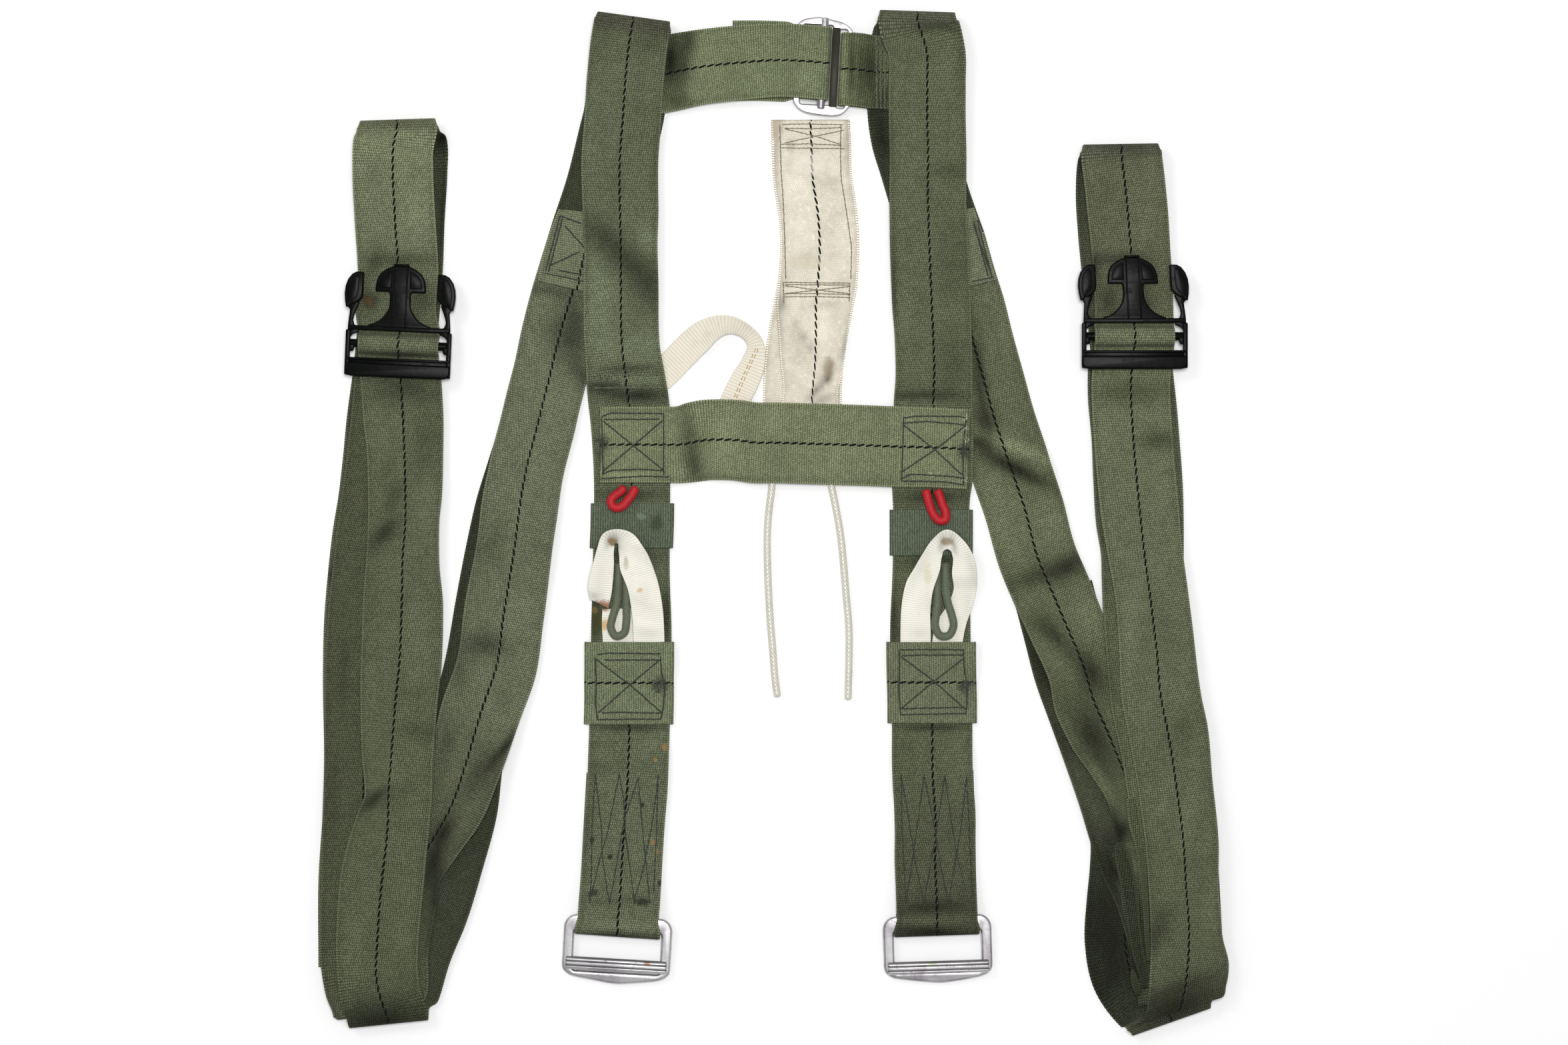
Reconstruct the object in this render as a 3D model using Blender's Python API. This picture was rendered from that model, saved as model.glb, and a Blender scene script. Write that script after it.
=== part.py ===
"""Webbing load harness, lying flat: two uprights and two cross straps with a buckled leg strap each side.

Tables are in millimetres in the plan view: x to the right, y up the harness, z the height of a layer's
middle. The scene is in metres, +Z up, and the harness rests on z = 0.
"""
import math
from collections import namedtuple

import bmesh
import bpy
from mathutils import Matrix, Vector

MM = 0.001

WIDE = 22.0            # half width of the 44 mm webbing
WEBBING = 1.5          # its thickness
THIN = 1.0             # tape and band thickness
FLOOR = WEBBING / 2    # middle height of a webbing layer that lies on the surface

CENTRE_X = 0.65        # the tables' x = 0 is this far left of the middle of the harness

STEP = 9.0             # longest run between two sections of a strap
ARC_STEPS = 6          # sections in a half turn

FRAME_THICK = 3.0      # metal adapter frames
ADAPTER_Z = 3.7        # height of the middle of a bottom frame's top bar, inside the strap's fold
ADAPTER_TILT = 3.2     # degrees by which a bottom frame leans from the fold down to its tab
SLIDE_HALF = 3.45      # half of a sliding bar's width along its frame
BUCKLE_BASE = 5.7      # underside of the plastic buckles
BAR_TOP = 10.8         # middle height of the wrap over a buckle's bar
CABLE_RADIUS = 2.0
CORD_RADIUS = 2.2

OLIVE = (0.125, 0.150, 0.075, 1)
LIGHT_OLIVE = (0.165, 0.205, 0.095, 1)
BLUE_GREEN = (0.085, 0.115, 0.090, 1)
CREAM = (0.76, 0.70, 0.58, 1)
WHITE = (0.84, 0.82, 0.72, 1)
RED = (0.42, 0.015, 0.02, 1)
CORD_GREEN = (0.080, 0.105, 0.065, 1)
BLACK = (0.012, 0.014, 0.012, 1)
METAL = (0.45, 0.45, 0.45, 1)
STEEL = (0.60, 0.59, 0.55, 1)

# One section of a strap. left and right are the distances from the middle to the two edges, left_z and
# right_z how far those edges stand above it, and side the direction from left to right in degrees.
Section = namedtuple("Section", "x y z left right left_z right_z side", defaults=(WIDE, WIDE, 0, 0, None))


# ---------------------------------------------------------------- helpers

def clear_scene():
    for item in list(bpy.data.objects):
        bpy.data.objects.remove(item, do_unlink=True)


def material(name, colour, roughness, metallic=0.0):
    made = bpy.data.materials.new(name)
    made.use_nodes = True
    shader = made.node_tree.nodes["Principled BSDF"]
    shader.inputs["Base Color"].default_value = colour
    shader.inputs["Roughness"].default_value = roughness
    shader.inputs["Metallic"].default_value = metallic
    return made


def add_object(name, data, surface):
    made = bpy.data.objects.new(name, data)
    bpy.context.scene.collection.objects.link(made)
    made.data.materials.append(surface)
    return made


def mesh_object(name, bm, surface):
    bmesh.ops.recalc_face_normals(bm, faces=bm.faces)
    bmesh.ops.scale(bm, vec=(MM, MM, MM), verts=bm.verts)
    mesh = bpy.data.meshes.new(name)
    bm.to_mesh(mesh)
    bm.free()
    return add_object(name, mesh, surface)


def spline(before, start, end, after, t):
    """Catmull-Rom value between start and end."""
    return 0.5 * (2 * start + (end - before) * t
                  + (2 * before - 5 * start + 4 * end - after) * t * t
                  + (3 * start - before - 3 * end + after) * t * t * t)


def smooth_rows(rows, longest):
    """Rows along a smooth curve through the given ones, no further apart than longest."""
    result = []
    for i in range(len(rows) - 1):
        before = rows[max(i - 1, 0)]
        after = rows[min(i + 2, len(rows) - 1)]
        start, end = rows[i], rows[i + 1]
        span = math.dist(start[:3], end[:3])
        count = max(1, math.ceil(span / longest))
        for k in range(count):
            result.append([spline(*values, k / count) for values in zip(before, start, end, after)])
    result.append(list(rows[-1]))
    return result


# ---------------------------------------------------------------- straps

def half_turn(x, y, z_from, z_to, outward, half=WIDE, left_z=0, right_z=0):
    """Sections of a fold that starts at z_from and comes back at z_to. x, y is the fold's outermost line
    in the plan, and outward the direction in degrees in which the fold bulges."""
    radius = abs(z_to - z_from) / 2
    turn = math.radians(outward)
    reach = radius + WEBBING / 2
    centre_x = x - reach * math.cos(turn)
    centre_y = y - reach * math.sin(turn)
    side = outward + 90 if outward < 0 else outward - 90
    sections = []
    for k in range(ARC_STEPS + 1):
        angle = math.pi * k / ARC_STEPS
        away = radius * math.sin(angle)
        height = (z_from + z_to) / 2 - (z_to - z_from) / 2 * math.cos(angle)
        sections.append(Section(centre_x + away * math.cos(turn), centre_y + away * math.sin(turn), height,
                                half, half, left_z, right_z, side))
    return sections


def side_angles(sections, first_side):
    """The edge-to-edge direction of each section, square to the strap where a row does not give it."""
    angles = []
    last = first_side
    for i, section in enumerate(sections):
        angle = section.side
        if angle is None:
            ahead = sections[min(i + 1, len(sections) - 1)]
            behind = sections[max(i - 1, 0)]
            angle = math.degrees(math.atan2(ahead.y - behind.y, ahead.x - behind.x)) - 90
        while angle - last > 90:
            angle -= 180
        while angle - last < -90:
            angle += 180
        angles.append(angle)
        last = angle
    return angles


def strap_grid(sections, first_side, across, lowest):
    """Points of the middle surface of a strap, a row to a section and none of them below lowest."""
    angles = side_angles(sections, first_side)
    rows = [list(section[:7]) + [angle] for section, angle in zip(sections, angles)]
    grid = []
    for x, y, z, left, right, left_z, right_z, angle in smooth_rows(rows, STEP):
        side = Vector((math.cos(math.radians(angle)), math.sin(math.radians(angle)), 0))
        line = []
        for k in range(across + 1):
            u = 2 * k / across - 1
            reach, rise = (left, left_z) if u < 0 else (right, right_z)
            point = Vector((x, y, z)) + side * reach * u + Vector((0, 0, rise * u * u))
            point.z = max(point.z, lowest)
            line.append(point)
        grid.append(line)
    return grid


def grid_normal(grid, i, k):
    along = grid[min(i + 1, len(grid) - 1)][k] - grid[max(i - 1, 0)][k]
    over = grid[i][min(k + 1, len(grid[i]) - 1)] - grid[i][max(k - 1, 0)]
    return over.cross(along).normalized()


def sheet_mesh(grid, thickness):
    """A closed sheet of the given thickness around a grid of middle points."""
    bm = bmesh.new()
    faces_of = []
    for sign in (1, -1):
        faces_of.append([[bm.verts.new(point + grid_normal(grid, i, k) * sign * thickness / 2)
                          for k, point in enumerate(line)] for i, line in enumerate(grid)])
    upper, lower = faces_of
    rows, columns = len(grid), len(grid[0])
    for i in range(rows - 1):
        for k in range(columns - 1):
            bm.faces.new((upper[i][k], upper[i][k + 1], upper[i + 1][k + 1], upper[i + 1][k]))
            bm.faces.new((lower[i][k], lower[i + 1][k], lower[i + 1][k + 1], lower[i][k + 1]))
        for k in (0, columns - 1):
            bm.faces.new((upper[i][k], upper[i + 1][k], lower[i + 1][k], lower[i][k]))
    for k in range(columns - 1):
        for i in (0, rows - 1):
            bm.faces.new((upper[i][k], lower[i][k], lower[i][k + 1], upper[i][k + 1]))
    return bm


def strap(name, sections, surface, thickness=WEBBING, first_side=0, across=2):
    grid = strap_grid(sections, first_side, across, thickness / 2)
    return mesh_object(name, sheet_mesh(grid, thickness), surface)


def staple(name, rows, surface, thickness=THIN, foot=0.3):
    """A band bent down over both edges of the strap below it. Rows are (x, y, z, half width), z the
    middle height of its top."""
    grid = []
    corner = 1.0
    for x, y, z, half in rows:
        profile = [(-half, foot), (-half, z - corner), (-half + corner, z), (0, z),
                   (half - corner, z), (half, z - corner), (half, foot)]
        grid.append([Vector((x + dx, y, height)) for dx, height in profile])
    return mesh_object(name, sheet_mesh(grid, thickness), surface)


# ---------------------------------------------------------------- strap routes

LEFT_UPRIGHT = (
    Section(-84.5, -216.0, 6.5),
    Section(-83.8, -209.0, 5.9),
    Section(-83.2, -199.0, 3.9),
    Section(-82.5, -186.0, 2.8),
    Section(-81.0, -162.5, 2.65),
    Section(-79.5, -144.0, 2.65),
    Section(-79.0, -131.0, 2.65),
    Section(-78.5, -113.0, FLOOR),
    Section(-77.5, -64.0, FLOOR),
    Section(-77.5, -24.0, FLOOR, 21, 21),
    Section(-77.0, 16.0, FLOOR, 20.8, 20.8),
    Section(-77.5, 52.5, FLOOR),
    Section(-79.0, 67.0, 1.7),
    Section(-80.5, 79.0, 2.7, 21.5, 21.5),
    Section(-82.5, 98.0, 3.2, 20.5, 20.5),
    Section(-83.0, 128.0, 4.55, 20.5, 20.5),
    Section(-83.0, 150.0, 5.0, 20, 20, -0.6, 0.5),
    Section(-83.5, 172.0, 4.55, 20.5, 21),
    Section(-83.5, 200.5, 4.2, 21, 21),
    Section(-82.0, 219.0, 4.7, 21, 21),
    Section(-80.5, 241.5, 5.4, 21, 21),
    Section(-78.0, 263.5, 7.4, 21, 21),
)

LEFT_BACK = (
    Section(-77.5, 263.5, FLOOR, 21, 21),
    Section(-79.5, 241.5, FLOOR),
    Section(-81.5, 223.0, FLOOR),
    Section(-84.5, 210.5, FLOOR),
    Section(-91.5, 182.5, FLOOR),
    Section(-100.0, 156.5, FLOOR),
    Section(-102.1, 149.75, FLOOR, side=-17.2),
)

LEFT_DIAGONAL = (
    Section(-102.22, 149.35, FLOOR, side=-17.2),
    Section(-108.5, 129.0, FLOOR),
    Section(-117.0, 101.0, FLOOR, 21, 21),
    Section(-121.5, 82.0, FLOOR, 20.5, 20.3),
    Section(-125.5, 66.0, 2.2, 20.5, 20.3),
    Section(-128.5, 53.5, 2.65, 20.5, 20.5),
    Section(-134.5, 30.0, 2.65, 20.5, 20.5),
    Section(-138.5, 7.0, 3.2, 21, 21),
    Section(-140.5, -10.0, 3.4, 21, 20.5, 0, 1),
    Section(-147.0, -50.0, 2.65, 22, 22),
    Section(-151.0, -78.5, 2.8, 22, 22),
    Section(-159.0, -102.5, 3.6, 22, 21.5, 0, 1),
    Section(-167.5, -131.5, 4.6, 21, 20, -1, 3),
    Section(-175.5, -155.0, 6.2, 20, 18.5, -2.6, 5),
    Section(-186.0, -174.0, 6.3, 20, 16, -2.2, 4),
    Section(-195.0, -190.0, 5.2, 20, 15, -0.8, 0.6),
    Section(-200.5, -208.0, 4.6, 21, 17, 0, 0.4),
    Section(-205.5, -231.0, 4.55, 22, 18),
    Section(-210.0, -252.0, 4.55, 22, 22),
)

LEFT_TAIL = (
    Section(-222.5, -252.0, 6.45),
    Section(-224.5, -240.0, 6.45),
    Section(-225.0, -224.0, 6.45),
    Section(-224.5, -200.0, 6.4),
    Section(-224.0, -175.0, 6.4),
    Section(-223.5, -158.0, 5.9),
    Section(-223.0, -132.0, 3.8),
    Section(-223.0, -106.0, 2.65),
    Section(-222.5, -78.5, 2.65),
    Section(-221.5, -56.5, 2.65),
    Section(-219.0, -31.0, 2.65),
    Section(-216.0, -5.0, 2.65),
    Section(-211.5, 30.0, 2.65),
    Section(-207.5, 67.0, 2.65),
    Section(-206.0, 84.5, 2.65),
)

LEFT_LEG_UNDER = (
    Section(-128.0, 59.0, FLOOR),
    Section(-135.5, 28.0, FLOOR),
    Section(-141.5, 4.5, FLOOR),
    Section(-146.5, -18.5, FLOOR),
    Section(-152.0, -47.5, FLOOR),
    Section(-157.5, -78.5, FLOOR),
    Section(-163.0, -100.5, FLOOR),
    Section(-168.5, -124.0, FLOOR),
    Section(-173.0, -158.5, 1.1),
    Section(-179.5, -182.5, 2.5),
    Section(-188.0, -210.5, 2.65),
    Section(-197.5, -234.0, 2.65),
    Section(-203.0, -252.5, 2.65),
)

LEFT_LEG_FRONT = (
    Section(-213.0, -261.0, 8.5),
    Section(-216.0, -248.0, 8.6, 21, 23),
    Section(-215.5, -231.0, 8.8, 22.5, 22.5),
    Section(-213.0, -196.5, 9.0, 23, 23),
    Section(-211.0, -180.0, 9.4, 21.5, 22.5),
    Section(-209.5, -160.0, 9.2, 17, 23, 2.5, 0),
    Section(-209.5, -148.0, 8.4, 12.5, 24, 3.5, 0),
    Section(-208.0, -126.5, 6.9, 16, 23, 2.2, 0),
    Section(-206.0, -99.0, 5.4, 19, 23, 1, 0),
    Section(-204.0, -78.5, 4.8, 21, 23),
    Section(-202.5, -46.0, 4.55, 21.5, 22.5),
    Section(-202.0, -20.5, 4.8, 20, 20, 0, 1),
    Section(-200.5, 0.0, 5.0, 20.5, 18.5, 0, 1.2),
    Section(-200.5, 15.5, 4.8, 20.5, 20, 0, 0.6),
    Section(-201.0, 35.5, 4.55, 20.5, 21),
    Section(-202.0, 61.0, 4.55, 22, 22),
    Section(-203.0, 77.0, 4.55),
)

LEFT_LOOP_FRONT = (
    Section(-204.5, 108.0, 4.55),
    Section(-204.5, 138.0, 4.6),
    Section(-206.0, 165.5, 6.2),
    Section(-207.0, 192.5, 8.2),
    Section(-206.5, 206.0, 9.6),
)

LEFT_LOOP_BACK = (
    Section(-200.0, 206.0, 1.6),
    Section(-200.0, 192.5, FLOOR),
    Section(-201.5, 165.5, FLOOR),
    Section(-202.5, 138.0, FLOOR),
    Section(-205.0, 107.0, FLOOR),
    Section(-208.0, 78.5, FLOOR),
    Section(-211.0, 56.0, FLOOR),
    Section(-213.5, 30.5, FLOOR),
    Section(-216.0, 10.0, FLOOR),
    Section(-218.5, -5.0, FLOOR),
    Section(-221.5, -31.0, FLOOR),
    Section(-223.5, -56.5, FLOOR),
    Section(-224.0, -78.5, FLOOR),
    Section(-223.5, -148.0, FLOOR),
    Section(-226.5, -196.5, FLOOR),
    Section(-226.5, -243.0, FLOOR),
)

RIGHT_UPRIGHT = (
    Section(89.5, -216.0, 6.5),
    Section(89.3, -209.0, 5.9),
    Section(89.0, -199.0, 3.9),
    Section(88.5, -186.0, 2.8),
    Section(88.5, -157.5, 2.65),
    Section(87.5, -144.0, 2.65),
    Section(87.0, -131.0, 2.65),
    Section(87.0, -113.0, FLOOR),
    Section(86.0, -64.0, FLOOR),
    Section(86.5, -20.5, FLOOR, 21, 21),
    Section(86.5, 6.0, FLOOR, 20.8, 20.8),
    Section(86.5, 14.0, 1.3, 21.2, 21.2),
    Section(87.0, 24.0, 2.65),
    Section(87.5, 45.0, 2.65),
    Section(87.5, 65.0, 2.65, 21.5, 21.5),
    Section(88.0, 81.5, 2.65, 21, 21),
    Section(87.5, 101.0, 3.0, 21, 21),
    Section(86.5, 121.0, 4.2, 21.5, 21.5),
    Section(85.5, 146.0, 4.55, 21.5, 21.5),
    Section(84.5, 176.0, 4.3, 21, 21),
    Section(84.5, 201.5, 5.2, 21, 21),
    Section(84.0, 222.0, 6.5, 21, 21),
    Section(84.0, 239.0, 6.9, 21, 21),
    Section(83.5, 257.5, 8.2, 21, 21),
    Section(81.0, 266.0, 9.0, 21.5, 21.5),
)

RIGHT_BACK = (
    Section(76.0, 266.0, FLOOR, 21.5, 21.5),
    Section(74.0, 249.0, FLOOR),
    Section(73.5, 226.0, FLOOR),
    Section(75.5, 211.0, FLOOR),
    Section(80.0, 196.0, FLOOR),
    Section(87.5, 171.5, FLOOR),
    Section(94.44, 152.2, FLOOR, side=17.8),
)

RIGHT_DIAGONAL = (
    Section(94.57, 151.8, FLOOR, side=17.8),
    Section(100.0, 132.5, FLOOR),
    Section(105.0, 116.5, FLOOR),
    Section(109.5, 98.5, FLOOR),
    Section(115.0, 78.5, FLOOR),
    Section(122.0, 53.5, FLOOR),
    Section(127.5, 37.0, 1.0, 22, 22, -0.25, 0.4),
    Section(132.0, 23.5, 3.2, 22, 21.5, -2.3, 0.8),
    Section(137.0, 9.0, 2.0, 22, 21.5, -0.6, -0.4),
    Section(144.5, -19.0, 2.0, 21.5, 21.5),
    Section(152.0, -37.0, 2.65, 21.5, 21.5),
    Section(160.5, -57.0, 2.7, 21, 21, 0.8, 0),
    Section(169.5, -78.5, 2.7, 20.5, 21, 1.2, 0),
    Section(175.0, -97.0, 3.1, 22, 21),
    Section(182.0, -113.0, 4.3, 21.5, 20, 0.6, -0.1),
    Section(189.0, -130.5, 4.6, 17.5, 19.5, 0.9, -0.1),
    Section(196.0, -149.0, 4.5, 14, 20, 0.8, 0),
    Section(202.5, -169.5, 4.5, 15, 20, 0.3, 0),
    Section(207.0, -188.0, 4.55, 19, 21),
    Section(212.5, -210.5, 4.55, 21.5, 22),
    Section(217.0, -232.0, 4.55),
    Section(219.5, -248.0, 4.55),
)

RIGHT_TAIL = (
    Section(222.0, -244.0, 6.45),
    Section(222.5, -224.0, 6.45),
    Section(221.5, -200.5, 6.45),
    Section(219.5, -175.0, 6.5, 22, 22, 0.1, 0),
    Section(215.5, -149.5, 6.45, 22, 22, 0.15, 0),
    Section(211.5, -124.0, 6.4, 22, 22, 0.15, 0),
    Section(206.5, -100.5, 5.6),
    Section(203.5, -69.5, 4.9),
    Section(202.0, -45.0, 4.6),
    Section(201.5, -30.0, 3.6),
    Section(201.0, -15.0, 2.65),
    Section(198.5, 0.5, 2.65),
    Section(197.0, 23.5, 2.65),
    Section(196.0, 46.5, 2.65),
    Section(194.0, 70.5, 2.65),
    Section(194.0, 88.0, 2.65),
)

RIGHT_SECOND = (
    Section(153.0, -37.0, FLOOR),
    Section(159.0, -60.0, FLOOR),
    Section(164.5, -81.0, FLOOR),
    Section(171.5, -100.5, 1.1),
    Section(179.5, -122.5, 2.65),
    Section(188.0, -147.0, 2.65),
    Section(196.5, -174.5, 2.65),
    Section(200.5, -185.5, 2.65),
    Section(207.5, -200.5, 2.65),
    Section(213.0, -217.0, 2.65),
    Section(217.5, -235.0, 2.65),
    Section(219.0, -243.0, 2.65),
)

RIGHT_LEG_UNDER = (
    Section(183.0, -122.0, FLOOR),
    Section(190.5, -147.0, FLOOR),
    Section(195.5, -174.5, FLOOR),
    Section(195.0, -191.5, FLOOR),
    Section(193.5, -207.0, FLOOR),
    Section(192.5, -230.0, FLOOR),
    Section(196.0, -247.0, FLOOR),
    Section(205.0, -259.5, 0.8),
)

RIGHT_LEG_FRONT = (
    Section(223.6, -258.5, 8.6, 20, 23.5, 0, 0, 14),
    Section(225.5, -243.0, 8.7, 20.5, 22.8, 0, 0, 6),
    Section(226.5, -223.0, 8.8, 21, 18),
    Section(225.0, -200.5, 8.8, 20.5, 17.5, 0, 2),
    Section(223.5, -175.0, 8.8, 21, 19, 0, 1.5),
    Section(219.5, -143.0, 8.6, 21, 20),
    Section(214.5, -111.5, 8.0, 21.5, 22),
    Section(211.5, -97.0, 7.5, 21.5, 22),
    Section(209.0, -69.5, 6.9, 20.5, 21),
    Section(205.5, -40.5, 6.3, 19, 21),
    Section(202.5, -17.0, 5.0, 20, 21, 0.6, 0),
    Section(199.5, 12.0, 4.55, 21.5, 21.5),
    Section(196.5, 46.5, 4.55, 21.5, 21.5),
    Section(195.5, 81.0, 4.55, 21.5, 21.5),
)

RIGHT_LOOP_FRONT = (
    Section(197.0, 112.5, 4.55, 21.5, 21.5),
    Section(195.5, 145.0, 4.7, 21.5, 21.5),
    Section(193.0, 172.5, 6.4, 22, 22),
    Section(191.0, 190.0, 8.0, 22, 22),
    Section(190.0, 197.0, 9.0, 22, 22),
)

RIGHT_LOOP_BACK = (
    Section(188.5, 196.0, 1.4, 22, 22),
    Section(187.5, 180.0, FLOOR),
    Section(188.5, 161.5, FLOOR),
    Section(190.5, 140.0, FLOOR),
    Section(194.0, 110.5, FLOOR),
    Section(196.5, 83.0, FLOOR),
    Section(199.0, 59.5, FLOOR),
    Section(200.5, 41.0, FLOOR),
    Section(202.0, 19.5, FLOOR),
    Section(202.5, 0.5, FLOOR),
    Section(202.5, -20.5, FLOOR),
)


def buckle_wrap(x, y, half, turn=0.0):
    """The short hump of a strap over the middle bar of a buckle whose bar is at x, y."""
    hump = ((-7.4, 4.55), (-5.6, 5.0), (-4.4, 7.2), (-3.2, 9.6), (0.0, BAR_TOP),
            (3.2, 9.6), (4.4, 7.2), (5.4, 5.2), (6.4, 4.6), (8.6, 4.55))
    lean = math.radians(turn)
    return [Section(x - dy * math.sin(lean), y + dy * math.cos(lean), z, half, half, 0, 0, turn)
            for dy, z in hump]


def main_straps_left(surface):
    adapter_under = [Section(-80.0, -138.0, FLOOR), Section(-81.5, -165.0, FLOOR),
                     Section(-83.0, -193.0, FLOOR), Section(-84.5, -213.0, FLOOR)]
    route = adapter_under + half_turn(-85.0, -226.2, FLOOR, 6.5, -90 - 4)
    route += LEFT_UPRIGHT
    route += half_turn(-75.9, 276.2, 8.6, FLOOR, 90 - 8, 20.5)
    route += LEFT_BACK
    strap("left_main_strap", route, surface)
    route = LEFT_DIAGONAL + tuple(half_turn(-217.5, -268.6, 4.55, 6.45, -90 + 8)) + LEFT_TAIL
    strap("left_diagonal_strap", route, surface)


def main_straps_right(surface):
    adapter_under = [Section(87.5, -136.0, FLOOR), Section(88.5, -165.0, FLOOR),
                     Section(89.0, -193.0, FLOOR), Section(89.5, -212.0, FLOOR)]
    route = adapter_under + half_turn(89.5, -225.7, FLOOR, 6.5, -90 + 2)
    route += RIGHT_UPRIGHT
    route += half_turn(78.8, 279.0, 9.6, FLOOR, 90 - 2, 21.5)
    route += RIGHT_BACK
    strap("right_main_strap", route, surface)
    route = RIGHT_DIAGONAL + tuple(half_turn(221.0, -259.6, 4.55, 6.45, -90 + 12)) + RIGHT_TAIL
    strap("right_diagonal_strap", route, surface)


def leg_strap_left(surface):
    route = list(LEFT_LEG_UNDER)
    route += half_turn(-209.5, -273.7, 2.65, 8.35, -90 + 5.8)
    route += LEFT_LEG_FRONT
    route += buckle_wrap(-204.0, 96.8, WIDE, -2.4)
    route += LEFT_LOOP_FRONT
    route += half_turn(-204.6, 219.8, 10.8, FLOOR + 1.2, 90 + 1.9)
    route += LEFT_LOOP_BACK
    return strap("left_leg_strap", route, surface)


def leg_strap_right(surface):
    route = list(RIGHT_LEG_UNDER)
    route += half_turn(217.5, -272.6, FLOOR, 8.55, -90 + 19.5, 23)
    route += RIGHT_LEG_FRONT
    route += buckle_wrap(197.0, 101.5, 21.8)
    route += RIGHT_LOOP_FRONT
    route += half_turn(189.5, 206.5, 10.2, FLOOR + 1.0, 90 + 1.0)
    route += RIGHT_LOOP_BACK
    return strap("right_leg_strap", route, surface)


def shoulder_patches(surface):
    rows = {
        "left_shoulder_patch": (Section(-95.2, 169.0, 2.5, side=-6), Section(-100.0, 156.0, 2.5, side=-9),
                                Section(-104.0, 142.0, 2.5, side=-11), Section(-107.0, 127.0, 2.5, side=-13)),
        "right_shoulder_patch": (Section(88.0, 169.0, 2.5, side=8), Section(92.5, 155.0, 2.5, side=10),
                                 Section(97.0, 140.5, 2.5, side=12), Section(100.5, 127.5, 2.5, side=13)),
    }
    for name, route in rows.items():
        strap(name, route, surface, THIN)


def cross_straps(surface):
    upper = [
        Section(-85.5, 240.0, 2.65, 21, 21), Section(-72.5, 242.5, 2.65, 21, 21),
        Section(-59.0, 245.0, 2.8, 21, 21), Section(-40.0, 248.5, 4.0, 20.5, 20.5),
        Section(-15.5, 251.0, 5.8, 20.3, 20.3), Section(5.0, 252.0, 6.6, 20, 20),
        Section(18.0, 251.2, 8.6, 20, 20),
    ]
    upper += half_turn(31.2, 250.0, 10.0, 3.9, -3, 20)
    upper += [Section(20.5, 251.2, 2.2, 20, 20), Section(14.0, 251.6, 0.8, 20, 20),
              Section(6.0, 252.0, FLOOR), Section(-7.0, 252.5, FLOOR), Section(-22.0, 252.5, FLOOR)]
    strap("upper_cross_strap", upper, surface, first_side=90)

    anchor = [Section(88.0, 244.0, 2.65, 20, 20), Section(75.0, 245.0, 2.65, 20, 20),
              Section(61.0, 245.5, 2.65, 20, 20), Section(52.0, 246.2, 2.5, 20, 20),
              Section(46.0, 247.0, 1.2, 20, 20)]
    anchor += half_turn(36.2, 247.5, FLOOR, 6.5, 177, 20)
    anchor += [Section(46.0, 247.0, 6.4, 20, 20), Section(52.0, 246.2, 5.4, 20, 20),
               Section(61.0, 245.5, 4.6, 20, 20), Section(75.0, 245.0, 4.55, 20, 20),
               Section(88.0, 244.0, 4.55, 20, 20)]
    strap("right_anchor_strap", anchor, surface, first_side=90)

    lower = [
        Section(-94.5, 42.5, 3.1, 20.8, 20.8), Section(-76.5, 42.5, 3.1, 20.8, 20.8),
        Section(-58.0, 42.5, 3.0, 20.8, 20.8), Section(-51.0, 42.5, 2.4, 21, 21),
        Section(-43.0, 44.0, 0.9, 21.8, 21.8), Section(-37.0, 45.0, 1.4, 22, 22),
        Section(-30.0, 45.3, 2.8, 22, 22), Section(-20.5, 45.0, 3.4, 22, 22),
        Section(-9.0, 43.5, 4.8, 22, 22), Section(0.0, 43.5, 5.3, 22, 22),
        Section(18.5, 43.0, 5.3, 22, 22), Section(36.5, 42.5, 5.3, 22, 22),
        Section(51.0, 42.0, 4.6, 22, 22), Section(64.0, 41.5, 4.55, 22, 22),
        Section(85.5, 41.0, 4.55, 21.8, 21.8), Section(107.0, 40.0, 4.55, 21.8, 21.8),
    ]
    strap("lower_cross_strap", lower, surface, first_side=90)


def handle(surface):
    route = [
        Section(16.0, 54.0, 0.65, 21.5, 21.5), Section(16.0, 66.0, 0.65, 21.5, 21.5),
        Section(17.0, 87.0, 0.65, 21.5, 21.5), Section(19.0, 103.5, 0.65, 21.5, 21.5),
        Section(22.0, 119.5, 0.65, 21.5, 21.5), Section(24.0, 131.0, 0.65, 21.5, 21.5),
        Section(25.5, 152.5, 0.65, 21.5, 21.5), Section(24.5, 168.5, 0.65, 21.5, 21.5),
        Section(21.5, 189.5, 0.65, 21.5, 21.5), Section(20.5, 212.0, 0.65, 21.5, 21.5),
    ]
    route += half_turn(20.5, 220.3, 0.65, 2.45, 90, 21.5)
    route += [
        Section(21.0, 208.0, 2.45, 21.5, 21.5), Section(21.5, 189.5, 2.45, 21.5, 21.5),
        Section(24.5, 168.5, 2.45, 21.5, 21.5), Section(25.5, 152.5, 2.45, 21.5, 21.5),
        Section(24.5, 131.0, 2.45, 21.5, 21.5), Section(23.5, 119.5, 2.8, 21.5, 20.5),
        Section(23.5, 103.5, 4.6, 20.5, 17.5, -1, -1.5), Section(23.0, 87.0, 5.2, 19, 15.5, -1.6, -2),
        Section(21.5, 70.5, 3.2, 16, 14, -0.4, -0.4), Section(21.0, 56.0, 2.5, 18, 17),
    ]
    strap("handle_strap", route, surface, 1.2, across=4)


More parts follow.
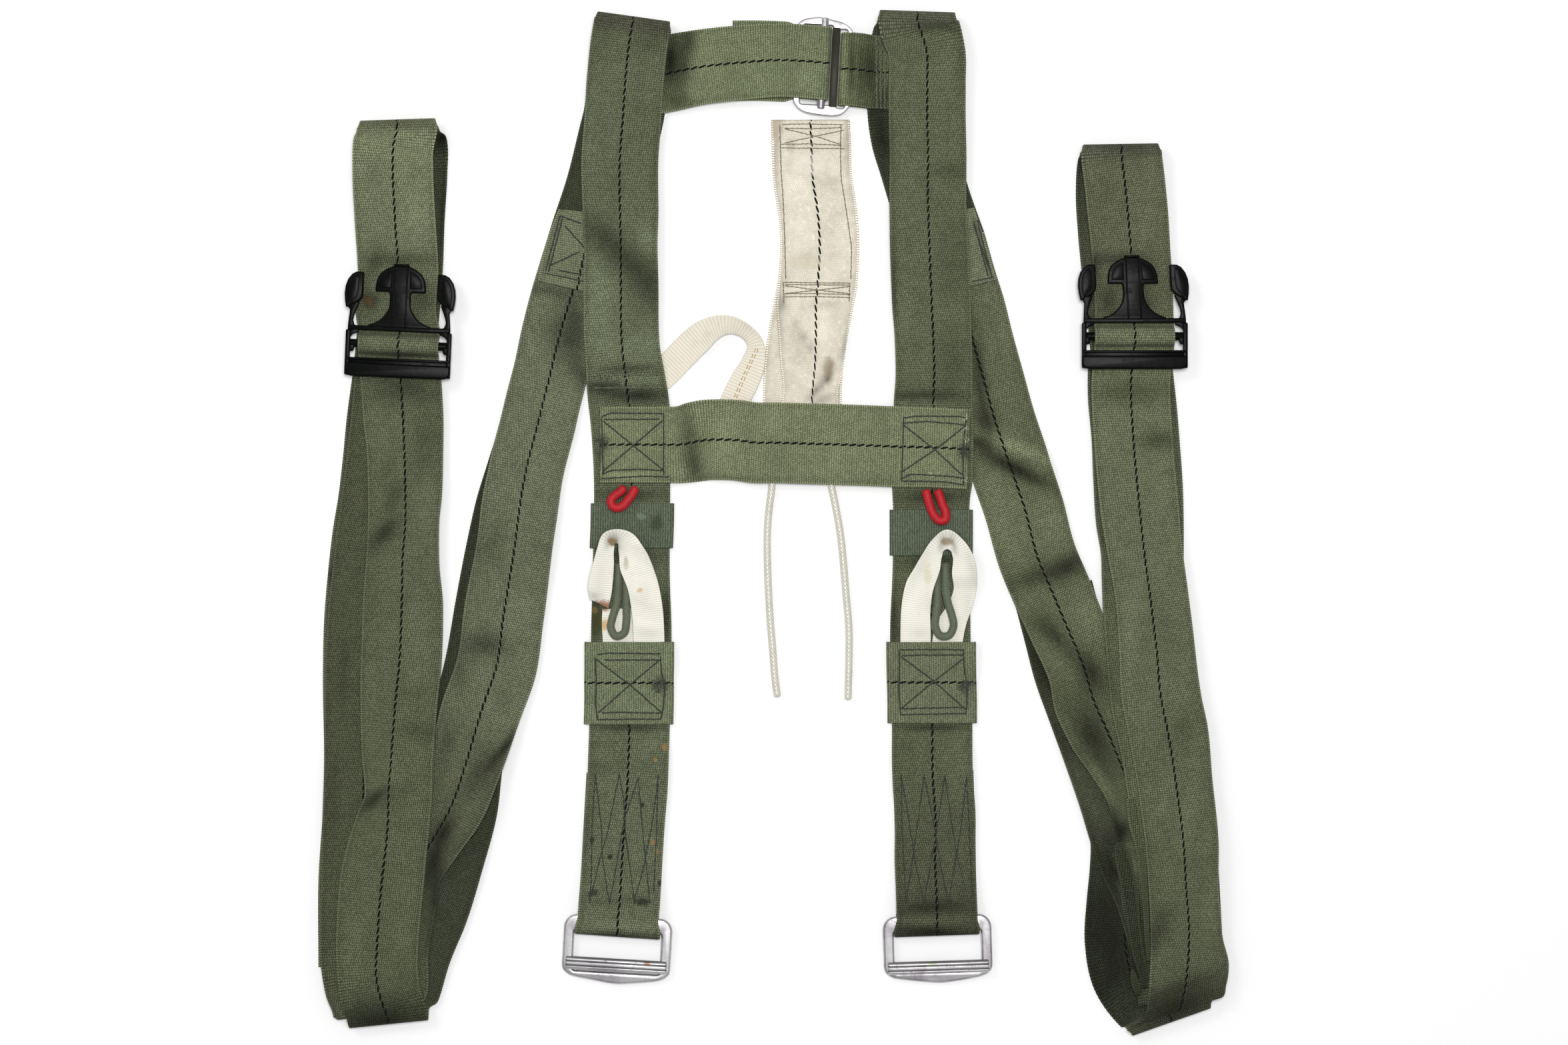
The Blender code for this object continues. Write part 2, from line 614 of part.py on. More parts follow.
def narrow_tape(surface):
    route = [
        Section(-65.0, 76.5, 0.55, 8, 8), Section(-57.0, 84.0, 0.6, 8.2, 8.2),
        Section(-49.0, 92.5, 1.6, 8.2, 8.2), Section(-40.5, 100.5, 3.4, 8, 8, 0.5, -0.5),
        Section(-32.5, 105.0, 4.6, 7, 7, 1, -1), Section(-23.0, 107.0, 5.2, 6, 6, 1.2, -1.2),
        Section(-14.5, 104.0, 5.0, 6, 6, 1, -1), Section(-10.0, 97.0, 4.2, 6.5, 6, 0.6, -0.6),
        Section(-10.5, 88.0, 3.2, 7, 7), Section(-15.0, 77.0, 1.9, 8, 7.5),
        Section(-20.5, 67.0, 0.8, 8, 8), Section(-24.5, 52.5, 0.5, 8, 8), Section(-26.0, 43.5, 0.5, 8, 8),
    ]
    strap("narrow_white_tape", route, surface, THIN, first_side=-45)


def bands_and_sleeves(band_surface, sleeve_surface):
    staple("left_band", ((-76.8, 10.5, 2.4, 22.2), (-77.0, -2.0, 2.4, 22.2), (-77.5, -14.0, 2.4, 22.2)),
           band_surface)
    staple("right_band", ((86.5, 7.0, 2.4, 22.4), (86.5, -5.0, 2.4, 22.4), (86.5, -18.0, 2.4, 22.4)),
           band_surface)
    staple("left_sleeve", ((-78.5, -65.2, 5.4, 24.0), (-78.5, -76.5, 5.2, 24.0), (-78.7, -86.0, 3.3, 24.0),
                           (-78.7, -98.0, 2.6, 24.0), (-79.0, -110.2, 2.7, 24.0)), sleeve_surface)
    staple("right_sleeve", ((86.4, -65.2, 5.4, 24.0), (86.5, -76.5, 5.2, 24.0), (86.7, -86.0, 3.3, 24.0),
                            (87.0, -98.0, 2.6, 24.0), (87.0, -109.6, 2.7, 24.0)), sleeve_surface)


def white_loops(surface):
    left = [
        Section(-67.5, -74.0, 3.9, 8.5, 8.5), Section(-68.0, -60.5, 4.2, 8.4, 8.7),
        Section(-69.0, -47.5, 6.0, 8.2, 8.9), Section(-71.5, -35.0, 7.5, 7.8, 9.2),
        Section(-74.8, -24.0, 7.8, 8.6, 8.8), Section(-78.0, -15.0, 7.8, 6.2, 7.6, 0, 0, 12),
        Section(-81.6, -8.6, 7.8, 4.3, 5.0, 0, 0, 45), Section(-85.4, -7.6, 7.8, 3.8, 4.0, 0, 0, 90),
        Section(-89.0, -8.8, 7.8, 4.1, 4.4, 0, 0, 135), Section(-91.0, -14.0, 7.8, 4.6, 4.6, 0, 0, 172),
        Section(-92.2, -23.0, 7.5, 5.6, 6.0, 0, 0, 178), Section(-93.6, -34.0, 6.4, 6.2, 7.2, 0, 0, 176),
        Section(-94.4, -44.6, 4.2, 5.2, 6.2, 0, 0, 153),
    ]
    strap("left_white_tape", left, surface, THIN)
    right = [
        Section(78.0, -74.0, 3.9, 8.5, 8.3), Section(78.0, -60.5, 4.2, 8.5, 8.2),
        Section(78.4, -47.5, 5.4, 8.5, 7.6), Section(80.4, -35.0, 7.2, 8.2, 7.2),
        Section(84.4, -25.0, 7.7, 7.0, 6.6, 0, 0, -10), Section(87.0, -17.5, 7.8, 5.2, 5.2, 0, 0, -14),
        Section(89.8, -12.5, 7.8, 4.4, 4.4, 0, 0, -45), Section(94.8, -9.2, 7.8, 5.4, 5.4, 0, 0, -90),
        Section(100.0, -12.3, 7.8, 4.6, 4.6, 0, 0, -135), Section(103.1, -17.5, 7.8, 5.4, 5.4, 0, 0, -168),
        Section(104.3, -28.0, 6.9, 6.8, 6.8, 0, 0, -180), Section(104.2, -37.0, 3.4, 6.8, 5.8, 0, 0, -181),
        Section(101.8, -45.0, 2.4, 7.2, 6.0, 0, 0, -190), Section(98.0, -54.0, 2.4, 7.8, 7.8, 0, 0, -190),
        Section(95.4, -64.0, 2.4, 8.4, 8.4, 0, 0, -183), Section(95.2, -74.0, 2.4, 8.4, 8.4, 0, 0, -180),
    ]
    strap("right_white_tape", right, surface, THIN)
    tail = (Section(-85.3, -47.0, 2.4, 8, 8), Section(-85.0, -56.0, 2.4, 8.5, 8.5),
            Section(-84.5, -66.0, 2.4, 8.5, 8.5), Section(-84.5, -75.5, 2.4, 8.5, 7.5))
    strap("left_white_tail", tail, surface, THIN)


# ---------------------------------------------------------------- hard pieces

def arc(x, y, radius_x, radius_y, start, end, steps):
    """Points of an elliptical arc, angles in degrees."""
    points = []
    for k in range(steps + 1):
        angle = math.radians(start + (end - start) * k / steps)
        points.append((x + radius_x * math.cos(angle), y + radius_y * math.sin(angle)))
    return points


def rounded_box(left, right, bottom, top, radius, steps=3):
    return (arc(right - radius, top - radius, radius, radius, 0, 90, steps)
            + arc(left + radius, top - radius, radius, radius, 90, 180, steps)
            + arc(left + radius, bottom + radius, radius, radius, 180, 270, steps)
            + arc(right - radius, bottom + radius, radius, radius, 270, 360, steps))


def plate(loops, z_low, z_high, edge=0.0):
    """A flat plate from an outer outline and its holes, its sharp edges softened by edge."""
    bm = bmesh.new()
    for loop in loops:
        verts = [bm.verts.new((x, y, z_low)) for x, y in loop]
        for k, vert in enumerate(verts):
            bm.edges.new((vert, verts[(k + 1) % len(verts)]))
    bmesh.ops.triangle_fill(bm, edges=bm.edges[:], use_beauty=True)
    bmesh.ops.dissolve_limit(bm, angle_limit=math.radians(1), verts=bm.verts[:], edges=bm.edges[:])
    raised = bmesh.ops.extrude_face_region(bm, geom=bm.faces[:])
    bmesh.ops.translate(bm, vec=(0, 0, z_high - z_low),
                        verts=[item for item in raised["geom"] if isinstance(item, bmesh.types.BMVert)])
    bmesh.ops.recalc_face_normals(bm, faces=bm.faces)
    if edge:
        rim = [e for e in bm.edges if len(e.link_faces) == 2 and e.calc_face_angle() > math.radians(50)
               and abs(e.verts[0].co.z - e.verts[1].co.z) < 0.01]
        bmesh.ops.bevel(bm, geom=rim, offset=edge, segments=1, affect="EDGES")
    return bm


def rod(x_from, x_to, y, z, radius, sides=12):
    """A round bar along X."""
    bm = bmesh.new()
    turn = Matrix.Translation(((x_from + x_to) / 2, y, z)) @ Matrix.Rotation(math.pi / 2, 4, "Y")
    bmesh.ops.create_cone(bm, cap_ends=True, segments=sides, radius1=radius, radius2=radius,
                          depth=x_to - x_from, matrix=turn)
    return bm


def united(name, pieces, surface):
    """One solid from overlapping closed pieces."""
    base = mesh_object(name, pieces[0], surface)
    for k, piece in enumerate(pieces[1:]):
        cutter = mesh_object(f"{name}_union_{k}", piece, surface)
        cutter.hide_render = True
        cutter.display_type = "WIRE"
        cutter.parent = base
        join = base.modifiers.new(f"join_{k}", "BOOLEAN")
        join.operation = "UNION"
        join.object = cutter
    return base


def place(item, x, y, z, turn_z=0.0, turn_x=0.0):
    item.location = (x * MM, y * MM, z * MM)
    item.rotation_euler = (math.radians(turn_x), 0, math.radians(turn_z))
    return item


def buckle(name, x, y, turn, lean, surface):
    """Male half of a side-release buckle. Its middle bar lies at y = 0 of its own frame, and its head and
    hooks lean sideways by lean millimetres for each millimetre up."""
    low, high = 0.0, 3.2

    def leaning(points):
        return [(px + lean * max(py - 10, 0), py) for px, py in points]

    outline = [(-28.8, -17.6), (28.8, -17.6), (28.8, 6.5), (27.9, 9.0), (27.4, 14.0), (26.8, 18.6), (29.2, 19.4),
               (30.0, 25.0), (29.8, 31.0), (28.4, 34.8), (26.2, 37.8), (24.0, 38.8), (20.4, 38.6), (20.3, 27.0),
               (22.6, 21.5), (23.6, 18.6), (24.9, 15.0), (25.2, 12.4), (24.4, 10.3), (22.4, 9.6),
               (16.0, 10.2), (10.6, 13.2), (8.0, 16.0), (6.4, 19.0), (5.7, 22.6), (5.7, 27.2), (6.6, 28.6),
               (13.6, 28.6), (13.7, 31.0), (13.3, 33.6), (12.4, 36.4), (10.8, 39.0), (8.0, 41.2), (4.4, 42.6),
               (4.2, 43.9)]
    left = [(-px, py) for px, py in reversed(outline)]
    body = leaning(outline + left)
    body = [point for k, point in enumerate(body) if point != body[k - 1]]
    window = [(-26.3, -7.8), (26.3, -7.8), (26.3, 3.4), (24.6, 5.4), (22.4, 6.4), (20.6, 7.0),
              (-20.6, 7.0), (-22.4, 6.4), (-24.6, 5.4), (-26.3, 3.4)]
    pieces = [plate((body, window), low, high)]
    pieces.append(plate((rounded_box(-28.9, 28.9, -18.2, -8.0, 1.5, 2),), low + 0.2, high + 2.4, 0.8))
    pieces.append(plate((rounded_box(-27.6, 27.6, 7.2, 10.0, 1.0, 2),), low + 0.2, high + 1.2, 0.5))
    pieces.append(rod(-26.5, 26.5, 0.0, 1.5, 2.3))
    for side in (-1, 1):
        hook = leaning([(side * px, py) for px, py in ((29.0, 19.6), (30.2, 25.0), (30.0, 31.0), (28.6, 34.9),
                                                       (26.3, 38.0), (24.0, 39.0), (20.6, 38.7), (20.5, 27.2),
                                                       (22.8, 21.6), (26.4, 19.4))])
        pieces.append(plate((hook,), low - 0.2, high + 2.6, 0.8))
        pieces.append(plate((rounded_box(*sorted((side * 28.9, side * 26.4)), -17.0, 6.4, 1.0, 2),),
                            low + 0.1, high + 1.4, 0.5))
        rib = leaning(rounded_box(*sorted((side * 3.0, side * 4.1)), 9.0, 44.0, 0.4, 1))
        pieces.append(plate((rib,), low + 0.3, high + 0.9))
    made = united(name, pieces, surface)
    return place(made, x, y, BUCKLE_BASE, turn)


def bottom_adapter_frame(name, x, y, turn, tilt, surface):
    """Metal frame with a lifting tab. Its own frame has the middle of the slot's top bar at y = 0."""
    half = 29.6
    outer = (arc(half - 7, -1.5, 7, 7.5, 0, 90, 4) + arc(-half + 7, -1.5, 7, 7.5, 90, 180, 4)
             + [(-29.6, -22.0), (-28.6, -24.6), (-26.4, -26.6), (-22.6, -28.0), (-15.0, -29.2), (-5.0, -30.7),
                (0.0, -31.0), (5.0, -30.9), (15.5, -29.8), (24.0, -28.0), (27.4, -26.2), (29.2, -23.8),
                (29.6, -21.5)])
    slot = rounded_box(-23.8, 23.8, -24.9, -2.2, 1.5, 2)
    made = mesh_object(name, plate((outer, slot), -FRAME_THICK / 2, FRAME_THICK / 2, 0.7), surface)
    return place(made, x, y, ADAPTER_Z, turn, tilt)


def slide_bar(name, x, y, rest, turn, tilt, surface):
    """Ribbed bar that rides on the two rails of the frame, with a keel between them. It rests at y = rest
    of the frame."""
    bm = bmesh.new()
    half = SLIDE_HALF
    low, high = FRAME_THICK / 2 + 0.35, FRAME_THICK / 2 + 3.0
    profile = [(-half, low), (-half, high - 1.2), (-half + 0.8, high - 0.4), (-1.5, high - 0.4),
               (-1.1, high - 0.9), (-0.7, high), (0.7, high), (1.1, high - 0.8), (1.5, high - 0.2),
               (half - 0.8, high - 0.8), (half, low)]
    ends = [[bm.verts.new((side * 27.6, dy, dz)) for dy, dz in profile] for side in (-1, 1)]
    count = len(profile)
    for k in range(count):
        bm.faces.new((ends[0][k], ends[0][(k + 1) % count], ends[1][(k + 1) % count], ends[1][k]))
    bm.faces.new(ends[0])
    bm.faces.new(ends[1])
    keel = plate((rounded_box(-23.2, 23.2, -2.3, 2.3, 0.8, 1),), -FRAME_THICK / 2 + 0.3, low + 0.6)
    made = united(name, [bm, keel], surface)
    centre = Matrix.Rotation(math.radians(turn), 4, "Z") @ Matrix.Rotation(math.radians(tilt), 4, "X") \
        @ Vector((0, rest, 0))
    place(made, x + centre.x, y + centre.y, ADAPTER_Z + centre.z, turn, tilt)
    return made


def adapters(metal, bar_metal):
    for side, x, y, rest, turn in (("left", -84.4, -221.0, -20.4, -3.4), ("right", 89.6, -220.4, -22.2, 1.8)):
        bottom_adapter_frame(f"{side}_adapter_frame", x, y, turn, ADAPTER_TILT, metal)
        slide_bar(f"{side}_slide_bar", x, y, rest, turn, ADAPTER_TILT, bar_metal)


def upper_adapter(metal):
    outer = rounded_box(-17.0, 17.0, -26.8, 26.8, 6.5, 3)
    left_slot = rounded_box(-12.4, 4.0, -20.8, 22.6, 1.2, 1)
    right_slot = rounded_box(7.6, 12.0, -22.2, 20.8, 1.2, 1)
    frame = mesh_object("upper_adapter_frame", plate((outer, left_slot, right_slot), -1.25, 1.25, 0.6), metal)
    place(frame, 27.9, 248.8, 3.4, -3.0)
    bar = mesh_object("upper_adapter_bar", rod(-24.8, 24.8, 0.0, 0.0, 2.0), metal)
    place(bar, 27.3, 250.3, 6.95, 87.0)


def cord(name, points, radius, surface, resolution=2):
    """A round cord along a smooth curve through the given points."""
    rows = smooth_rows(points, radius * 4)
    data = bpy.data.curves.new(name, "CURVE")
    data.dimensions = "3D"
    data.bevel_depth = radius * MM
    data.bevel_resolution = resolution
    data.use_fill_caps = True
    line = data.splines.new("POLY")
    line.points.add(len(rows) - 1)
    for point, row in zip(line.points, rows):
        point.co = (row[0] * MM, row[1] * MM, row[2] * MM, 1)
    return add_object(name, data, surface)


LEFT_CABLE = ((-1.5, 47.0, 2.0), (-0.5, 30.5, 2.0), (-0.5, 20.5, 2.0), (-2.0, 8.5, 2.0), (-3.0, -4.5, 2.0),
              (-3.0, -22.0, 2.0), (-2.5, -35.5, 2.0), (-1.5, -53.0, 2.0), (0.0, -71.0, 2.0), (1.0, -84.0, 2.0),
              (2.5, -95.5, 2.0))
RIGHT_CABLE = ((30.5, 47.0, 2.0), (31.5, 30.5, 2.0), (32.0, 20.0, 2.0), (34.0, 10.0, 2.0), (37.0, -7.5, 2.0),
               (38.5, -22.0, 2.0), (40.0, -40.0, 2.0), (41.5, -57.5, 2.0), (41.5, -75.5, 2.0),
               (41.0, -97.0, 2.0))
LEFT_RED = ((-80.6, 19.7, 4.3), (-82.8, 17.2, 4.5), (-86.4, 14.6, 5.0), (-88.4, 11.8, 5.6), (-87.6, 9.2, 5.8),
            (-84.9, 8.0, 5.8), (-81.8, 9.2, 5.7), (-79.0, 12.4, 5.4), (-76.4, 16.0, 4.8), (-74.8, 19.7, 4.3))
RIGHT_RED = ((83.2, 18.2, 5.0), (85.2, 10.5, 5.3), (87.5, 4.5, 6.0), (90.5, 1.2, 6.0), (93.8, 1.6, 6.0),
             (94.2, 5.0, 6.0), (92.2, 10.5, 5.3), (89.6, 18.2, 5.0))
LEFT_GREEN = ((-84.3, -22.0, 4.0), (-84.4, -32.0, 4.0), (-84.6, -39.0, 4.1), (-85.3, -45.0, 5.0),
              (-87.4, -51.5, 5.4), (-88.4, -57.5, 5.4), (-85.5, -62.0, 5.4), (-81.4, -60.4, 5.4),
              (-80.0, -54.5, 5.4), (-79.9, -46.5, 5.1), (-79.9, -40.0, 4.2), (-79.8, -32.0, 4.0),
              (-79.6, -22.0, 4.0))
RIGHT_GREEN = ((89.2, -22.0, 4.0), (89.4, -31.0, 4.0), (89.6, -38.6, 4.2), (89.6, -45.0, 5.2),
               (88.8, -51.0, 5.4), (88.6, -57.0, 5.4), (91.4, -61.8, 5.4), (95.8, -61.6, 5.4),
               (98.4, -57.0, 5.4), (97.4, -50.0, 5.4), (95.6, -44.4, 5.4), (94.4, -38.6, 4.8),
               (94.1, -31.0, 4.1), (93.9, -22.0, 4.0))


def main():
    clear_scene()
    olive = material("olive_webbing", OLIVE, 0.85)
    olive_right = material("olive_webbing_right", OLIVE, 0.85)
    light = material("light_olive_webbing", LIGHT_OLIVE, 0.85)
    band = material("blue_green_webbing", BLUE_GREEN, 0.85)
    cream = material("cream_webbing", CREAM, 0.85)
    white = material("white_tape", WHITE, 0.8)
    red = material("red_cord", RED, 0.6)
    green = material("green_cord", CORD_GREEN, 0.7)
    plastic = material("black_plastic", BLACK, 0.4)
    metal = material("worn_metal", METAL, 0.4, 1.0)
    bar_metal = material("bar_metal", METAL, 0.35, 1.0)
    coated = material("coated_steel", STEEL, 0.3)

    main_straps_left(olive)
    main_straps_right(olive_right)
    leg_strap_left(olive)
    leg_strap_right(olive_right)
    strap("right_under_strap", RIGHT_SECOND, olive_right)
    shoulder_patches(light)
    cross_straps(light)
    handle(cream)
    narrow_tape(white)
    bands_and_sleeves(band, light)
    white_loops(white)
    buckle("left_buckle", -204.0, 96.8, -2.4, 0.0, plastic)
    buckle("right_buckle", 197.0, 101.5, 0.0, -0.05, plastic)
    adapters(metal, bar_metal)
    upper_adapter(metal)
    cord("left_cable", LEFT_CABLE, CABLE_RADIUS, coated)
    cord("right_cable", RIGHT_CABLE, CABLE_RADIUS, coated)
    cord("left_red_loop", LEFT_RED, CORD_RADIUS, red)
    cord("right_red_loop", RIGHT_RED, CORD_RADIUS, red)
    cord("left_green_loop", LEFT_GREEN, CORD_RADIUS, green)
    cord("right_green_loop", RIGHT_GREEN, CORD_RADIUS, green)

    for item in bpy.data.objects:
        if item.parent is None:
            item.location.x += CENTRE_X * MM


main()
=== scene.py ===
"""Looks of the webbing load harness: woven straps with their sewing, tapes, cords, buckles and adapters.

Tables are in millimetres in the plan view, as in the CAD source: x to the right, y up the harness, z the
height of a layer's middle. The scene is in metres, +Z up.
"""

import math
from collections import namedtuple

import bmesh
import bpy
import numpy as np
from mathutils import Matrix, Vector
from mathutils.bvhtree import BVHTree


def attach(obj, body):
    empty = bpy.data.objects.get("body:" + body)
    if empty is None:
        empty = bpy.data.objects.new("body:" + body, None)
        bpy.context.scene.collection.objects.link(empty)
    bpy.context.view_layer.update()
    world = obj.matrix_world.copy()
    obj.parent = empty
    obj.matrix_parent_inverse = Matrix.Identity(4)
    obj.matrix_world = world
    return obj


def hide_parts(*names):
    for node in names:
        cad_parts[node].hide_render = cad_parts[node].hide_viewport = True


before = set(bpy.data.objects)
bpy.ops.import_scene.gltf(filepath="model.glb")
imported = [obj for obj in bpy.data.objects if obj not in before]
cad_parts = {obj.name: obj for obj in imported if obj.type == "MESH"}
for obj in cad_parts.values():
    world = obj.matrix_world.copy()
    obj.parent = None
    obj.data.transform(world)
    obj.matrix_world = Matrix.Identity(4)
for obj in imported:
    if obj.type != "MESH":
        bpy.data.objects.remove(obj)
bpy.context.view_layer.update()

MM = 0.001

WIDE = 22.0             # half width of the main webbing
WEBBING = 1.5           # thickness of the main webbing
THIN = 1.0              # thickness of the tapes, patches, bands and sleeves
FLOOR = WEBBING / 2     # height of a strap that lies on the floor
CENTRE_X = 0.65         # added to the plan's x, so that the harness lies in the middle of the scene
ARC_STEPS = 6           # sections in a fold
FRAME_THICK = 3.0       # thickness of the lower adapters
ADAPTER_Z = 3.7         # height of their middle at the slot's top bar
ADAPTER_TILT = 3.2      # their tilt about X, in degrees
SLIDE_HALF = 3.45       # half depth of a slide bar
BUCKLE_BASE = 5.7       # height of a buckle's underside
BAR_TOP = 10.8          # height of a strap on the buckle's middle bar
CABLE_RADIUS = 2.0
CORD_RADIUS = 2.2
RED_RADIUS = 2.5

ROW_STEP = 0.87         # between two rows of a strap's mesh, half of a bump of its woven edge
FINE_STEP = 0.25        # steps in which the length along a smooth curve is measured

# Straight above, and as far to the right of the middle as in the photo.
CAMERA = (0.00665, 0.0, 2.0244)
# The lamps' names, places, diameters and powers.
LAMPS = (("overhead", (0.1, 0.25, 2.7), 0.8, 50.0), ("side", (-1.4, 1.2, 1.9), 0.9, 9.0))
FLOOR_REACH = 4.0
FLOOR_DROP = 0.0002     # how far the floor lies below the harness

Section = namedtuple("Section", "x y z left right left_z right_z side", defaults=(WIDE, WIDE, 0, 0, None))


# ---------------------------------------------------------------- camera, light and floor

def stage():
    scene = bpy.context.scene
    scene.view_settings.view_transform = "Standard"
    camera = bpy.data.cameras.new("camera")
    camera.lens = 85
    camera.sensor_width = 36
    camera.clip_start = 0.1
    camera.clip_end = 20
    eye = bpy.data.objects.new("camera", camera)
    eye.location = CAMERA
    scene.collection.objects.link(eye)
    scene.camera = eye

    world = bpy.data.worlds.new("studio")
    world.use_nodes = True
    background = world.node_tree.nodes["Background"]
    background.inputs["Color"].default_value = (1, 1, 1, 1)
    background.inputs["Strength"].default_value = 0.38
    scene.world = world

    for name, place, size, power in LAMPS:
        light = bpy.data.lights.new(name, "AREA")
        light.shape = "DISK"
        light.size = size
        light.energy = power
        lamp = bpy.data.objects.new(name, light)
        lamp.location = place
        lamp.rotation_euler = (-Vector(place)).to_track_quat("-Z", "Y").to_euler()
        scene.collection.objects.link(lamp)

    floor_mesh = bpy.data.meshes.new("floor")
    corners = ((-1, -1), (1, -1), (1, 1), (-1, 1))
    floor_mesh.from_pydata([(x * FLOOR_REACH, y * FLOOR_REACH, -FLOOR_DROP) for x, y in corners], [],
                           [(0, 1, 2, 3)])
    floor = bpy.data.objects.new("floor", floor_mesh)
    scene.collection.objects.link(floor)
    pale = bpy.data.materials.new("floor")
    pale.use_nodes = True
    shader = pale.node_tree.nodes["Principled BSDF"]
    shader.inputs["Base Color"].default_value = (0.93, 0.93, 0.93, 1)
    shader.inputs["Roughness"].default_value = 0.9
    shader.inputs["Specular IOR Level"].default_value = 0.1
    floor_mesh.materials.append(pale)


stage()


# ---------------------------------------------------------------- materials

def rgb(red, green, blue):
    """Linear colour of an 8-bit display colour."""
    values = []
    for value in (red, green, blue):
        value /= 255
        values.append(value / 12.92 if value <= 0.04045 else ((value + 0.055) / 1.055) ** 2.4)
    return (*values, 1)


def scaled(colour, factor):
    return tuple(min(1.0, value * factor) for value in colour[:3]) + (1,)


TRACER = (0.004, 0.004, 0.004, 1)


class Graph:
    """A material's nodes, built as expressions. A value is a socket, a number or a tuple."""

    def __init__(self, name, roughness=0.8, metallic=0.0, **sockets):
        self.material = bpy.data.materials.new(name)
        self.material.use_nodes = True
        self.tree = self.material.node_tree
        self.shader = self.tree.nodes["Principled BSDF"]
        self.shader.inputs["Roughness"].default_value = roughness
        self.shader.inputs["Metallic"].default_value = metallic
        for key, value in sockets.items():
            self.shader.inputs[key.replace("_", " ")].default_value = value

    def node(self, kind, inputs=(), **settings):
        made = self.tree.nodes.new(kind)
        for key, value in settings.items():
            setattr(made, key, value)
        for key, value in dict(inputs).items():
            self.feed(made.inputs[key], value)
        return made

    def feed(self, socket, value):
        if isinstance(value, bpy.types.NodeSocket):
            self.tree.links.new(value, socket)
        else:
            socket.default_value = value

    def math(self, operation, first, second=0.0, third=0.0):
        return self.node("ShaderNodeMath", {0: first, 1: second, 2: third}, operation=operation).outputs[0]

    def times(self, first, second):
        return self.math("MULTIPLY", first, second)

    def times_plus(self, first, second, third):
        return self.math("MULTIPLY_ADD", first, second, third)

    def plus(self, first, second):
        return self.math("ADD", first, second)

    def less(self, first, second):
        return self.math("SUBTRACT", first, second)

    def over(self, first, second):
        return self.math("DIVIDE", first, second)

    def size(self, value):
        return self.math("ABSOLUTE", value)

    def phase(self, value):
        """Fraction of a value, from -0.5 to 0.5."""
        return self.less(self.math("FRACT", value), 0.5)

    def vector(self, operation, *values, output=0):
        return self.node("ShaderNodeVectorMath", dict(enumerate(values)), operation=operation).outputs[output]

    def split(self, vector):
        return self.node("ShaderNodeSeparateXYZ", {0: vector}).outputs

    def weave(self):
        """The mesh's weave coordinates: across, along, and the distance from the edge or a cord's relief."""
        return self.split(self.node("ShaderNodeAttribute", attribute_name="weave").outputs["Vector"])

    # The mesh's tone: its colour with the creases' painted shade and painted light.
    def tone(self):
        return self.node("ShaderNodeAttribute", attribute_name="tone").outputs["Color"]

    def step(self, value, low, high):
        """0 below low, 1 above high and smooth in between; low may be above high."""
        made = self.node("ShaderNodeMapRange", {0: value, 1: low, 2: high, 3: 0.0, 4: 1.0},
                         interpolation_type="SMOOTHSTEP")
        return made.outputs[0]

    def mix(self, factor, first, second, blend="MIX"):
        made = self.node("ShaderNodeMix", {0: factor, 6: first, 7: second}, data_type="RGBA",
                         blend_type=blend)
        return made.outputs[2]

    def toned(self, colour, tint, mask, share):
        """The colour, turned into the tint by share where the mask is 1."""
        return self.mix(self.times(mask, share), colour, tint)

    def scaled(self, colour, factor):
        return self.mix(1.0, colour, (factor, factor, factor, 1), "MULTIPLY")

    def place(self):
        return self.node("ShaderNodeTexCoord").outputs["Object"]

    def noise(self, scale, detail, rough=0.55, distortion=0.0):
        made = self.node("ShaderNodeTexNoise", {"Vector": self.place(), "Scale": scale, "Detail": detail,
                                                "Roughness": rough, "Distortion": distortion})
        return made.outputs["Fac"]

    def stains(self, colour, spots):
        """Soft irregular spots on a colour. Each is (x, y, reach along x, reach along y, colour,
        strength)."""
        if not spots:
            return colour
        place = self.place()
        wobble = self.node("ShaderNodeTexNoise", {"Vector": place, "Scale": 260.0, "Detail": 3.0})
        shifted = self.vector("ADD", wobble.outputs["Color"], (-0.5, -0.5, -0.5))
        for x, y, reach_x, reach_y, tint, strength in spots:
            away = self.vector("SUBTRACT", place, ((x + CENTRE_X) * MM, y * MM, 0))
            away = self.vector("MULTIPLY", away, (1 / (reach_x * MM), 1 / (reach_y * MM), 0))
            flat = self.vector("MULTIPLY", self.vector("ADD", away, shifted), (1, 1, 0))
            length = self.vector("LENGTH", flat, output="Value")
            colour = self.toned(colour, tint, self.step(length, 1.0, 0.3), strength)
        return colour

    def bump(self, height, distance):
        made = self.node("ShaderNodeBump", {"Height": height, "Strength": 1.0, "Distance": distance})
        self.tree.links.new(made.outputs[0], self.shader.inputs["Normal"])

    def finish(self, colour, roughness=None):
        self.feed(self.shader.inputs["Base Color"], colour)
        if roughness is not None:
            self.feed(self.shader.inputs["Roughness"], roughness)
        return self.material


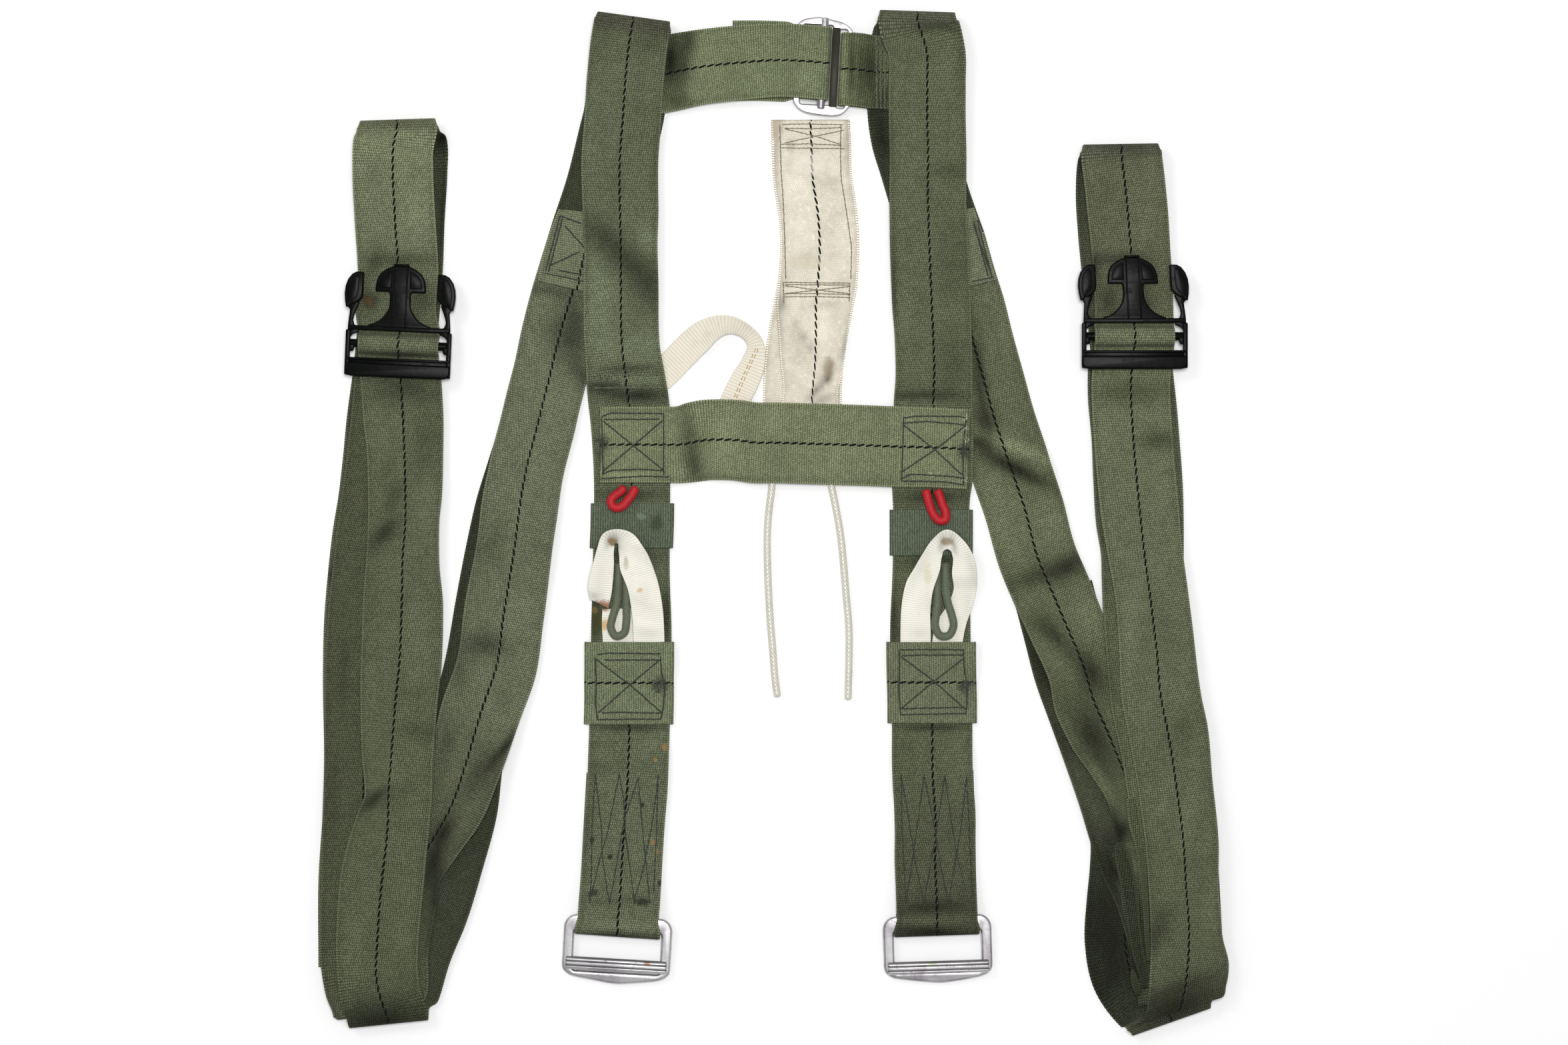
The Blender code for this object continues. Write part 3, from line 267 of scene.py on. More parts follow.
def webbing(name, spots=(), tracer=True, contrast=0.8, pitch=(1.01, 1.24), lean=(0.25, -0.21),
            shape=(2.1, 1.8)):
    """Woven nylon webbing in the tone that the mesh carries, with the creases' painted shade and light:
    floats in columns that lean away from the middle on both sides, beads along the edges, painted shade near
    the long edges, and a tracer of dark slanted dashes down the middle. pitch is the distance of the columns
    and of the rows, lean that of the left and of the right half, and shape how much narrower than its cell a
    float is."""
    g = Graph(name, 0.9, Specular_IOR_Level=0.1, Sheen_Weight=0.04, Sheen_Roughness=0.5)
    across, along, inward = g.weave()
    tone = g.tone()
    drift = g.times(g.less(g.noise(25.0, 0.0), 0.5), 1.2)
    leaning = g.times_plus(g.step(across, -0.05, 0.05), lean[1] - lean[0], lean[0])
    column_at = g.over(g.less(g.plus(across, drift), g.times(along, leaning)), pitch[0])
    row_at = g.over(g.plus(along, drift), pitch[1])
    column = g.math("FLOOR", column_at)
    row = g.math("FLOOR", row_at)
    cell = g.node("ShaderNodeCombineXYZ", {0: column, 1: row, 2: 0.0}).outputs[0]
    chance = g.node("ShaderNodeTexWhiteNoise", {"Vector": cell}, noise_dimensions="3D")
    chances = g.split(chance.outputs["Color"])
    middle, loose = 0.62, 0.24
    in_column = g.times_plus(chances[0], loose, g.less(column_at, g.plus(column, middle)))
    in_row = g.times_plus(chances[1], loose, g.less(row_at, g.plus(row, middle)))
    from_middle = g.math("SQRT", g.plus(g.math("POWER", g.times(in_column, shape[0]), 2.0),
                                        g.math("POWER", g.times(in_row, shape[1]), 2.0)))
    floats = g.step(from_middle, 1.1, 0.2)

    dark = g.scaled(tone, 1 - 0.64 * contrast)
    light = g.scaled(tone, 1 + 1.15 * contrast)
    colour = g.mix(g.times(floats, g.times_plus(chances[2], 0.6, 0.6)), dark, light)
    cloudy = g.step(g.noise(140.0, 3.0, 0.6), 0.35, 0.68)
    colour = g.toned(g.scaled(colour, 1.08), g.scaled(colour, 0.7), cloudy, 0.36)
    worn = g.noise(420.0, 3.0, 0.7)
    colour = g.toned(colour, g.scaled(tone, 1.8), g.step(worn, 0.52, 0.75), 0.28)
    grime = g.step(g.noise(60.0, 5.0, 0.65, distortion=0.6), 0.52, 0.74)
    colour = g.toned(colour, g.scaled(tone, 0.5), grime, 0.22)
    # Painted shade near the long edges, for a rounder look.
    colour = g.toned(colour, g.scaled(colour, 0.05), g.step(inward, 4.8, 0.8), 0.16)

    bead = g.step(g.size(g.phase(row_at)), 0.42, 0.15)
    beaded = g.mix(bead, g.scaled(tone, 0.4), g.scaled(tone, 2.1))
    colour = g.toned(colour, beaded, g.step(inward, 1.15, 0.75), 0.85)
    height = g.times_plus(floats, 0.8, g.times(worn, 0.25))
    if tracer:
        phase = g.phase(g.over(along, 4.55))
        aside = g.over(g.times_plus(phase, -1.0, across), 0.56)
        reach = g.plus(g.math("POWER", g.size(aside), 2.5), g.math("POWER", g.size(g.over(phase, 0.46)), 2.5))
        colour = g.mix(g.step(reach, 1.25, 0.75), colour, TRACER)
        height = g.less(height, g.times(g.step(g.size(across), 1.1, 0.4), 0.5))
    colour = g.stains(colour, spots)
    g.bump(height, 0.00022)
    return g.finish(colour)


# ---------------------------------------------------------------- woven straps

def half_turn(x, y, z_from, z_to, outward, half=WIDE, flare=0):
    """Sections of a fold that starts at z_from and comes back at z_to. x, y is the fold's outermost line
    in the plan, outward the direction in degrees in which the fold bulges, and flare how much wider it is
    at its two ends."""
    radius = abs(z_to - z_from) / 2
    turn = math.radians(outward)
    reach = radius + WEBBING / 2
    centre_x = x - reach * math.cos(turn)
    centre_y = y - reach * math.sin(turn)
    side = outward + 90 if outward < 0 else outward - 90
    sections = []
    for k in range(ARC_STEPS + 1):
        angle = math.pi * k / ARC_STEPS
        away = radius * math.sin(angle)
        height = (z_from + z_to) / 2 - (z_to - z_from) / 2 * math.cos(angle)
        wide = half + flare * (1 - math.sin(angle)) ** 2
        sections.append((centre_x + away * math.cos(turn), centre_y + away * math.sin(turn), height,
                         wide, wide, 0, 0, side))
    return sections


def unit(vectors):
    return vectors / np.maximum(np.linalg.norm(vectors, axis=-1, keepdims=True), 1e-9)


def lengths(points):
    """Length of a line from its start to each of its points."""
    return np.concatenate(([0], np.cumsum(np.linalg.norm(np.diff(points, axis=0), axis=1))))


def resampled(rows, length, step, fewest):
    """Rows at even steps of length close to the given one, and their distances from the start."""
    wanted = np.linspace(0, length[-1], max(fewest, round(length[-1] / step)) + 1)
    return np.stack([np.interp(wanted, length, column) for column in rows.T], axis=1), wanted


def ring_quads(rows, size):
    """Faces between rows of a tube whose rows have size points each."""
    start, point = np.arange(rows - 1)[:, None] * size, np.arange(size)[None, :]
    first, following = (start + point).ravel(), (start + (point + 1) % size).ravel()
    return np.stack((first, following, following + size, first + size), axis=1)


def side_angles(sections, first_side):
    """The edge-to-edge direction of each section, square to the strap where a row does not give it."""
    angles = []
    last = first_side
    for i, section in enumerate(sections):
        angle = section.side
        if angle is None:
            ahead = sections[min(i + 1, len(sections) - 1)]
            behind = sections[max(i - 1, 0)]
            angle = math.degrees(math.atan2(ahead.y - behind.y, ahead.x - behind.x)) - 90
        while angle - last > 90:
            angle -= 180
        while angle - last < -90:
            angle += 180
        angles.append(angle)
        last = angle
    return angles


def slopes(distance, values, even):
    """Slopes of a curve through values. With even they never overshoot a level or a step."""
    span = np.diff(distance)[:, None]
    rise = np.diff(values, axis=0) / span
    result = np.empty_like(values)
    result[0], result[-1] = rise[0], rise[-1]
    before, after = rise[:-1], rise[1:]
    wide, next_wide = span[:-1], span[1:]
    if even:
        weight_a, weight_b = 2 * next_wide + wide, next_wide + 2 * wide
        with np.errstate(divide="ignore", invalid="ignore"):
            inner = (weight_a + weight_b) / (weight_a / before + weight_b / after)
        result[1:-1] = np.where(before * after > 0, inner, 0.0)
    else:
        result[1:-1] = (before * next_wide + after * wide) / (wide + next_wide)
    return result


def hermite(distance, values, tangents, at):
    k = np.clip(np.searchsorted(distance, at, side="right") - 1, 0, len(distance) - 2)
    span = (distance[k + 1] - distance[k])[:, None]
    t = ((at - distance[k])[:, None]) / span
    return ((2 * t ** 3 - 3 * t ** 2 + 1) * values[k] + (t ** 3 - 2 * t ** 2 + t) * span * tangents[k]
            + (3 * t ** 2 - 2 * t ** 3) * values[k + 1] + (t ** 3 - t ** 2) * span * tangents[k + 1])


def dense(rows, step):
    """Rows at even steps of length along the smooth curve through the given ones, and their distances."""
    rows = np.array(rows, float)
    keep = np.ones(len(rows), bool)
    keep[1:] = np.linalg.norm(np.diff(rows[:, :3], axis=0), axis=1) > 0.05
    rows = rows[keep]
    distance = lengths(rows[:, :3])
    plan, rest = rows[:, :2], rows[:, 2:]

    def at(where):
        return np.hstack((hermite(distance, plan, slopes(distance, plan, False), where),
                          hermite(distance, rest, slopes(distance, rest, True), where)))

    fine = at(np.linspace(0, distance[-1], int(distance[-1] / FINE_STEP) + 2))
    return resampled(fine, lengths(fine[:, :3]), step, 2)


def sway(x, y):
    """Shared gentle unevenness of the stacked layers, -1 to 1."""
    slow_x, slow_y = np.sin(x * 0.047), np.sin(y * 0.021 + 1.0)
    return (0.5 * np.sin(x * 0.11 + 1.3 * slow_y) * np.sin(y * 0.063 + 0.7 * slow_x)
            + 0.3 * np.sin(x * 0.05 + y * 0.094 + 2.0) + 0.2 * np.sin(y * 0.19 - x * 0.08 + 0.5))


def folded(grid, shade, creases):
    """Raises or lowers a grid of points along creases and paints shade and light into the shade grid. Each of
    creases is the lowest and the highest z that it acts on and its rows (x, y, direction in degrees, half
    length, width, height, shade). A shade below 1 is painted shade, one above 1 painted light."""
    x, y, z = grid[..., 0], grid[..., 1], grid[..., 2].copy()
    rows = [(*row, low, high) for low, high, listed in creases for row in listed]
    for cx, cy, angle, length, width, height, tint, low, high in rows:
        turn = math.radians(angle)
        along = (x - cx) * math.cos(turn) + (y - cy) * math.sin(turn)
        over = -(x - cx) * math.sin(turn) + (y - cy) * math.cos(turn)
        inside = (z > low) & (z < high)
        share = np.clip(1 - np.abs(along) / length, 0, 1)
        share = share * share * (3 - 2 * share)
        share = np.where(inside, share * np.exp(-(over / width) ** 2), 0)
        grid[..., 2] += height * share
        # tint below 1 paints shade along the crease, above 1 paints light
        shade *= 1 + (tint - 1) * share


def columns_across(half):
    """Positions across a strap from -1 to 1, close together at its rounded edges."""
    from_edge = [0, 0.12, 0.35, 0.75, 1.6, 3.6, 6.6, 10.2, 14.2, 18.2]
    steps = [d for d in from_edge if d < half * 0.9]
    left = [-1 + d / half for d in steps]
    return np.array(left + [0.0] + [-u for u in reversed(left)])


def closed_sheet(name, middle, thickness, weave, tones, edge_gap, bumps=0.0):
    """A closed sheet with rounded long edges around a grid of middle points, rows along and columns over.
    edge_gap is each column's distance from the nearer long edge, and bumps the height of the woven edge's
    bumps."""
    along = np.gradient(middle, axis=0)
    over = np.gradient(middle, axis=1)
    normal = unit(np.cross(over, along))
    corner = min(0.75, thickness * 0.6)
    inner = np.clip(1 - edge_gap / corner, 0, 1)
    half = thickness / 2 * np.sqrt(np.maximum(1 - inner ** 2, 0))
    rows, columns = middle.shape[:2]
    weave[..., 2] = edge_gap
    if bumps:
        sign = np.sign(np.linspace(-1, 1, columns))[None, :, None]
        swell = np.where(np.arange(rows) % 2 == 0, bumps, -bumps)[:, None, None]
        middle = middle + unit(over) * sign * swell * inner[None, :, None]
    upper = middle + normal * half[None, :, None]
    lower = middle - normal * half[None, :, None]
    lower[..., 2] = np.maximum(lower[..., 2], 0.0)
    upper[..., 2] = np.maximum(upper[..., 2], 0.02)
    ring = np.concatenate((upper, lower[:, -2:0:-1]), axis=1)
    woven = np.concatenate((weave, weave[:, -2:0:-1]), axis=1)
    tinted = np.concatenate((tones, tones[:, -2:0:-1]), axis=1)
    size = ring.shape[1]
    caps = []
    for k in range(columns - 1):
        face = [k, (size - k) % size, size - k - 1, k + 1]
        face = [v for n, v in enumerate(face) if v != face[n - 1]]
        caps.append(face)
        caps.append([v + (rows - 1) * size for v in reversed(face)])
    return grid_mesh(name, ring.reshape(-1, 3), ring_quads(rows, size), caps,
                     {"weave": woven.reshape(-1, 3), "tone": tinted.reshape(-1, 3)})


def grid_mesh(name, points, quads, others, attributes):
    """A smooth mesh from arrays in millimetres, with its weave coordinates and tones as attributes."""
    mesh = bpy.data.meshes.new(name)
    placed = points * MM
    placed[:, 0] += CENTRE_X * MM
    loops = list(quads.ravel()) + [v for face in others for v in face]
    totals = [4] * len(quads) + [len(face) for face in others]
    starts = np.concatenate(([0], np.cumsum(totals)[:-1]))
    mesh.vertices.add(len(placed))
    mesh.vertices.foreach_set("co", placed.astype(np.float32).ravel())
    mesh.loops.add(len(loops))
    mesh.loops.foreach_set("vertex_index", np.array(loops, np.int32))
    mesh.polygons.add(len(totals))
    mesh.polygons.foreach_set("loop_start", starts.astype(np.int32))
    mesh.polygons.foreach_set("loop_total", np.array(totals, np.int32))
    mesh.polygons.foreach_set("use_smooth", np.ones(len(totals), bool))
    mesh.update(calc_edges=True)
    mesh.validate()
    for key, values in attributes.items():
        attribute = mesh.attributes.new(key, "FLOAT_VECTOR", "POINT")
        attribute.data.foreach_set("vector", values.astype(np.float32).ravel())
    return mesh


def add_piece(name, mesh, surface, nodes=(), body="root"):
    """A piece of the scene that rides on a body and, where they are given, replaces CAD nodes."""
    made = bpy.data.objects.new(name, mesh)
    bpy.context.scene.collection.objects.link(made)
    mesh.materials.append(surface)
    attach(made, body)
    if nodes:
        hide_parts(*nodes)
    return made


def ribbon(name, legs, half, thickness=WEBBING, first_side=0, creases=(), sway_height=0.22,
           step=ROW_STEP, bumps=0.07, ribs=None, shift=0.0):
    """The mesh of a strap and its length in millimetres. Each leg is its sections and its tone, or its tones
    where it starts and where it ends. ribs is the pitch and the depth of ribs across it, and shift moves the
    weave sideways."""
    sections = [Section(*section) for leg in legs for section in leg[0]]
    tones = [tone for leg in legs for tone in np.linspace(leg[1][:3], leg[-1][:3], len(leg[0]))]
    angles = side_angles(sections, first_side)
    rows = [[*section[:7], angle, *tone] for section, angle, tone in zip(sections, angles, tones)]
    rows, distance = dense(rows, step)
    u = columns_across(half)
    turn = np.radians(rows[:, 7])
    reach = np.where(u[None, :] < 0, rows[:, 3:4], rows[:, 4:5])
    rise = np.where(u[None, :] < 0, rows[:, 5:6], rows[:, 6:7])
    middle = np.empty((len(rows), len(u), 3))
    middle[..., 0] = rows[:, 0:1] + np.cos(turn)[:, None] * reach * u
    middle[..., 1] = rows[:, 1:2] + np.sin(turn)[:, None] * reach * u
    middle[..., 2] = rows[:, 2:3] + rise * u ** 2
    lift = np.clip((middle[..., 2] - thickness / 2) / 2.0, 0, 1)
    middle[..., 2] += sway_height * lift * sway(middle[..., 0], middle[..., 1])
    # Painted shade and painted light of the creases, multiplied into the tones below.
    shade = np.ones(middle.shape[:2])
    folded(middle, shade, creases)
    middle[..., 2] = np.maximum(middle[..., 2], thickness / 2)
    if ribs:
        pitch, depth = ribs
        wave = np.cos(distance[:, None] * 2 * math.pi / pitch)
        middle[..., 2] += depth * wave * (1 - np.abs(u[None, :]) ** 6)
    weave = np.zeros_like(middle)
    weave[..., 0] = u[None, :] * half + shift
    weave[..., 1] = distance[:, None]
    edge_gap = (1 - np.abs(u)) * half
    tones = rows[:, None, 8:11] * shade[..., None]
    return closed_sheet(name, middle, thickness, weave, tones, edge_gap, bumps), distance[-1]


def joined(mesh, others):
    """Adds other meshes to a mesh."""
    made = bmesh.new()
    for part in (mesh, *others):
        made.from_mesh(part)
    made.to_mesh(mesh)
    made.free()


def strap(name, legs, surface, slot, node, held="folded", rests_on=(), half=WIDE, turns=(), **shape):
    """A strap as a piece. turns are meshes of its narrow turns that show between other layers."""
    mesh, length = ribbon(name, legs, half, **shape)
    if turns:
        joined(mesh, turns)
    made = add_piece(name, mesh, surface, (node,))


# ---------------------------------------------------------------- routes
# Rows are x, y, z and, where they differ from the defaults of Section, the half widths to the left and to
# the right, how much higher each edge lies, and the edge-to-edge direction in degrees.

LEFT_UPRIGHT = (
    (-84.5, -216, 6.5), (-83.8, -209, 5.9), (-83.2, -199, 3.9), (-82.5, -186, 2.8), (-81, -162.5, 2.65),
    (-79.5, -144, 2.65), (-79, -131, 2.65), (-78.5, -113, FLOOR), (-77.5, -64, FLOOR),
    (-77.5, -24, FLOOR, 21, 21), (-77, 16, FLOOR, 20.8, 20.8), (-77.5, 52.5, FLOOR), (-79, 67, 1.7),
    (-80.5, 79, 2.7, 21.5, 21.5), (-82.5, 98, 3.2, 20.5, 20.5), (-83, 128, 4.55, 20.5, 20.5),
    (-83, 150, 5, 20, 20, -0.6, 0.5), (-83.5, 172, 4.55, 20.5, 21), (-83.5, 200.5, 4.2, 21, 21),
    (-82, 219, 4.7, 21, 21), (-80.5, 241.5, 5.4, 21, 21), (-78, 263.5, 7.4, 21, 21),
)

LEFT_BACK = (
    (-77.5, 263.5, FLOOR, 21, 21), (-79.5, 241.5, FLOOR), (-81.5, 223, FLOOR), (-84.5, 210.5, FLOOR),
    (-91.5, 182.5, FLOOR), (-100, 156.5, FLOOR), (-102.1, 149.75, FLOOR, WIDE, WIDE, 0, 0, -17.2),
)

LEFT_DIAGONAL = (
    (-102.22, 149.35, FLOOR, WIDE, WIDE, 0, 0, -17.2), (-108.5, 129, FLOOR), (-117, 101, FLOOR, 21, 21),
    (-121.5, 82, FLOOR, 20.5, 20.3), (-125.5, 66, 2.2, 20.5, 20.3), (-128.5, 53.5, 2.65, 20.5, 20.5),
    (-134.5, 30, 2.65, 20.5, 20.5), (-138.5, 7, 3.2, 21, 21), (-140.5, -10, 3.4, 21, 20.5, 0, 1),
    (-147, -50, 2.65, 22, 22), (-151, -78.5, 2.8, 22, 22), (-159, -102.5, 3.6, 22, 21.5, 0, 1),
    (-167.5, -131.5, 4.6, 21, 20, -1, 3), (-175.5, -155, 6.2, 20, 18.5, -2.6, 5),
    (-186, -174, 6.3, 20, 16, -2.2, 4), (-195, -190, 5.2, 20, 15, -0.8, 0.6),
    (-200.5, -208, 4.6, 21, 17, 0, 0.4), (-205.5, -231, 4.55, 22, 18), (-210, -252, 4.55, 22, 22),
)

LEFT_TAIL = (
    (-222.5, -252, 6.45), (-224.5, -240, 6.45), (-225, -224, 6.45), (-224.5, -200, 6.4), (-224, -175, 6.4),
    (-223.5, -158, 5.9), (-223, -132, 3.8), (-223, -106, 2.65), (-222.5, -78.5, 2.65),
    (-221.5, -56.5, 2.65), (-219, -31, 2.65), (-216, -5, 2.65), (-211.5, 30, 2.65), (-207.5, 67, 2.65),
    (-206, 84.5, 2.65),
)

LEFT_LEG_UNDER = (
    (-128, 59, FLOOR, 18.5, 14), (-135.5, 28, FLOOR, 21, 17), (-141.5, 4.5, FLOOR, 22, 19.5),
    (-146.5, -18.5, FLOOR, 22, 21), (-152, -47.5, FLOOR), (-157.5, -78.5, FLOOR), (-163, -100.5, FLOOR),
    (-168.5, -124, FLOOR), (-173, -158.5, 1.1), (-179.5, -182.5, 2.5), (-188, -210.5, 2.65),
    (-197.5, -234, 2.65), (-203, -252.5, 2.65),
)

LEFT_LEG_FRONT = (
    (-213, -261, 8.5), (-216, -248, 8.6, 21, 23), (-215.5, -231, 8.8, 22.5, 22.5),
    (-213, -196.5, 9, 23, 23), (-211, -180, 9.4, 21.5, 22.5), (-209.5, -160, 9.2, 17, 23, 2.5, 0),
    (-209.5, -148, 8.4, 12.5, 24, 3.5, 0), (-208, -126.5, 6.9, 16, 23, 2.2, 0),
    (-206, -99, 5.4, 19, 23, 1, 0), (-204, -78.5, 4.8, 21, 23), (-202.5, -46, 4.55, 21.5, 22.5),
    (-202, -20.5, 4.8, 20, 20, 0, 1), (-200.5, 0, 5, 20.5, 18.5, 0, 1.2),
    (-200.5, 15.5, 4.8, 20.5, 20, 0, 0.6), (-201, 35.5, 4.55, 20.5, 21), (-202, 61, 4.55, 22, 22),
    (-203, 77, 4.55),
)

LEFT_LOOP_FRONT = (
    (-204.5, 108, 4.55), (-204.5, 138, 4.6), (-206, 165.5, 6.2), (-207, 192.5, 8.2), (-206.5, 206, 9.6),
)

LEFT_LOOP_BACK = (
    (-200, 206, 1.6), (-200, 192.5, FLOOR), (-201.5, 165.5, FLOOR), (-202.5, 138, FLOOR),
    (-205, 107, FLOOR), (-208, 78.5, FLOOR), (-211, 56, FLOOR), (-213.5, 30.5, FLOOR), (-216, 10, FLOOR),
    (-218.5, -5, FLOOR), (-221.5, -31, FLOOR), (-223.5, -56.5, FLOOR), (-224, -78.5, FLOOR),
    (-223.5, -148, FLOOR), (-226.5, -196.5, FLOOR), (-226.5, -243, FLOOR),
)

RIGHT_UPRIGHT = (
    (89.5, -216, 6.5), (89.3, -209, 5.9), (89, -199, 3.9), (88.5, -186, 2.8), (88.5, -157.5, 2.65),
    (87.5, -144, 2.65), (87, -131, 2.65), (87, -113, FLOOR), (86, -64, FLOOR),
    (86.5, -20.5, FLOOR, 21, 21), (86.5, 6, FLOOR, 20.8, 20.8), (86.5, 14, 1.3, 21.2, 21.2),
    (87, 24, 2.65), (87.5, 45, 2.65), (87.5, 65, 2.65, 21.5, 21.5), (88, 81.5, 2.65, 21, 21),
    (87.5, 101, 3, 21, 21), (86.5, 121, 4.2, 21.5, 21.5), (85.5, 146, 4.55, 21.5, 21.5),
    (84.5, 176, 4.3, 21, 21), (84.5, 201.5, 5.2, 21, 21), (84, 222, 6.5, 21, 21), (84, 239, 6.9, 21, 21),
    (83.5, 257.5, 8.2, 21, 21), (81, 266, 9, 21.5, 21.5),
)

RIGHT_BACK = (
    (76, 266, FLOOR, 21.5, 21.5), (74, 249, FLOOR), (73.5, 226, FLOOR), (75.5, 211, FLOOR),
    (80, 196, FLOOR), (87.5, 171.5, FLOOR), (94.44, 152.2, FLOOR, WIDE, WIDE, 0, 0, 17.8),
)

RIGHT_DIAGONAL = (
    (94.57, 151.8, FLOOR, WIDE, WIDE, 0, 0, 17.8), (100, 132.5, FLOOR), (105, 116.5, FLOOR),
    (109.5, 98.5, FLOOR), (115, 78.5, FLOOR), (122, 53.5, FLOOR), (127.5, 37, 1, 22, 22, -0.25, 0.4),
    (132, 23.5, 3.2, 22, 21.5, -2.3, 0.8), (137, 9, 2, 22, 21.5, -0.6, -0.4), (144.5, -19, 2, 21.5, 21.5),
    (152, -37, 2.65, 21.5, 21.5), (160.5, -57, 2.7, 21, 21, 0.8, 0), (169.5, -78.5, 2.7, 20.5, 21, 1.2, 0),
    (175, -97, 3.1, 22, 21), (182, -113, 4.3, 21.5, 20, 0.6, -0.1),
    (189, -130.5, 4.6, 17.5, 19.5, 0.9, -0.1), (196, -149, 4.5, 14, 20, 0.8, 0),
    (202.5, -169.5, 4.5, 15, 20, 0.3, 0), (207, -188, 4.55, 19, 21), (212.5, -210.5, 4.55, 21.5, 22),
    (217, -232, 4.55), (219.5, -248, 4.55),
)

RIGHT_TAIL = (
    (222, -244, 6.45), (222.5, -224, 6.45), (221.5, -200.5, 6.45), (219.5, -175, 6.5, 22, 22, 0.1, 0),
    (215.5, -149.5, 6.45, 22, 22, 0.15, 0), (211.5, -124, 6.4, 22, 22, 0.15, 0), (206.5, -100.5, 5.6),
    (203.5, -69.5, 4.9), (202, -45, 4.6), (201.5, -30, 3.6), (201, -15, 2.65), (198.5, 0.5, 2.65),
    (197, 23.5, 2.65), (196, 46.5, 2.65), (194, 70.5, 2.65), (194, 88, 2.65),
)

RIGHT_SECOND = (
    (153, -37, FLOOR), (159, -60, FLOOR), (164.5, -81, FLOOR), (171.5, -100.5, 1.1), (179.5, -122.5, 2.65),
    (188, -147, 2.65), (196.5, -174.5, 2.65), (200.5, -185.5, 2.65), (207.5, -200.5, 2.65),
    (213, -217, 2.65), (217.5, -235, 2.65), (219, -243, 2.65),
)

RIGHT_LEG_UNDER = (
    (183, -122, FLOOR), (190.5, -147, FLOOR), (195.5, -174.5, FLOOR), (195, -191.5, FLOOR),
    (193.5, -207, FLOOR), (192.5, -230, FLOOR), (196, -247, FLOOR), (205, -259.5, 0.8),
)

RIGHT_LEG_FRONT = (
    (220.4, -266, 8.6, 22, 25.4, 0, 0, 17), (223.2, -258, 8.6, 20, 24.3, 0, 0, 14),
    (225.5, -243, 8.7, 20.5, 22.8, 0, 0, 6), (226.5, -223, 8.8, 21, 18),
    (225, -200.5, 8.8, 20.5, 17.5, 0, 2), (223.5, -175, 8.8, 21, 19, 0, 1.5), (219.5, -143, 8.6, 21, 20),
    (214.5, -111.5, 8, 21.5, 22), (211.5, -97, 7.5, 21.5, 22), (209, -69.5, 6.9, 20.5, 21),
    (205.5, -40.5, 6.3, 19, 21), (202.5, -17, 5, 20, 21, 0.6, 0), (199.5, 12, 4.55, 21.5, 21.5),
    (196.5, 46.5, 4.55, 21.5, 21.5), (195.5, 81, 4.55, 21.5, 21.5),
)

RIGHT_LOOP_FRONT = (
    (197, 112.5, 4.55, 21.5, 21.5), (195.5, 145, 4.7, 21.5, 21.5), (193, 172.5, 6.4, 22, 22),
    (191, 190, 8, 22, 22), (190, 197, 9, 22, 22),
)

RIGHT_LOOP_BACK = (
    (188.5, 196, 1.4, 22, 22), (187.5, 180, FLOOR), (188.5, 161.5, FLOOR), (190.5, 140, FLOOR),
    (194, 110.5, FLOOR), (196.5, 83, FLOOR), (199, 59.5, FLOOR), (200.5, 41, FLOOR), (202, 19.5, FLOOR),
    (202.5, 0.5, FLOOR), (202.5, -20.5, FLOOR),
)


def buckle_wrap(x, y, half, turn=0.0):
    """Rows of the short hump of a strap over the middle bar of a buckle whose bar is at x, y."""
    hump = (
        (-7.4, 4.55), (-5.6, 5), (-4.4, 7.2), (-3.2, 9.6), (0, BAR_TOP), (3.2, 9.6), (4.4, 7.2),
        (5.4, 5.2), (6.4, 4.6), (8.6, 4.55),
    )
    lean = math.radians(turn)
    return [(x - dy * math.sin(lean), y + dy * math.cos(lean), z, half, half, 0, 0, turn) for dy, z in hump]


# Centrelines of the cords and cables: x, y, z.

LEFT_CABLE = (
    (-1.5, 47, 2), (-0.5, 30.5, 2), (-0.5, 20.5, 2), (-2, 8.5, 2), (-3, -4.5, 2), (-3, -22, 2),
    (-2.5, -35.5, 2), (-1.5, -53, 2), (0, -71, 2), (1, -84, 2), (2.5, -95.5, 2),
)
RIGHT_CABLE = (
    (30.5, 47, 2), (31.5, 30.5, 2), (32, 20, 2), (34, 10, 2), (37, -7.5, 2), (38.5, -22, 2), (40, -40, 2),
    (41.5, -57.5, 2), (41.5, -75.5, 2), (41, -97, 2),
)
LEFT_RED = (
    (-80.6, 19.7, 4.3), (-82.8, 17.2, 4.5), (-86.4, 14.6, 5), (-88.4, 11.8, 5.6), (-87.6, 9.2, 5.8),
    (-84.9, 8, 5.8), (-81.8, 9.2, 5.7), (-79, 12.4, 5.4), (-76.4, 16, 4.8), (-74.8, 19.7, 4.3),
)
RIGHT_RED = (
    (83.2, 18.2, 5), (85.2, 10.5, 5.3), (87.5, 4.5, 6), (90.5, 1.2, 6), (93.8, 1.6, 6), (94.2, 5, 6),
    (92.2, 10.5, 5.3), (89.6, 18.2, 5),
)
LEFT_GREEN = (
    (-84.3, -22, 4), (-84.4, -32, 4), (-84.6, -39, 4.1), (-85.3, -45, 5), (-87.4, -51.5, 5.4),
    (-88.4, -57.5, 5.4), (-85.5, -62, 5.4), (-81.4, -60.4, 5.4), (-80, -54.5, 5.4), (-79.9, -46.5, 5.1),
    (-79.9, -40, 4.2), (-79.8, -32, 4), (-79.6, -22, 4),
)
RIGHT_GREEN = (
    (89.2, -22, 4), (89.4, -31, 4), (89.6, -38.6, 4.2), (89.6, -45, 5.2), (88.8, -51, 5.4),
    (88.6, -57, 5.4), (91.4, -61.8, 5.4), (95.8, -61.6, 5.4), (98.4, -57, 5.4), (97.4, -50, 5.4),
    (95.6, -44.4, 5.4), (94.4, -38.6, 4.8), (94.1, -31, 4.1), (93.9, -22, 4),
)
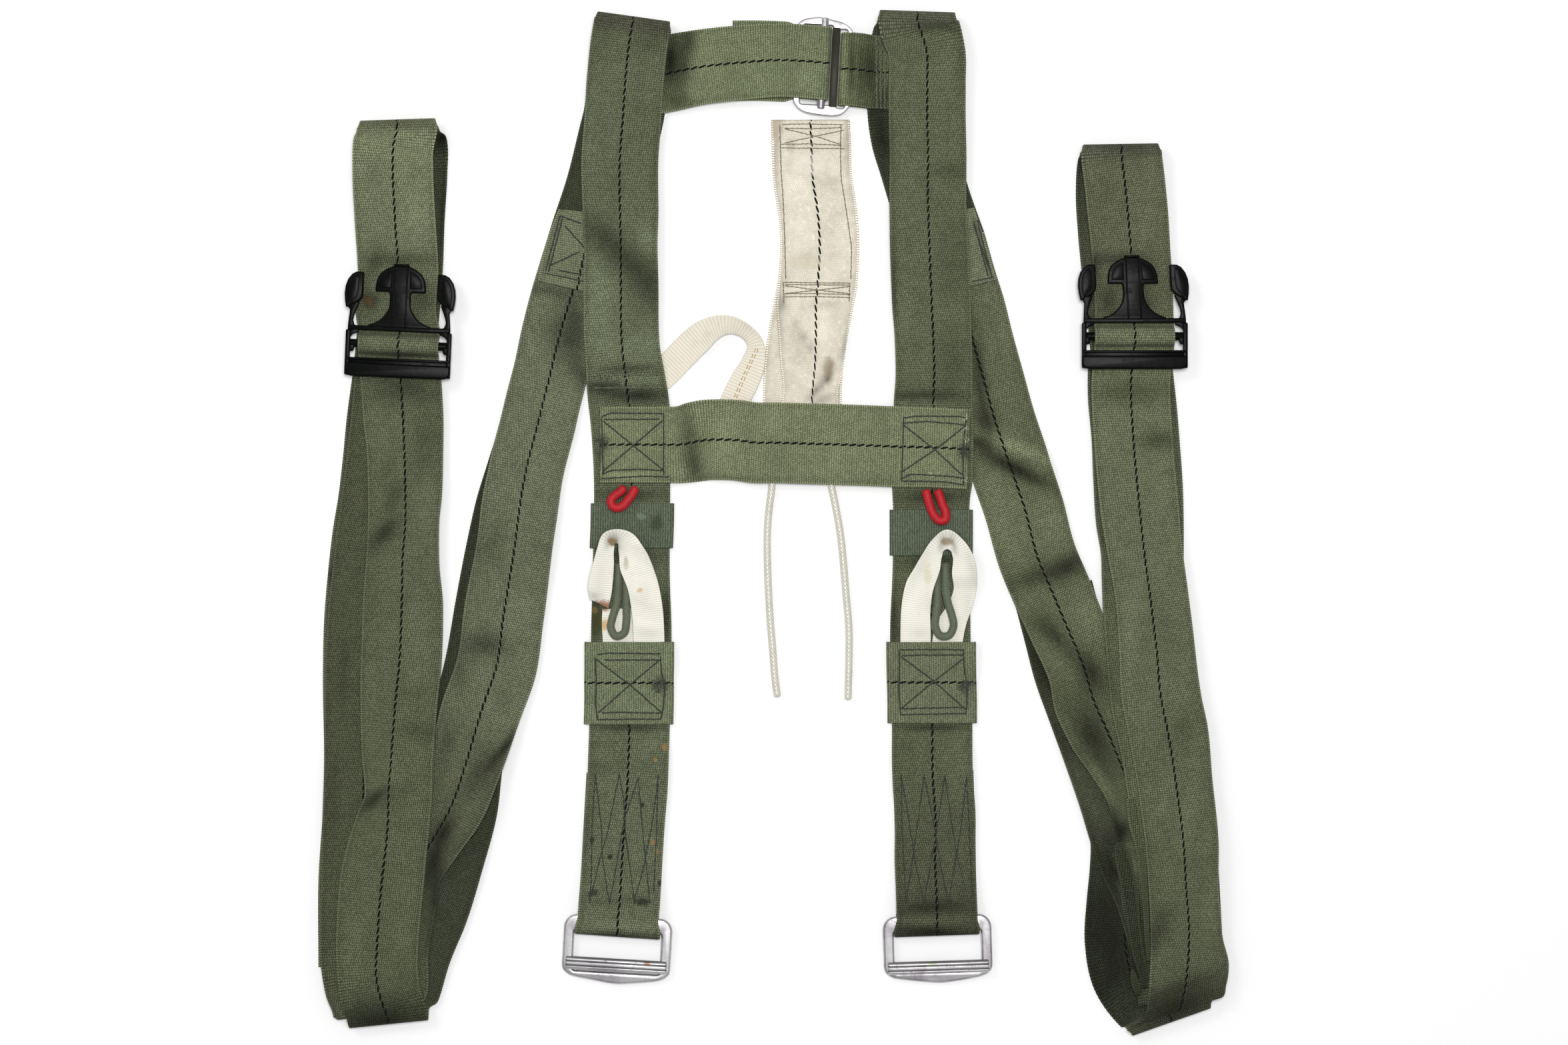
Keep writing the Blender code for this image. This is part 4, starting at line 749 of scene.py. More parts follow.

# ---------------------------------------------------------------- creases
# Rows as folded() takes them: x, y, direction in degrees, half length, width, height, shade. The shade is
# painted
# into the tone: painted shade below 1 and painted light above 1, along folds, gaps between layers and edges,
# with a few dark smudges.

LEFT_MAIN_CREASES = (
    (-84.3, 146.3, -43, 40.8, 8, -0.45, 0.42), (-68.2, 129.6, -75, 26.2, 8.7, 0, 0.55),
    (-92.6, 158, -40, 21.8, 5.1, 0, 0.76), (-94.5, 119.8, 88, 45.5, 8.7, 0.25, 1.46),
    (-67.2, 153.6, -50, 18.9, 5.5, 0.2, 1.29), (-70.4, 96.1, 3, 18.9, 8.7, 0, 1.41),
    (-89, 96.1, 0, 14.6, 7.3, 0, 1.2), (-67.2, 262.1, 28, 16.7, 6.6, 0, 0.69),
    (-92.6, 263.5, 80, 18.2, 5.8, 0, 0.8), (-73.3, 69.5, 0, 29.8, 4.4, -0.1, 0.22),
    (-92.6, 72.4, 0, 14.6, 3.6, 0, 0.42), (-78.1, 84.1, 2, 27.7, 2.2, -0.15, 0.51),
    (-78.1, 77.5, 1, 28.4, 1.8, 0.1, 1.27), (-92.6, 75.3, 0, 13.8, 2.2, 0, 0.47),
    (-63.5, 201.7, 88, 43.7, 3.6, 0, 0.83), (-101.7, 249, 80, 32.8, 3.6, 0, 0.85),
    (-74.4, 230.8, 85, 40, 5.8, 0, 0.9), (-100.3, 212.6, 88, 40, 2.9, 0, 1.16),
    (-85.4, 183.5, 85, 32.8, 4.4, 0, 0.88), (-83.5, -225.7, -3, 40, 2.9, 0, 0.26),
    (-81.7, -219.9, -3, 36.4, 2.9, 0, 1.27), (-85.4, -206.8, 0, 32.8, 2.9, 0, 0.76),
    (-94.5, -118.7, 5, 21.8, 4.4, 0, 0.76), (-92.6, -133.2, 5, 21.8, 3.6, 0, 0.78),
    (-67.2, -118.7, -5, 18.2, 5.1, 0, 1.16), (-101.7, -166, 86, 43.7, 2.9, 0, 0.76),
)
LEFT_MAIN_LOW_CREASES = (
    (-78.1, 15.3, 0, 32.8, 3.6, 0, 0.47), (-78.1, -18.6, 0, 32.8, 5.1, 0, 0.53),
    (-78.1, -112.1, 0, 32.8, 2.2, 0, 0.42), (-97, -51.3, 88, 21.8, 3.6, 0, 0.27),
    (-58.8, -53.1, 88, 25.5, 3.6, 0, 0.42),
)
LEFT_DIAGONAL_CREASES = (
    (-108.3, 107, -86, 38.2, 7.3, 0, 0.37), (-117, 101.6, -70, 21.8, 8.7, 0, 0.59),
    (-104.6, 81.5, -60, 14.6, 4.4, 0, 0.53), (-122.8, 126.7, -12, 21.8, 3.6, 0, 0.53),
    (-158.2, -66.2, -4, 24, 7.3, -0.35, 0.44), (-159.2, -13.8, -2, 24, 10.9, 0, 0.76),
    (-123.6, -14.2, -25, 14.6, 4.4, 0, 0.76), (-146.5, -123, 52, 24, 2.9, -0.2, 0.24),
    (-159.2, -136.9, 52, 24, 5.8, 0, 0.64), (-178.9, -168.2, 60, 16, 5.1, 0, 0.26),
    (-184.7, -184.2, 75, 26.2, 5.1, 0, 0.22), (-167.3, -160.5, 60, 21.8, 3.6, 0, 1.2),
    (-170.9, -133.2, 62, 21.8, 5.1, 0.2, 1.27), (-177.4, -116.8, 80, 21.8, 3.6, 0, 0.7),
    (-134.5, -100.5, 62, 21.8, 4.4, 0, 1.16), (-170.9, -82.3, 80, 21.8, 5.1, 0, 0.66),
    (-150.9, -5.8, 80, 21.8, 4.4, 0, 0.82), (-130.9, 34.2, 75, 43.7, 5.1, 0, 1.11),
    (-141.8, -53.1, 75, 29.1, 5.1, 0, 1.16), (-183.3, -204.2, 84, 26.9, 5.8, 0, 0.37),
    (-185.5, -227.9, 86, 18.2, 4.4, 0, 0.55), (-235.3, -78.6, 90, 32.8, 2.2, 0, 0.64),
    (-240.1, -151.4, 88, 43.7, 2.9, 0, 0.7),
)
LEFT_LEG_CREASES = (
    (-201.8, 73.2, 0, 34.6, 8.7, 0, 0.48), (-189.1, 45.1, 88, 38.2, 8.7, 0, 0.69),
    (-212, -5.8, 50, 20.4, 5.1, -0.4, 0.3), (-206.6, 14.2, 62, 18.2, 4.4, 0, 0.62),
    (-212.8, 23.3, 70, 18.2, 5.8, 0, 0.83), (-189.1, 8.7, 85, 29.1, 4.4, 0, 1.21),
    (-218.2, -42.2, 88, 40, 3.6, 0, 0.83), (-192.7, -113.6, 0, 21.8, 5.1, 0, 0.69),
    (-217.5, -150.7, 42, 16, 3.6, -0.3, 0.32), (-203.7, -147.8, 30, 21.8, 3.6, 0, 0.76),
    (-212.8, -136.9, 70, 21.8, 5.1, 0, 1.13), (-194.6, -64.1, 88, 32.8, 5.1, 0, 1.16),
    (-200, -93.2, 0, 21.8, 3.6, 0, 0.88), (-212.8, -271.5, 4, 58.2, 13.1, 0, 0.19),
    (-189.1, -242.4, 88, 32.8, 2.9, 0, 0.64), (-225.5, -224.2, 84, 47.3, 5.8, 0, 1.16),
    (-201.8, -216.9, 86, 40, 4.4, 0, 1.11), (-205.5, 216.9, 1, 36.4, 3.3, 0, 0.64),
    (-205.5, 211.5, 1, 32.8, 2.2, 0, 1.16), (-218.2, 190.7, 85, 29.1, 5.1, 0, 0.88),
    (-194.6, 165.3, 88, 32.8, 7.3, 0, 1.19), (-201.8, 143.4, 0, 32.8, 4.4, 0, 0.55),
    (-217.5, 141.6, 70, 18.2, 4.4, 0, 0.53), (-220, 120.8, 0, 9.5, 5.8, 0, 0.22),
    (-192, 119.8, 60, 16, 7.3, 0, 0.55), (-203.7, 97.9, 0, 21.8, 3.3, 0, 1.13),
    (-203.7, 91.7, 0, 27.3, 2.2, 0, 0.47),
)
LEFT_END_CREASES = (
    (-226.2, 37.9, -84, 45.5, 3.3, 0, 0.15), (-223.3, -11.3, -88, 25.5, 2.5, 0, 0.28),
    (-235, -29.1, -10, 20.4, 5.8, -0.2, 0.4), (-228, -99, 90, 25.5, 5.8, 0, 0.24),
    (-227, -136.9, 88, 40, 5.1, 0, 0.38), (-235.3, -184.2, 82, 40, 4.4, 0, 0.3),
    (-241.2, -260.6, 70, 25.5, 5.8, 0, 0.2), (-181.1, 210.4, 88, 12.4, 4.4, 0, 0.12),
    (-180.4, 170.7, 88, 40, 2.2, 0, 0.47), (-232.8, 1.5, 84, 32.8, 2.9, 0, 1.16),
    (-235.7, -60.4, 88, 32.8, 3.6, 0, 1.13), (-237.1, 67, 80, 18.2, 2.9, 0, 0.64),
)
RIGHT_MAIN_CREASES = (
    (65, 125.2, 89, 51, 2.2, 0, 0.51), (96.6, 192.2, 0, 16.7, 4.7, 0, 0.69),
    (98.5, 142.7, 88, 40, 10.2, 0, 0.78), (97.7, 86.6, 88, 29.1, 9.5, 0, 0.71),
    (77.3, 69.5, 0, 27.3, 2.9, 0, 0.42), (97.7, 69.5, 0, 18.2, 3.6, 0, 0.64),
    (90.5, 270.1, -4, 25.5, 3.3, 0, 0.51), (76.6, 267.9, 0, 18.2, 2.2, 0, 0.76),
    (102.1, 249, 88, 29.1, 2.9, 0, 0.82), (71.2, 110.7, 88, 29.1, 4.4, 0, 1.16),
    (94.8, 245.3, 88, 21.8, 5.1, 0, 1.13), (74.8, 194.4, 88, 43.7, 4.4, 0, 1.08),
    (93, 114.3, 10, 14.6, 5.1, 0, 1.13), (87.5, -223.5, -2, 40, 3.6, 0, 0.22),
    (87.5, -209.7, 2, 32.8, 4, -0.2, 0.42), (87.5, -216.9, 1, 32.8, 2.5, 0.15, 1.41),
    (73, -118.7, 88, 21.8, 3.6, 0, 0.76), (102.1, -136.9, 88, 32.8, 5.1, 0, 1.13),
)
RIGHT_MAIN_LOW_CREASES = (
    (59.1, 212.6, -80, 29.1, 4.4, 0, 0.34), (87.5, 14.2, 0, 32.8, 4.4, 0, 0.42),
    (87.5, -21.1, 0, 32.8, 4.4, 0, 0.47), (65.7, -53.1, 88, 25.5, 3.3, 0, 0.42),
    (86.8, -112.1, 0, 32.8, 2.2, 0, 0.42), (106.5, -42.2, 80, 21.8, 2.9, 0, 0.37),
)
RIGHT_BIGHT_CREASES = (
    (186.5, -227.9, 96, 54.6, 9.5, 0, 0.47), (188.4, -192.2, 100, 27.3, 0.9, 0, 1.99),
    (190.2, -176.2, 0, 5.1, 0.9, 0, 1.84), (197.8, -192.2, 104, 27.3, 0.9, 0, 1.84),
    (193.1, -195.1, 102, 27.3, 2.9, 0, 0.47), (185.1, -184.2, 100, 25.5, 2.5, 0, 0.32),
    (190.6, -168.2, 90, 9.5, 4.4, 0, 0.27),
)
RIGHT_DIAGONAL_CREASES = (
    *RIGHT_BIGHT_CREASES, (112.7, 81.5, -82, 43.7, 3.3, 0, 0.2),
    (115.9, 54.6, -70, 16.7, 5.5, 0, 0.3), (131.2, 42.2, -24, 36.4, 3.3, 0.9, 1.84),
    (131.9, 29.5, -27, 37.9, 4.4, -0.9, 0.1), (113, 43.3, -30, 14.6, 3.6, 0, 0.32),
    (123.9, 3.3, -72, 40, 12.4, 0, 1.35), (151.2, 0.7, -70, 26.2, 8.7, 0, 1.29),
    (125.8, 110.7, -70, 43.7, 5.1, 0, 1.13), (161.1, -24, 28, 21.1, 6.2, -0.3, 0.34),
    (144, -29.1, 18, 34.9, 5.5, -0.1, 0.51), (153.8, -61.2, -50, 25.5, 4.4, -0.35, 0.38),
    (172, -49.5, -65, 20.4, 6.6, 0.2, 1.27), (145.8, -58.6, -50, 18.2, 3.3, 0, 0.7),
    (173.1, -82.3, -58, 24, 8, -0.2, 0.24), (174.9, -116.8, -68, 40, 9.5, 0, 0.26),
    (154.9, -93.2, -60, 21.8, 5.1, 0, 0.82), (164.7, -109.6, -55, 21.8, 3.6, 0, 0.76),
    (178.5, -140.5, -60, 21.8, 2.9, 0, 1.55), (186.5, -166, -80, 18.2, 3.6, 0, 0.42),
    (160.3, -78.6, -45, 21.8, 3.6, 0.1, 1.13), (193.1, -198.7, -80, 54.6, 3.6, 0, 0.27),
    (196.7, -242.4, -86, 40, 3.6, 0, 0.27),
)
RIGHT_SECOND_CREASES = (
    *RIGHT_BIGHT_CREASES, (149.4, -82.3, -62, 32.8, 4.4, 0, 0.37),
    (160.3, -118.7, -62, 21.8, 5.1, 0, 0.76), (169.4, -147.8, -62, 32.8, 5.1, 0, 1.34),
    (180.4, -187.8, -70, 32.8, 5.8, 0, 0.47),
)
RIGHT_LEG_CREASES = (
    (209.5, 45.1, 0, 19.7, 5.5, 0, 0.51), (193.1, -60.4, 80, 43.7, 6.6, 0, 1.16),
    (222.2, -113.2, 70, 21.8, 7.3, 0, 0.76), (209.5, -221.3, 72, 24, 5.8, -0.2, 0.51),
    (237.5, -213.3, 80, 29.1, 5.8, 0, 1.24), (218.6, -264.3, 20, 54.6, 10.9, 0, 0.22),
    (220.4, -253.3, 20, 40, 4.4, 0, 0.66), (195.7, 71.3, 0, 34.6, 7.3, 0, 0.55),
    (189.5, 204.6, -4, 32.8, 3.3, 0, 0.59), (189.5, 143.4, 0, 32.8, 4.4, 0, 0.53),
    (174.9, 139.8, 70, 14.6, 3.6, 0, 0.53), (209.5, 16, -60, 21.8, 4.4, 0, 1.08),
    (211.3, -53.1, -70, 32.8, 5.1, 0, 0.85), (225.9, -158.7, 80, 32.8, 5.1, 0, 1.16),
    (204, -184.2, 78, 32.8, 5.1, 0, 0.85), (213.1, -151.4, 78, 29.1, 2.9, 0.2, 1.16),
    (204, -249.7, 82, 21.8, 4.4, 0, 1.13), (180.4, 176.2, 85, 32.8, 4.4, 0, 0.88),
    (204, 176.2, 85, 32.8, 5.1, 0, 1.11), (196.7, 96.1, 0, 25.5, 3.3, 0, 1.13),
    (193.1, 89.5, 0, 27.3, 2.2, 0, 0.47), (202.2, 119.8, 70, 16, 6.6, 0, 0.55),
    (182.9, 121.6, 80, 16, 5.8, 0, 0.42),
)
RIGHT_BACK_CREASES = (
    (172.7, 59.7, 88, 32.8, 2.2, 0, 0.42), (174.9, -224.2, 85, 58.2, 10.9, 0, 0.55),
    (178.5, -257, 60, 32.8, 6.6, 0, 0.64), (220.4, -5.8, 86, 21.8, 2.9, 0, 0.76),
    (182.2, -42.2, 88, 32.8, 2.9, 0, 0.42), (212, 176.2, 88, 32.8, 2.2, 0, 0.42),
    (166.5, 198, 88, 21.8, 2.2, 0, 0.53), (189.8, -124.1, 99, 43.7, 2.5, 0, 1.99),
    (197.5, -178.7, 105, 29.1, 2.5, 0, 1.99), (204, -224.2, 98, 32.8, 2.2, 0, 1.69),
    *RIGHT_BIGHT_CREASES,
)
UPPER_CROSS_CREASES = (
    (-55.9, 251.9, 84, 31.3, 6.6, 0, 0.06), (-48.6, 249, 80, 24, 4.4, 0, 0.4),
    (-52.2, 230, 0, 13.1, 4.4, 0, 0.47), (-46.4, 263.5, 75, 13.1, 5.1, 0, 0.42),
    (31.8, 250.8, 90, 27.7, 1.8, 0, 0.27), (-36.2, 252.6, 88, 25.5, 5.8, 0, 1.13),
    (-7.1, 241.7, 88, 25.5, 7.3, 0, 1.11), (9.3, 259.9, 88, 18.2, 5.1, 0, 0.93),
    (-21.7, 238.1, 88, 18.2, 5.8, 0, 0.94), (18.4, 241.7, 88, 21.8, 4.4, 0, 1.13),
)
ANCHOR_CREASES = (
    (53.3, 247.2, 89, 36.4, 7.3, 0, 0.24), (42.8, 250.8, 89, 32.8, 2.2, -0.1, 0.47),
    (38, 249, 89, 32.8, 2.5, 0, 1.34), (47.5, 247.2, 89, 32.8, 1.8, 0, 0.64),
    (60.6, 230.8, 60, 18.2, 5.8, 0, 0.32),
)
LOWER_CROSS_CREASES = (
    (-43.5, 34.2, -80, 26.2, 5.5, -0.3, 0.38), (-47.9, 55.3, -80, 22.6, 5.1, -0.1, 0.73),
    (-27.1, 45.1, 88, 32.8, 7.3, 0.2, 1.16), (-93, 42.6, 60, 5.8, 3.3, 0, 0.22),
    (-95.2, 34.2, 80, 9.5, 1.8, 0, 0.53), (104.3, 38.9, 80, 5.8, 2.9, 0, 0.26),
    (-77.7, 24.8, -1, 18.2, 1.1, 0, 1.69), (106.5, 48.8, 89, 32.8, 1.5, 0, 0.53),
    (3.8, 34.2, 88, 25.5, 8, 0, 0.88), (0.2, 57.9, 88, 21.8, 6.6, 0, 1.13),
    (32.9, 43.3, 88, 29.1, 8.7, 0, 1.08), (58.4, 52.4, 88, 21.8, 6.6, 0, 0.9),
    (62.1, 23.3, 0, 29.1, 2.9, 0, 0.82), (-94.5, 63.3, 0, 7.3, 1.8, 0, 0.76),
    (-21.7, 23.3, 0, 29.1, 2.2, 0, 0.78),
)
HANDLE_CREASES = (
    (16.9, 100.5, -62, 24, 1.8, -0.4, 0.66), (13.3, 96.1, -66, 21.8, 3.6, 0, 0.85),
    (39.9, 97.2, 73, 24, 1.8, -0.3, 0.73), (29.3, 78.6, 0, 3.3, 2.5, -0.4, 0.27),
    (28.2, 103.4, 88, 21.8, 4.4, 0.3, 1.11), (28.2, 118.7, 0, 18.2, 2.5, 0, 0.8),
    (30.8, 83, 85, 9.5, 2.5, -0.8, 0.42), (35.9, 81.5, 85, 10.9, 2.2, 0.5, 1.2),
    (23.8, 72.4, 50, 11.6, 2.2, -0.5, 0.47), (27.5, 67, 20, 10.9, 2.2, 0, 0.64),
    (38.4, 70.6, 80, 14.6, 2.9, 0, 0.7), (12.9, 187.1, 10, 18.2, 5.8, 0, 1.13),
    (27.5, 185.3, -20, 18.2, 5.1, -0.2, 0.83), (20.2, 207.1, 0, 25.5, 8.7, 0, 0.93),
    (23.8, 145.2, 5, 21.8, 5.1, 0, 0.91), (32.9, 161.6, 60, 21.8, 4.4, 0, 0.93),
    (14.7, 161.6, 80, 25.5, 4.4, 0, 1.05), (40.9, 212.6, 88, 32.8, 2.2, 0, 0.73),
    (2, 201.7, 88, 36.4, 2.2, 0, 0.8), (1.3, 103.4, 85, 40, 3.3, 0, 0.66),
    (5.6, 119.8, 90, 7.3, 2.2, 0, 0.64),
)
TAPE_CREASES = (
    (-86.8, -6.9, 0, 14.6, 3.3, 0, 0.76), (-89.4, -10.2, 70, 7.3, 1.8, 0, 0.55),
    (-85, -11.6, -80, 8.7, 1.5, 0, 0.53), (-63.5, -24, -68, 25.5, 2.9, 0, 0.83),
    (-77, -24, -80, 21.8, 2.2, 0, 1.05), (-67.2, -60.4, 0, 14.6, 3.6, 0, 0.83),
    (-94.5, -31.3, 82, 21.8, 2.9, 0, 0.91), (-97, -39.7, 0, 7.3, 2.2, 0, 0.83),
    (-57.3, -42.2, -88, 21.8, 1.8, 0, 0.73), (-70.8, -44, -30, 18.2, 2.9, 0, 0.9),
    (-69.7, -55, -20, 18.2, 2.5, 0, 1.07), (94.8, -6.9, 0, 14.6, 3.3, 0, 0.76),
    (91.9, -11.3, 75, 7.3, 1.8, 0, 0.55), (98.5, -12.4, -75, 8.7, 1.5, 0, 0.53),
    (80.3, -24, 68, 25.5, 3.3, 0, 0.83), (109.4, -25.8, -70, 21.8, 2.9, 0, 0.8),
    (67.5, -53.1, 90, 21.8, 2.2, 0, 0.78), (77.3, -34.9, 75, 25.5, 2.9, 0, 1.07),
    (106.5, -44, 85, 21.8, 2.9, 0, 0.88), (111.2, -56.8, 80, 14.6, 2.2, 0, 0.76),
    (80.3, -60.4, 0, 10.9, 3.6, 0, 0.85),
)


# ---------------------------------------------------------------- straps in their tones

UPRIGHT_LEFT = rgb(92, 98, 76)
UPRIGHT_RIGHT = rgb(90, 95, 73)
# Darker, browner tones of the top folds: painted shade of the folds.
TOP_FOLD_LEFT = rgb(76, 76, 62)
TOP_FOLD_RIGHT = rgb(84, 86, 70)
# The back layers under the front ones, darker: painted shade.
BACK = rgb(58, 62, 47)
LOWER_LEFT = rgb(94, 99, 78)
LOWER_RIGHT = rgb(70, 73, 56)
DIAGONAL_LEFT = rgb(104, 109, 87)
DIAGONAL_LEFT_MIDDLE = rgb(97, 102, 81)
DIAGONAL_LEFT_LOW = rgb(82, 86, 67)
DIAGONAL_LEFT_END = rgb(78, 82, 63)
DIAGONAL_RIGHT = rgb(92, 97, 74)
DIAGONAL_RIGHT_END = rgb(68, 72, 55)
# The right under strap and the start of the right tail, under other layers, darker: painted shade.
UNDER_RIGHT = rgb(54, 57, 43)
UNDER_RIGHT_END = rgb(70, 74, 57)
TAIL_LEFT = rgb(74, 78, 59)
TAIL_RIGHT = rgb(94, 99, 76)
TAIL_RIGHT_END = rgb(66, 70, 53)
# The legs' lower layers under the hanging fronts, darker: painted shade.
LEG_LEFT = rgb(48, 51, 39)
LEG_LEFT_END = rgb(60, 64, 49)
LEG_RIGHT = rgb(58, 62, 47)
LEG_RIGHT_END = rgb(50, 53, 41)
# The hanging fronts at and above their bottom folds, darker: painted shade of the folds.
HANG_LEFT = rgb(82, 87, 66)
HANG_RIGHT = rgb(80, 84, 65)
FRONT_LEFT = rgb(92, 97, 75)
FRONT_RIGHT = rgb(101, 107, 82)
LOOP_LEFT = rgb(116, 122, 94)
# Darker at the loop's fold: painted shade of the fold.
LOOP_FOLD_LEFT = rgb(106, 111, 86)
LOOP_RIGHT = rgb(92, 96, 74)
LOOP_END = rgb(93, 97, 76)
UPPER_CROSS = rgb(108, 115, 87)
LOWER_CROSS = rgb(112, 118, 90)
ANCHOR = rgb(100, 107, 79)
PATCH = rgb(105, 110, 87)
BAND = rgb(82, 90, 74)
SLEEVE_LEFT = rgb(107, 114, 88)
SLEEVE_RIGHT = rgb(102, 107, 84)
HANDLE = rgb(219, 212, 195)
WHITE = rgb(247, 244, 231)
NARROW_WHITE = rgb(234, 227, 210)

SPECK = rgb(34, 37, 28)
RUST = rgb(134, 110, 70)
# Spots as Graph.stains() takes them: stains, and on the handle darker spots at its edges and top corners and
# a lighter zone in its middle.
OLIVE_SPOTS = (
    (-96.6, -54.2, 4.5, 11, rgb(66, 68, 40), 0.8), (-97.4, -48, 2.4, 3, rgb(126, 104, 66), 0.6),
    (-59.2, -122.5, 2.2, 3, RUST, 0.95), (-64.2, -129.6, 1.8, 1.8, RUST, 0.9),
    (-65.7, -174.7, 2, 2.4, RUST, 0.95), (-63.5, -179.6, 1.7, 1.9, RUST, 0.8),
    (-71.2, -154.3, 1.8, 1.8, SPECK, 0.9), (-98.8, -173.3, 2, 2.6, SPECK, 0.8),
    (-61.8, -196.9, 1.6, 2.6, SPECK, 0.9), (-71.5, -206.8, 6.5, 3.4, SPECK, 0.8),
    (-98.1, -202, 4, 2.8, SPECK, 0.75), (-89, -182.5, 2.2, 2.2, SPECK, 0.9),
    (-220.8, 120.8, 3.2, 3.4, rgb(86, 64, 38), 0.85), (97.8, -8, 8, 6, rgb(30, 34, 26), 0.6),
)
BAND_SPOTS = (
    (97.8, -10.5, 9, 7, rgb(30, 34, 28), 0.75), (-93, -12.5, 6, 4.5, rgb(58, 62, 38), 0.6),
    (-63.5, -0.4, 5, 6, rgb(44, 52, 36), 0.55), (-72, 3.2, 4, 2.6, rgb(120, 134, 116), 0.6),
)
TAPE_SPOTS = (
    (-93.2, -45.4, 9, 4.2, rgb(146, 92, 62), 0.92), (-87.2, -10.4, 3.4, 3.8, rgb(128, 104, 64), 0.9),
    (-91.9, -55.7, 3.2, 5, rgb(206, 162, 84), 0.8), (-97.2, -55, 4.5, 14, rgb(72, 76, 44), 0.95),
    (-72.6, -37.1, 2.4, 2, rgb(208, 178, 130), 0.75), (-80, -22, 2, 5, rgb(150, 140, 104), 0.5),
    (94.6, -10.5, 4.2, 3.4, rgb(128, 106, 68), 0.75), (84, -28, 3, 9, rgb(216, 204, 172), 0.6),
)
HANDLE_SPOTS = (
    (4.2, 222.8, 2.6, 2.8, rgb(92, 86, 68), 0.85), (38, 224.2, 3.2, 3, rgb(96, 88, 66), 0.85),
    (2, 217, 5, 14, rgb(168, 152, 126), 0.5), (10, 206, 4, 6, rgb(172, 164, 146), 0.5),
    (20, 196, 16, 8, rgb(232, 228, 214), 0.5), (30.5, 84, 4, 9, rgb(150, 134, 104), 0.6),
    (17, 142, 18, 5, rgb(206, 196, 170), 0.5),
)
olive = webbing("olive_webbing", OLIVE_SPOTS)
light_olive = webbing("light_olive_webbing", contrast=0.7, shape=(1.8, 2.0))
band_cloth = webbing("band_webbing", BAND_SPOTS, tracer=False, contrast=0.55, pitch=(1.3, 1.24), lean=(0, 0),
                     shape=(2.2, 1.2))
cream = webbing("cream_webbing", HANDLE_SPOTS, contrast=0.16)


def main_straps():
    split, left_split, right_split, tail_split = 9, 12, 13, 3
    under = [
        (-80, -138, FLOOR), (-81.5, -165, FLOOR), (-83, -193, FLOOR), (-84.5, -213, FLOOR),
        *half_turn(-85, -226.2, FLOOR, 6.5, -94, 23.3),
    ]
    strap("left_main_webbing", [
        (under, LOWER_LEFT), (LEFT_UPRIGHT[:split], LOWER_LEFT, UPRIGHT_LEFT),
        (LEFT_UPRIGHT[split:], UPRIGHT_LEFT),
        (half_turn(-75.9, 276.2, 8.6, FLOOR, 82, 20, 1), TOP_FOLD_LEFT), (LEFT_BACK, BACK)],
        olive, "olive_webbing", "left_main_strap", rests_on=["left_adapter_frame"],
        creases=((1.3, 20, LEFT_MAIN_CREASES), (0, 20, LEFT_MAIN_LOW_CREASES)))
    strap("left_diagonal_webbing", [
        (LEFT_DIAGONAL[:left_split], DIAGONAL_LEFT, DIAGONAL_LEFT_MIDDLE),
        (LEFT_DIAGONAL[left_split:], DIAGONAL_LEFT_LOW, DIAGONAL_LEFT_END),
        (half_turn(-217.5, -268.6, 4.55, 6.45, -82, 20.5, 1.5), DIAGONAL_LEFT_END), (LEFT_TAIL, TAIL_LEFT)],
        olive, "olive_webbing", "left_diagonal_strap", creases=((0, 20, LEFT_DIAGONAL_CREASES),))

    under = [
        (87.5, -136, FLOOR), (88.5, -165, FLOOR), (89, -193, FLOOR), (89.5, -212, FLOOR),
        *half_turn(89.5, -225.7, FLOOR, 6.5, -88, 23.3),
    ]
    strap("right_main_webbing", [
        (under, LOWER_RIGHT), (RIGHT_UPRIGHT[:split], LOWER_RIGHT, UPRIGHT_RIGHT),
        (RIGHT_UPRIGHT[split:], UPRIGHT_RIGHT),
        (half_turn(78.8, 279, 9.6, FLOOR, 88, 20.6, 1), TOP_FOLD_RIGHT), (RIGHT_BACK, BACK)],
        olive, "olive_webbing_right", "right_main_strap", rests_on=["right_adapter_frame"],
        creases=((1.3, 20, RIGHT_MAIN_CREASES), (0, 20, RIGHT_MAIN_LOW_CREASES)))
    strap("right_diagonal_webbing", [
        (RIGHT_DIAGONAL[:right_split], DIAGONAL_RIGHT),
        (RIGHT_DIAGONAL[right_split:], DIAGONAL_RIGHT, DIAGONAL_RIGHT_END),
        (half_turn(221, -259.6, 4.55, 6.45, -78), DIAGONAL_RIGHT_END), (RIGHT_TAIL[:tail_split], UNDER_RIGHT),
        (RIGHT_TAIL[tail_split:], TAIL_RIGHT, TAIL_RIGHT_END)],
        olive, "olive_webbing_right", "right_diagonal_strap", turns=nested_turns(),
        creases=((0, 20, RIGHT_DIAGONAL_CREASES),))
    strap("right_under_webbing", [(RIGHT_SECOND, UNDER_RIGHT, UNDER_RIGHT_END)], olive, "olive_webbing_right",
          "right_under_strap", held="laid", creases=((0, 20, RIGHT_SECOND_CREASES),))


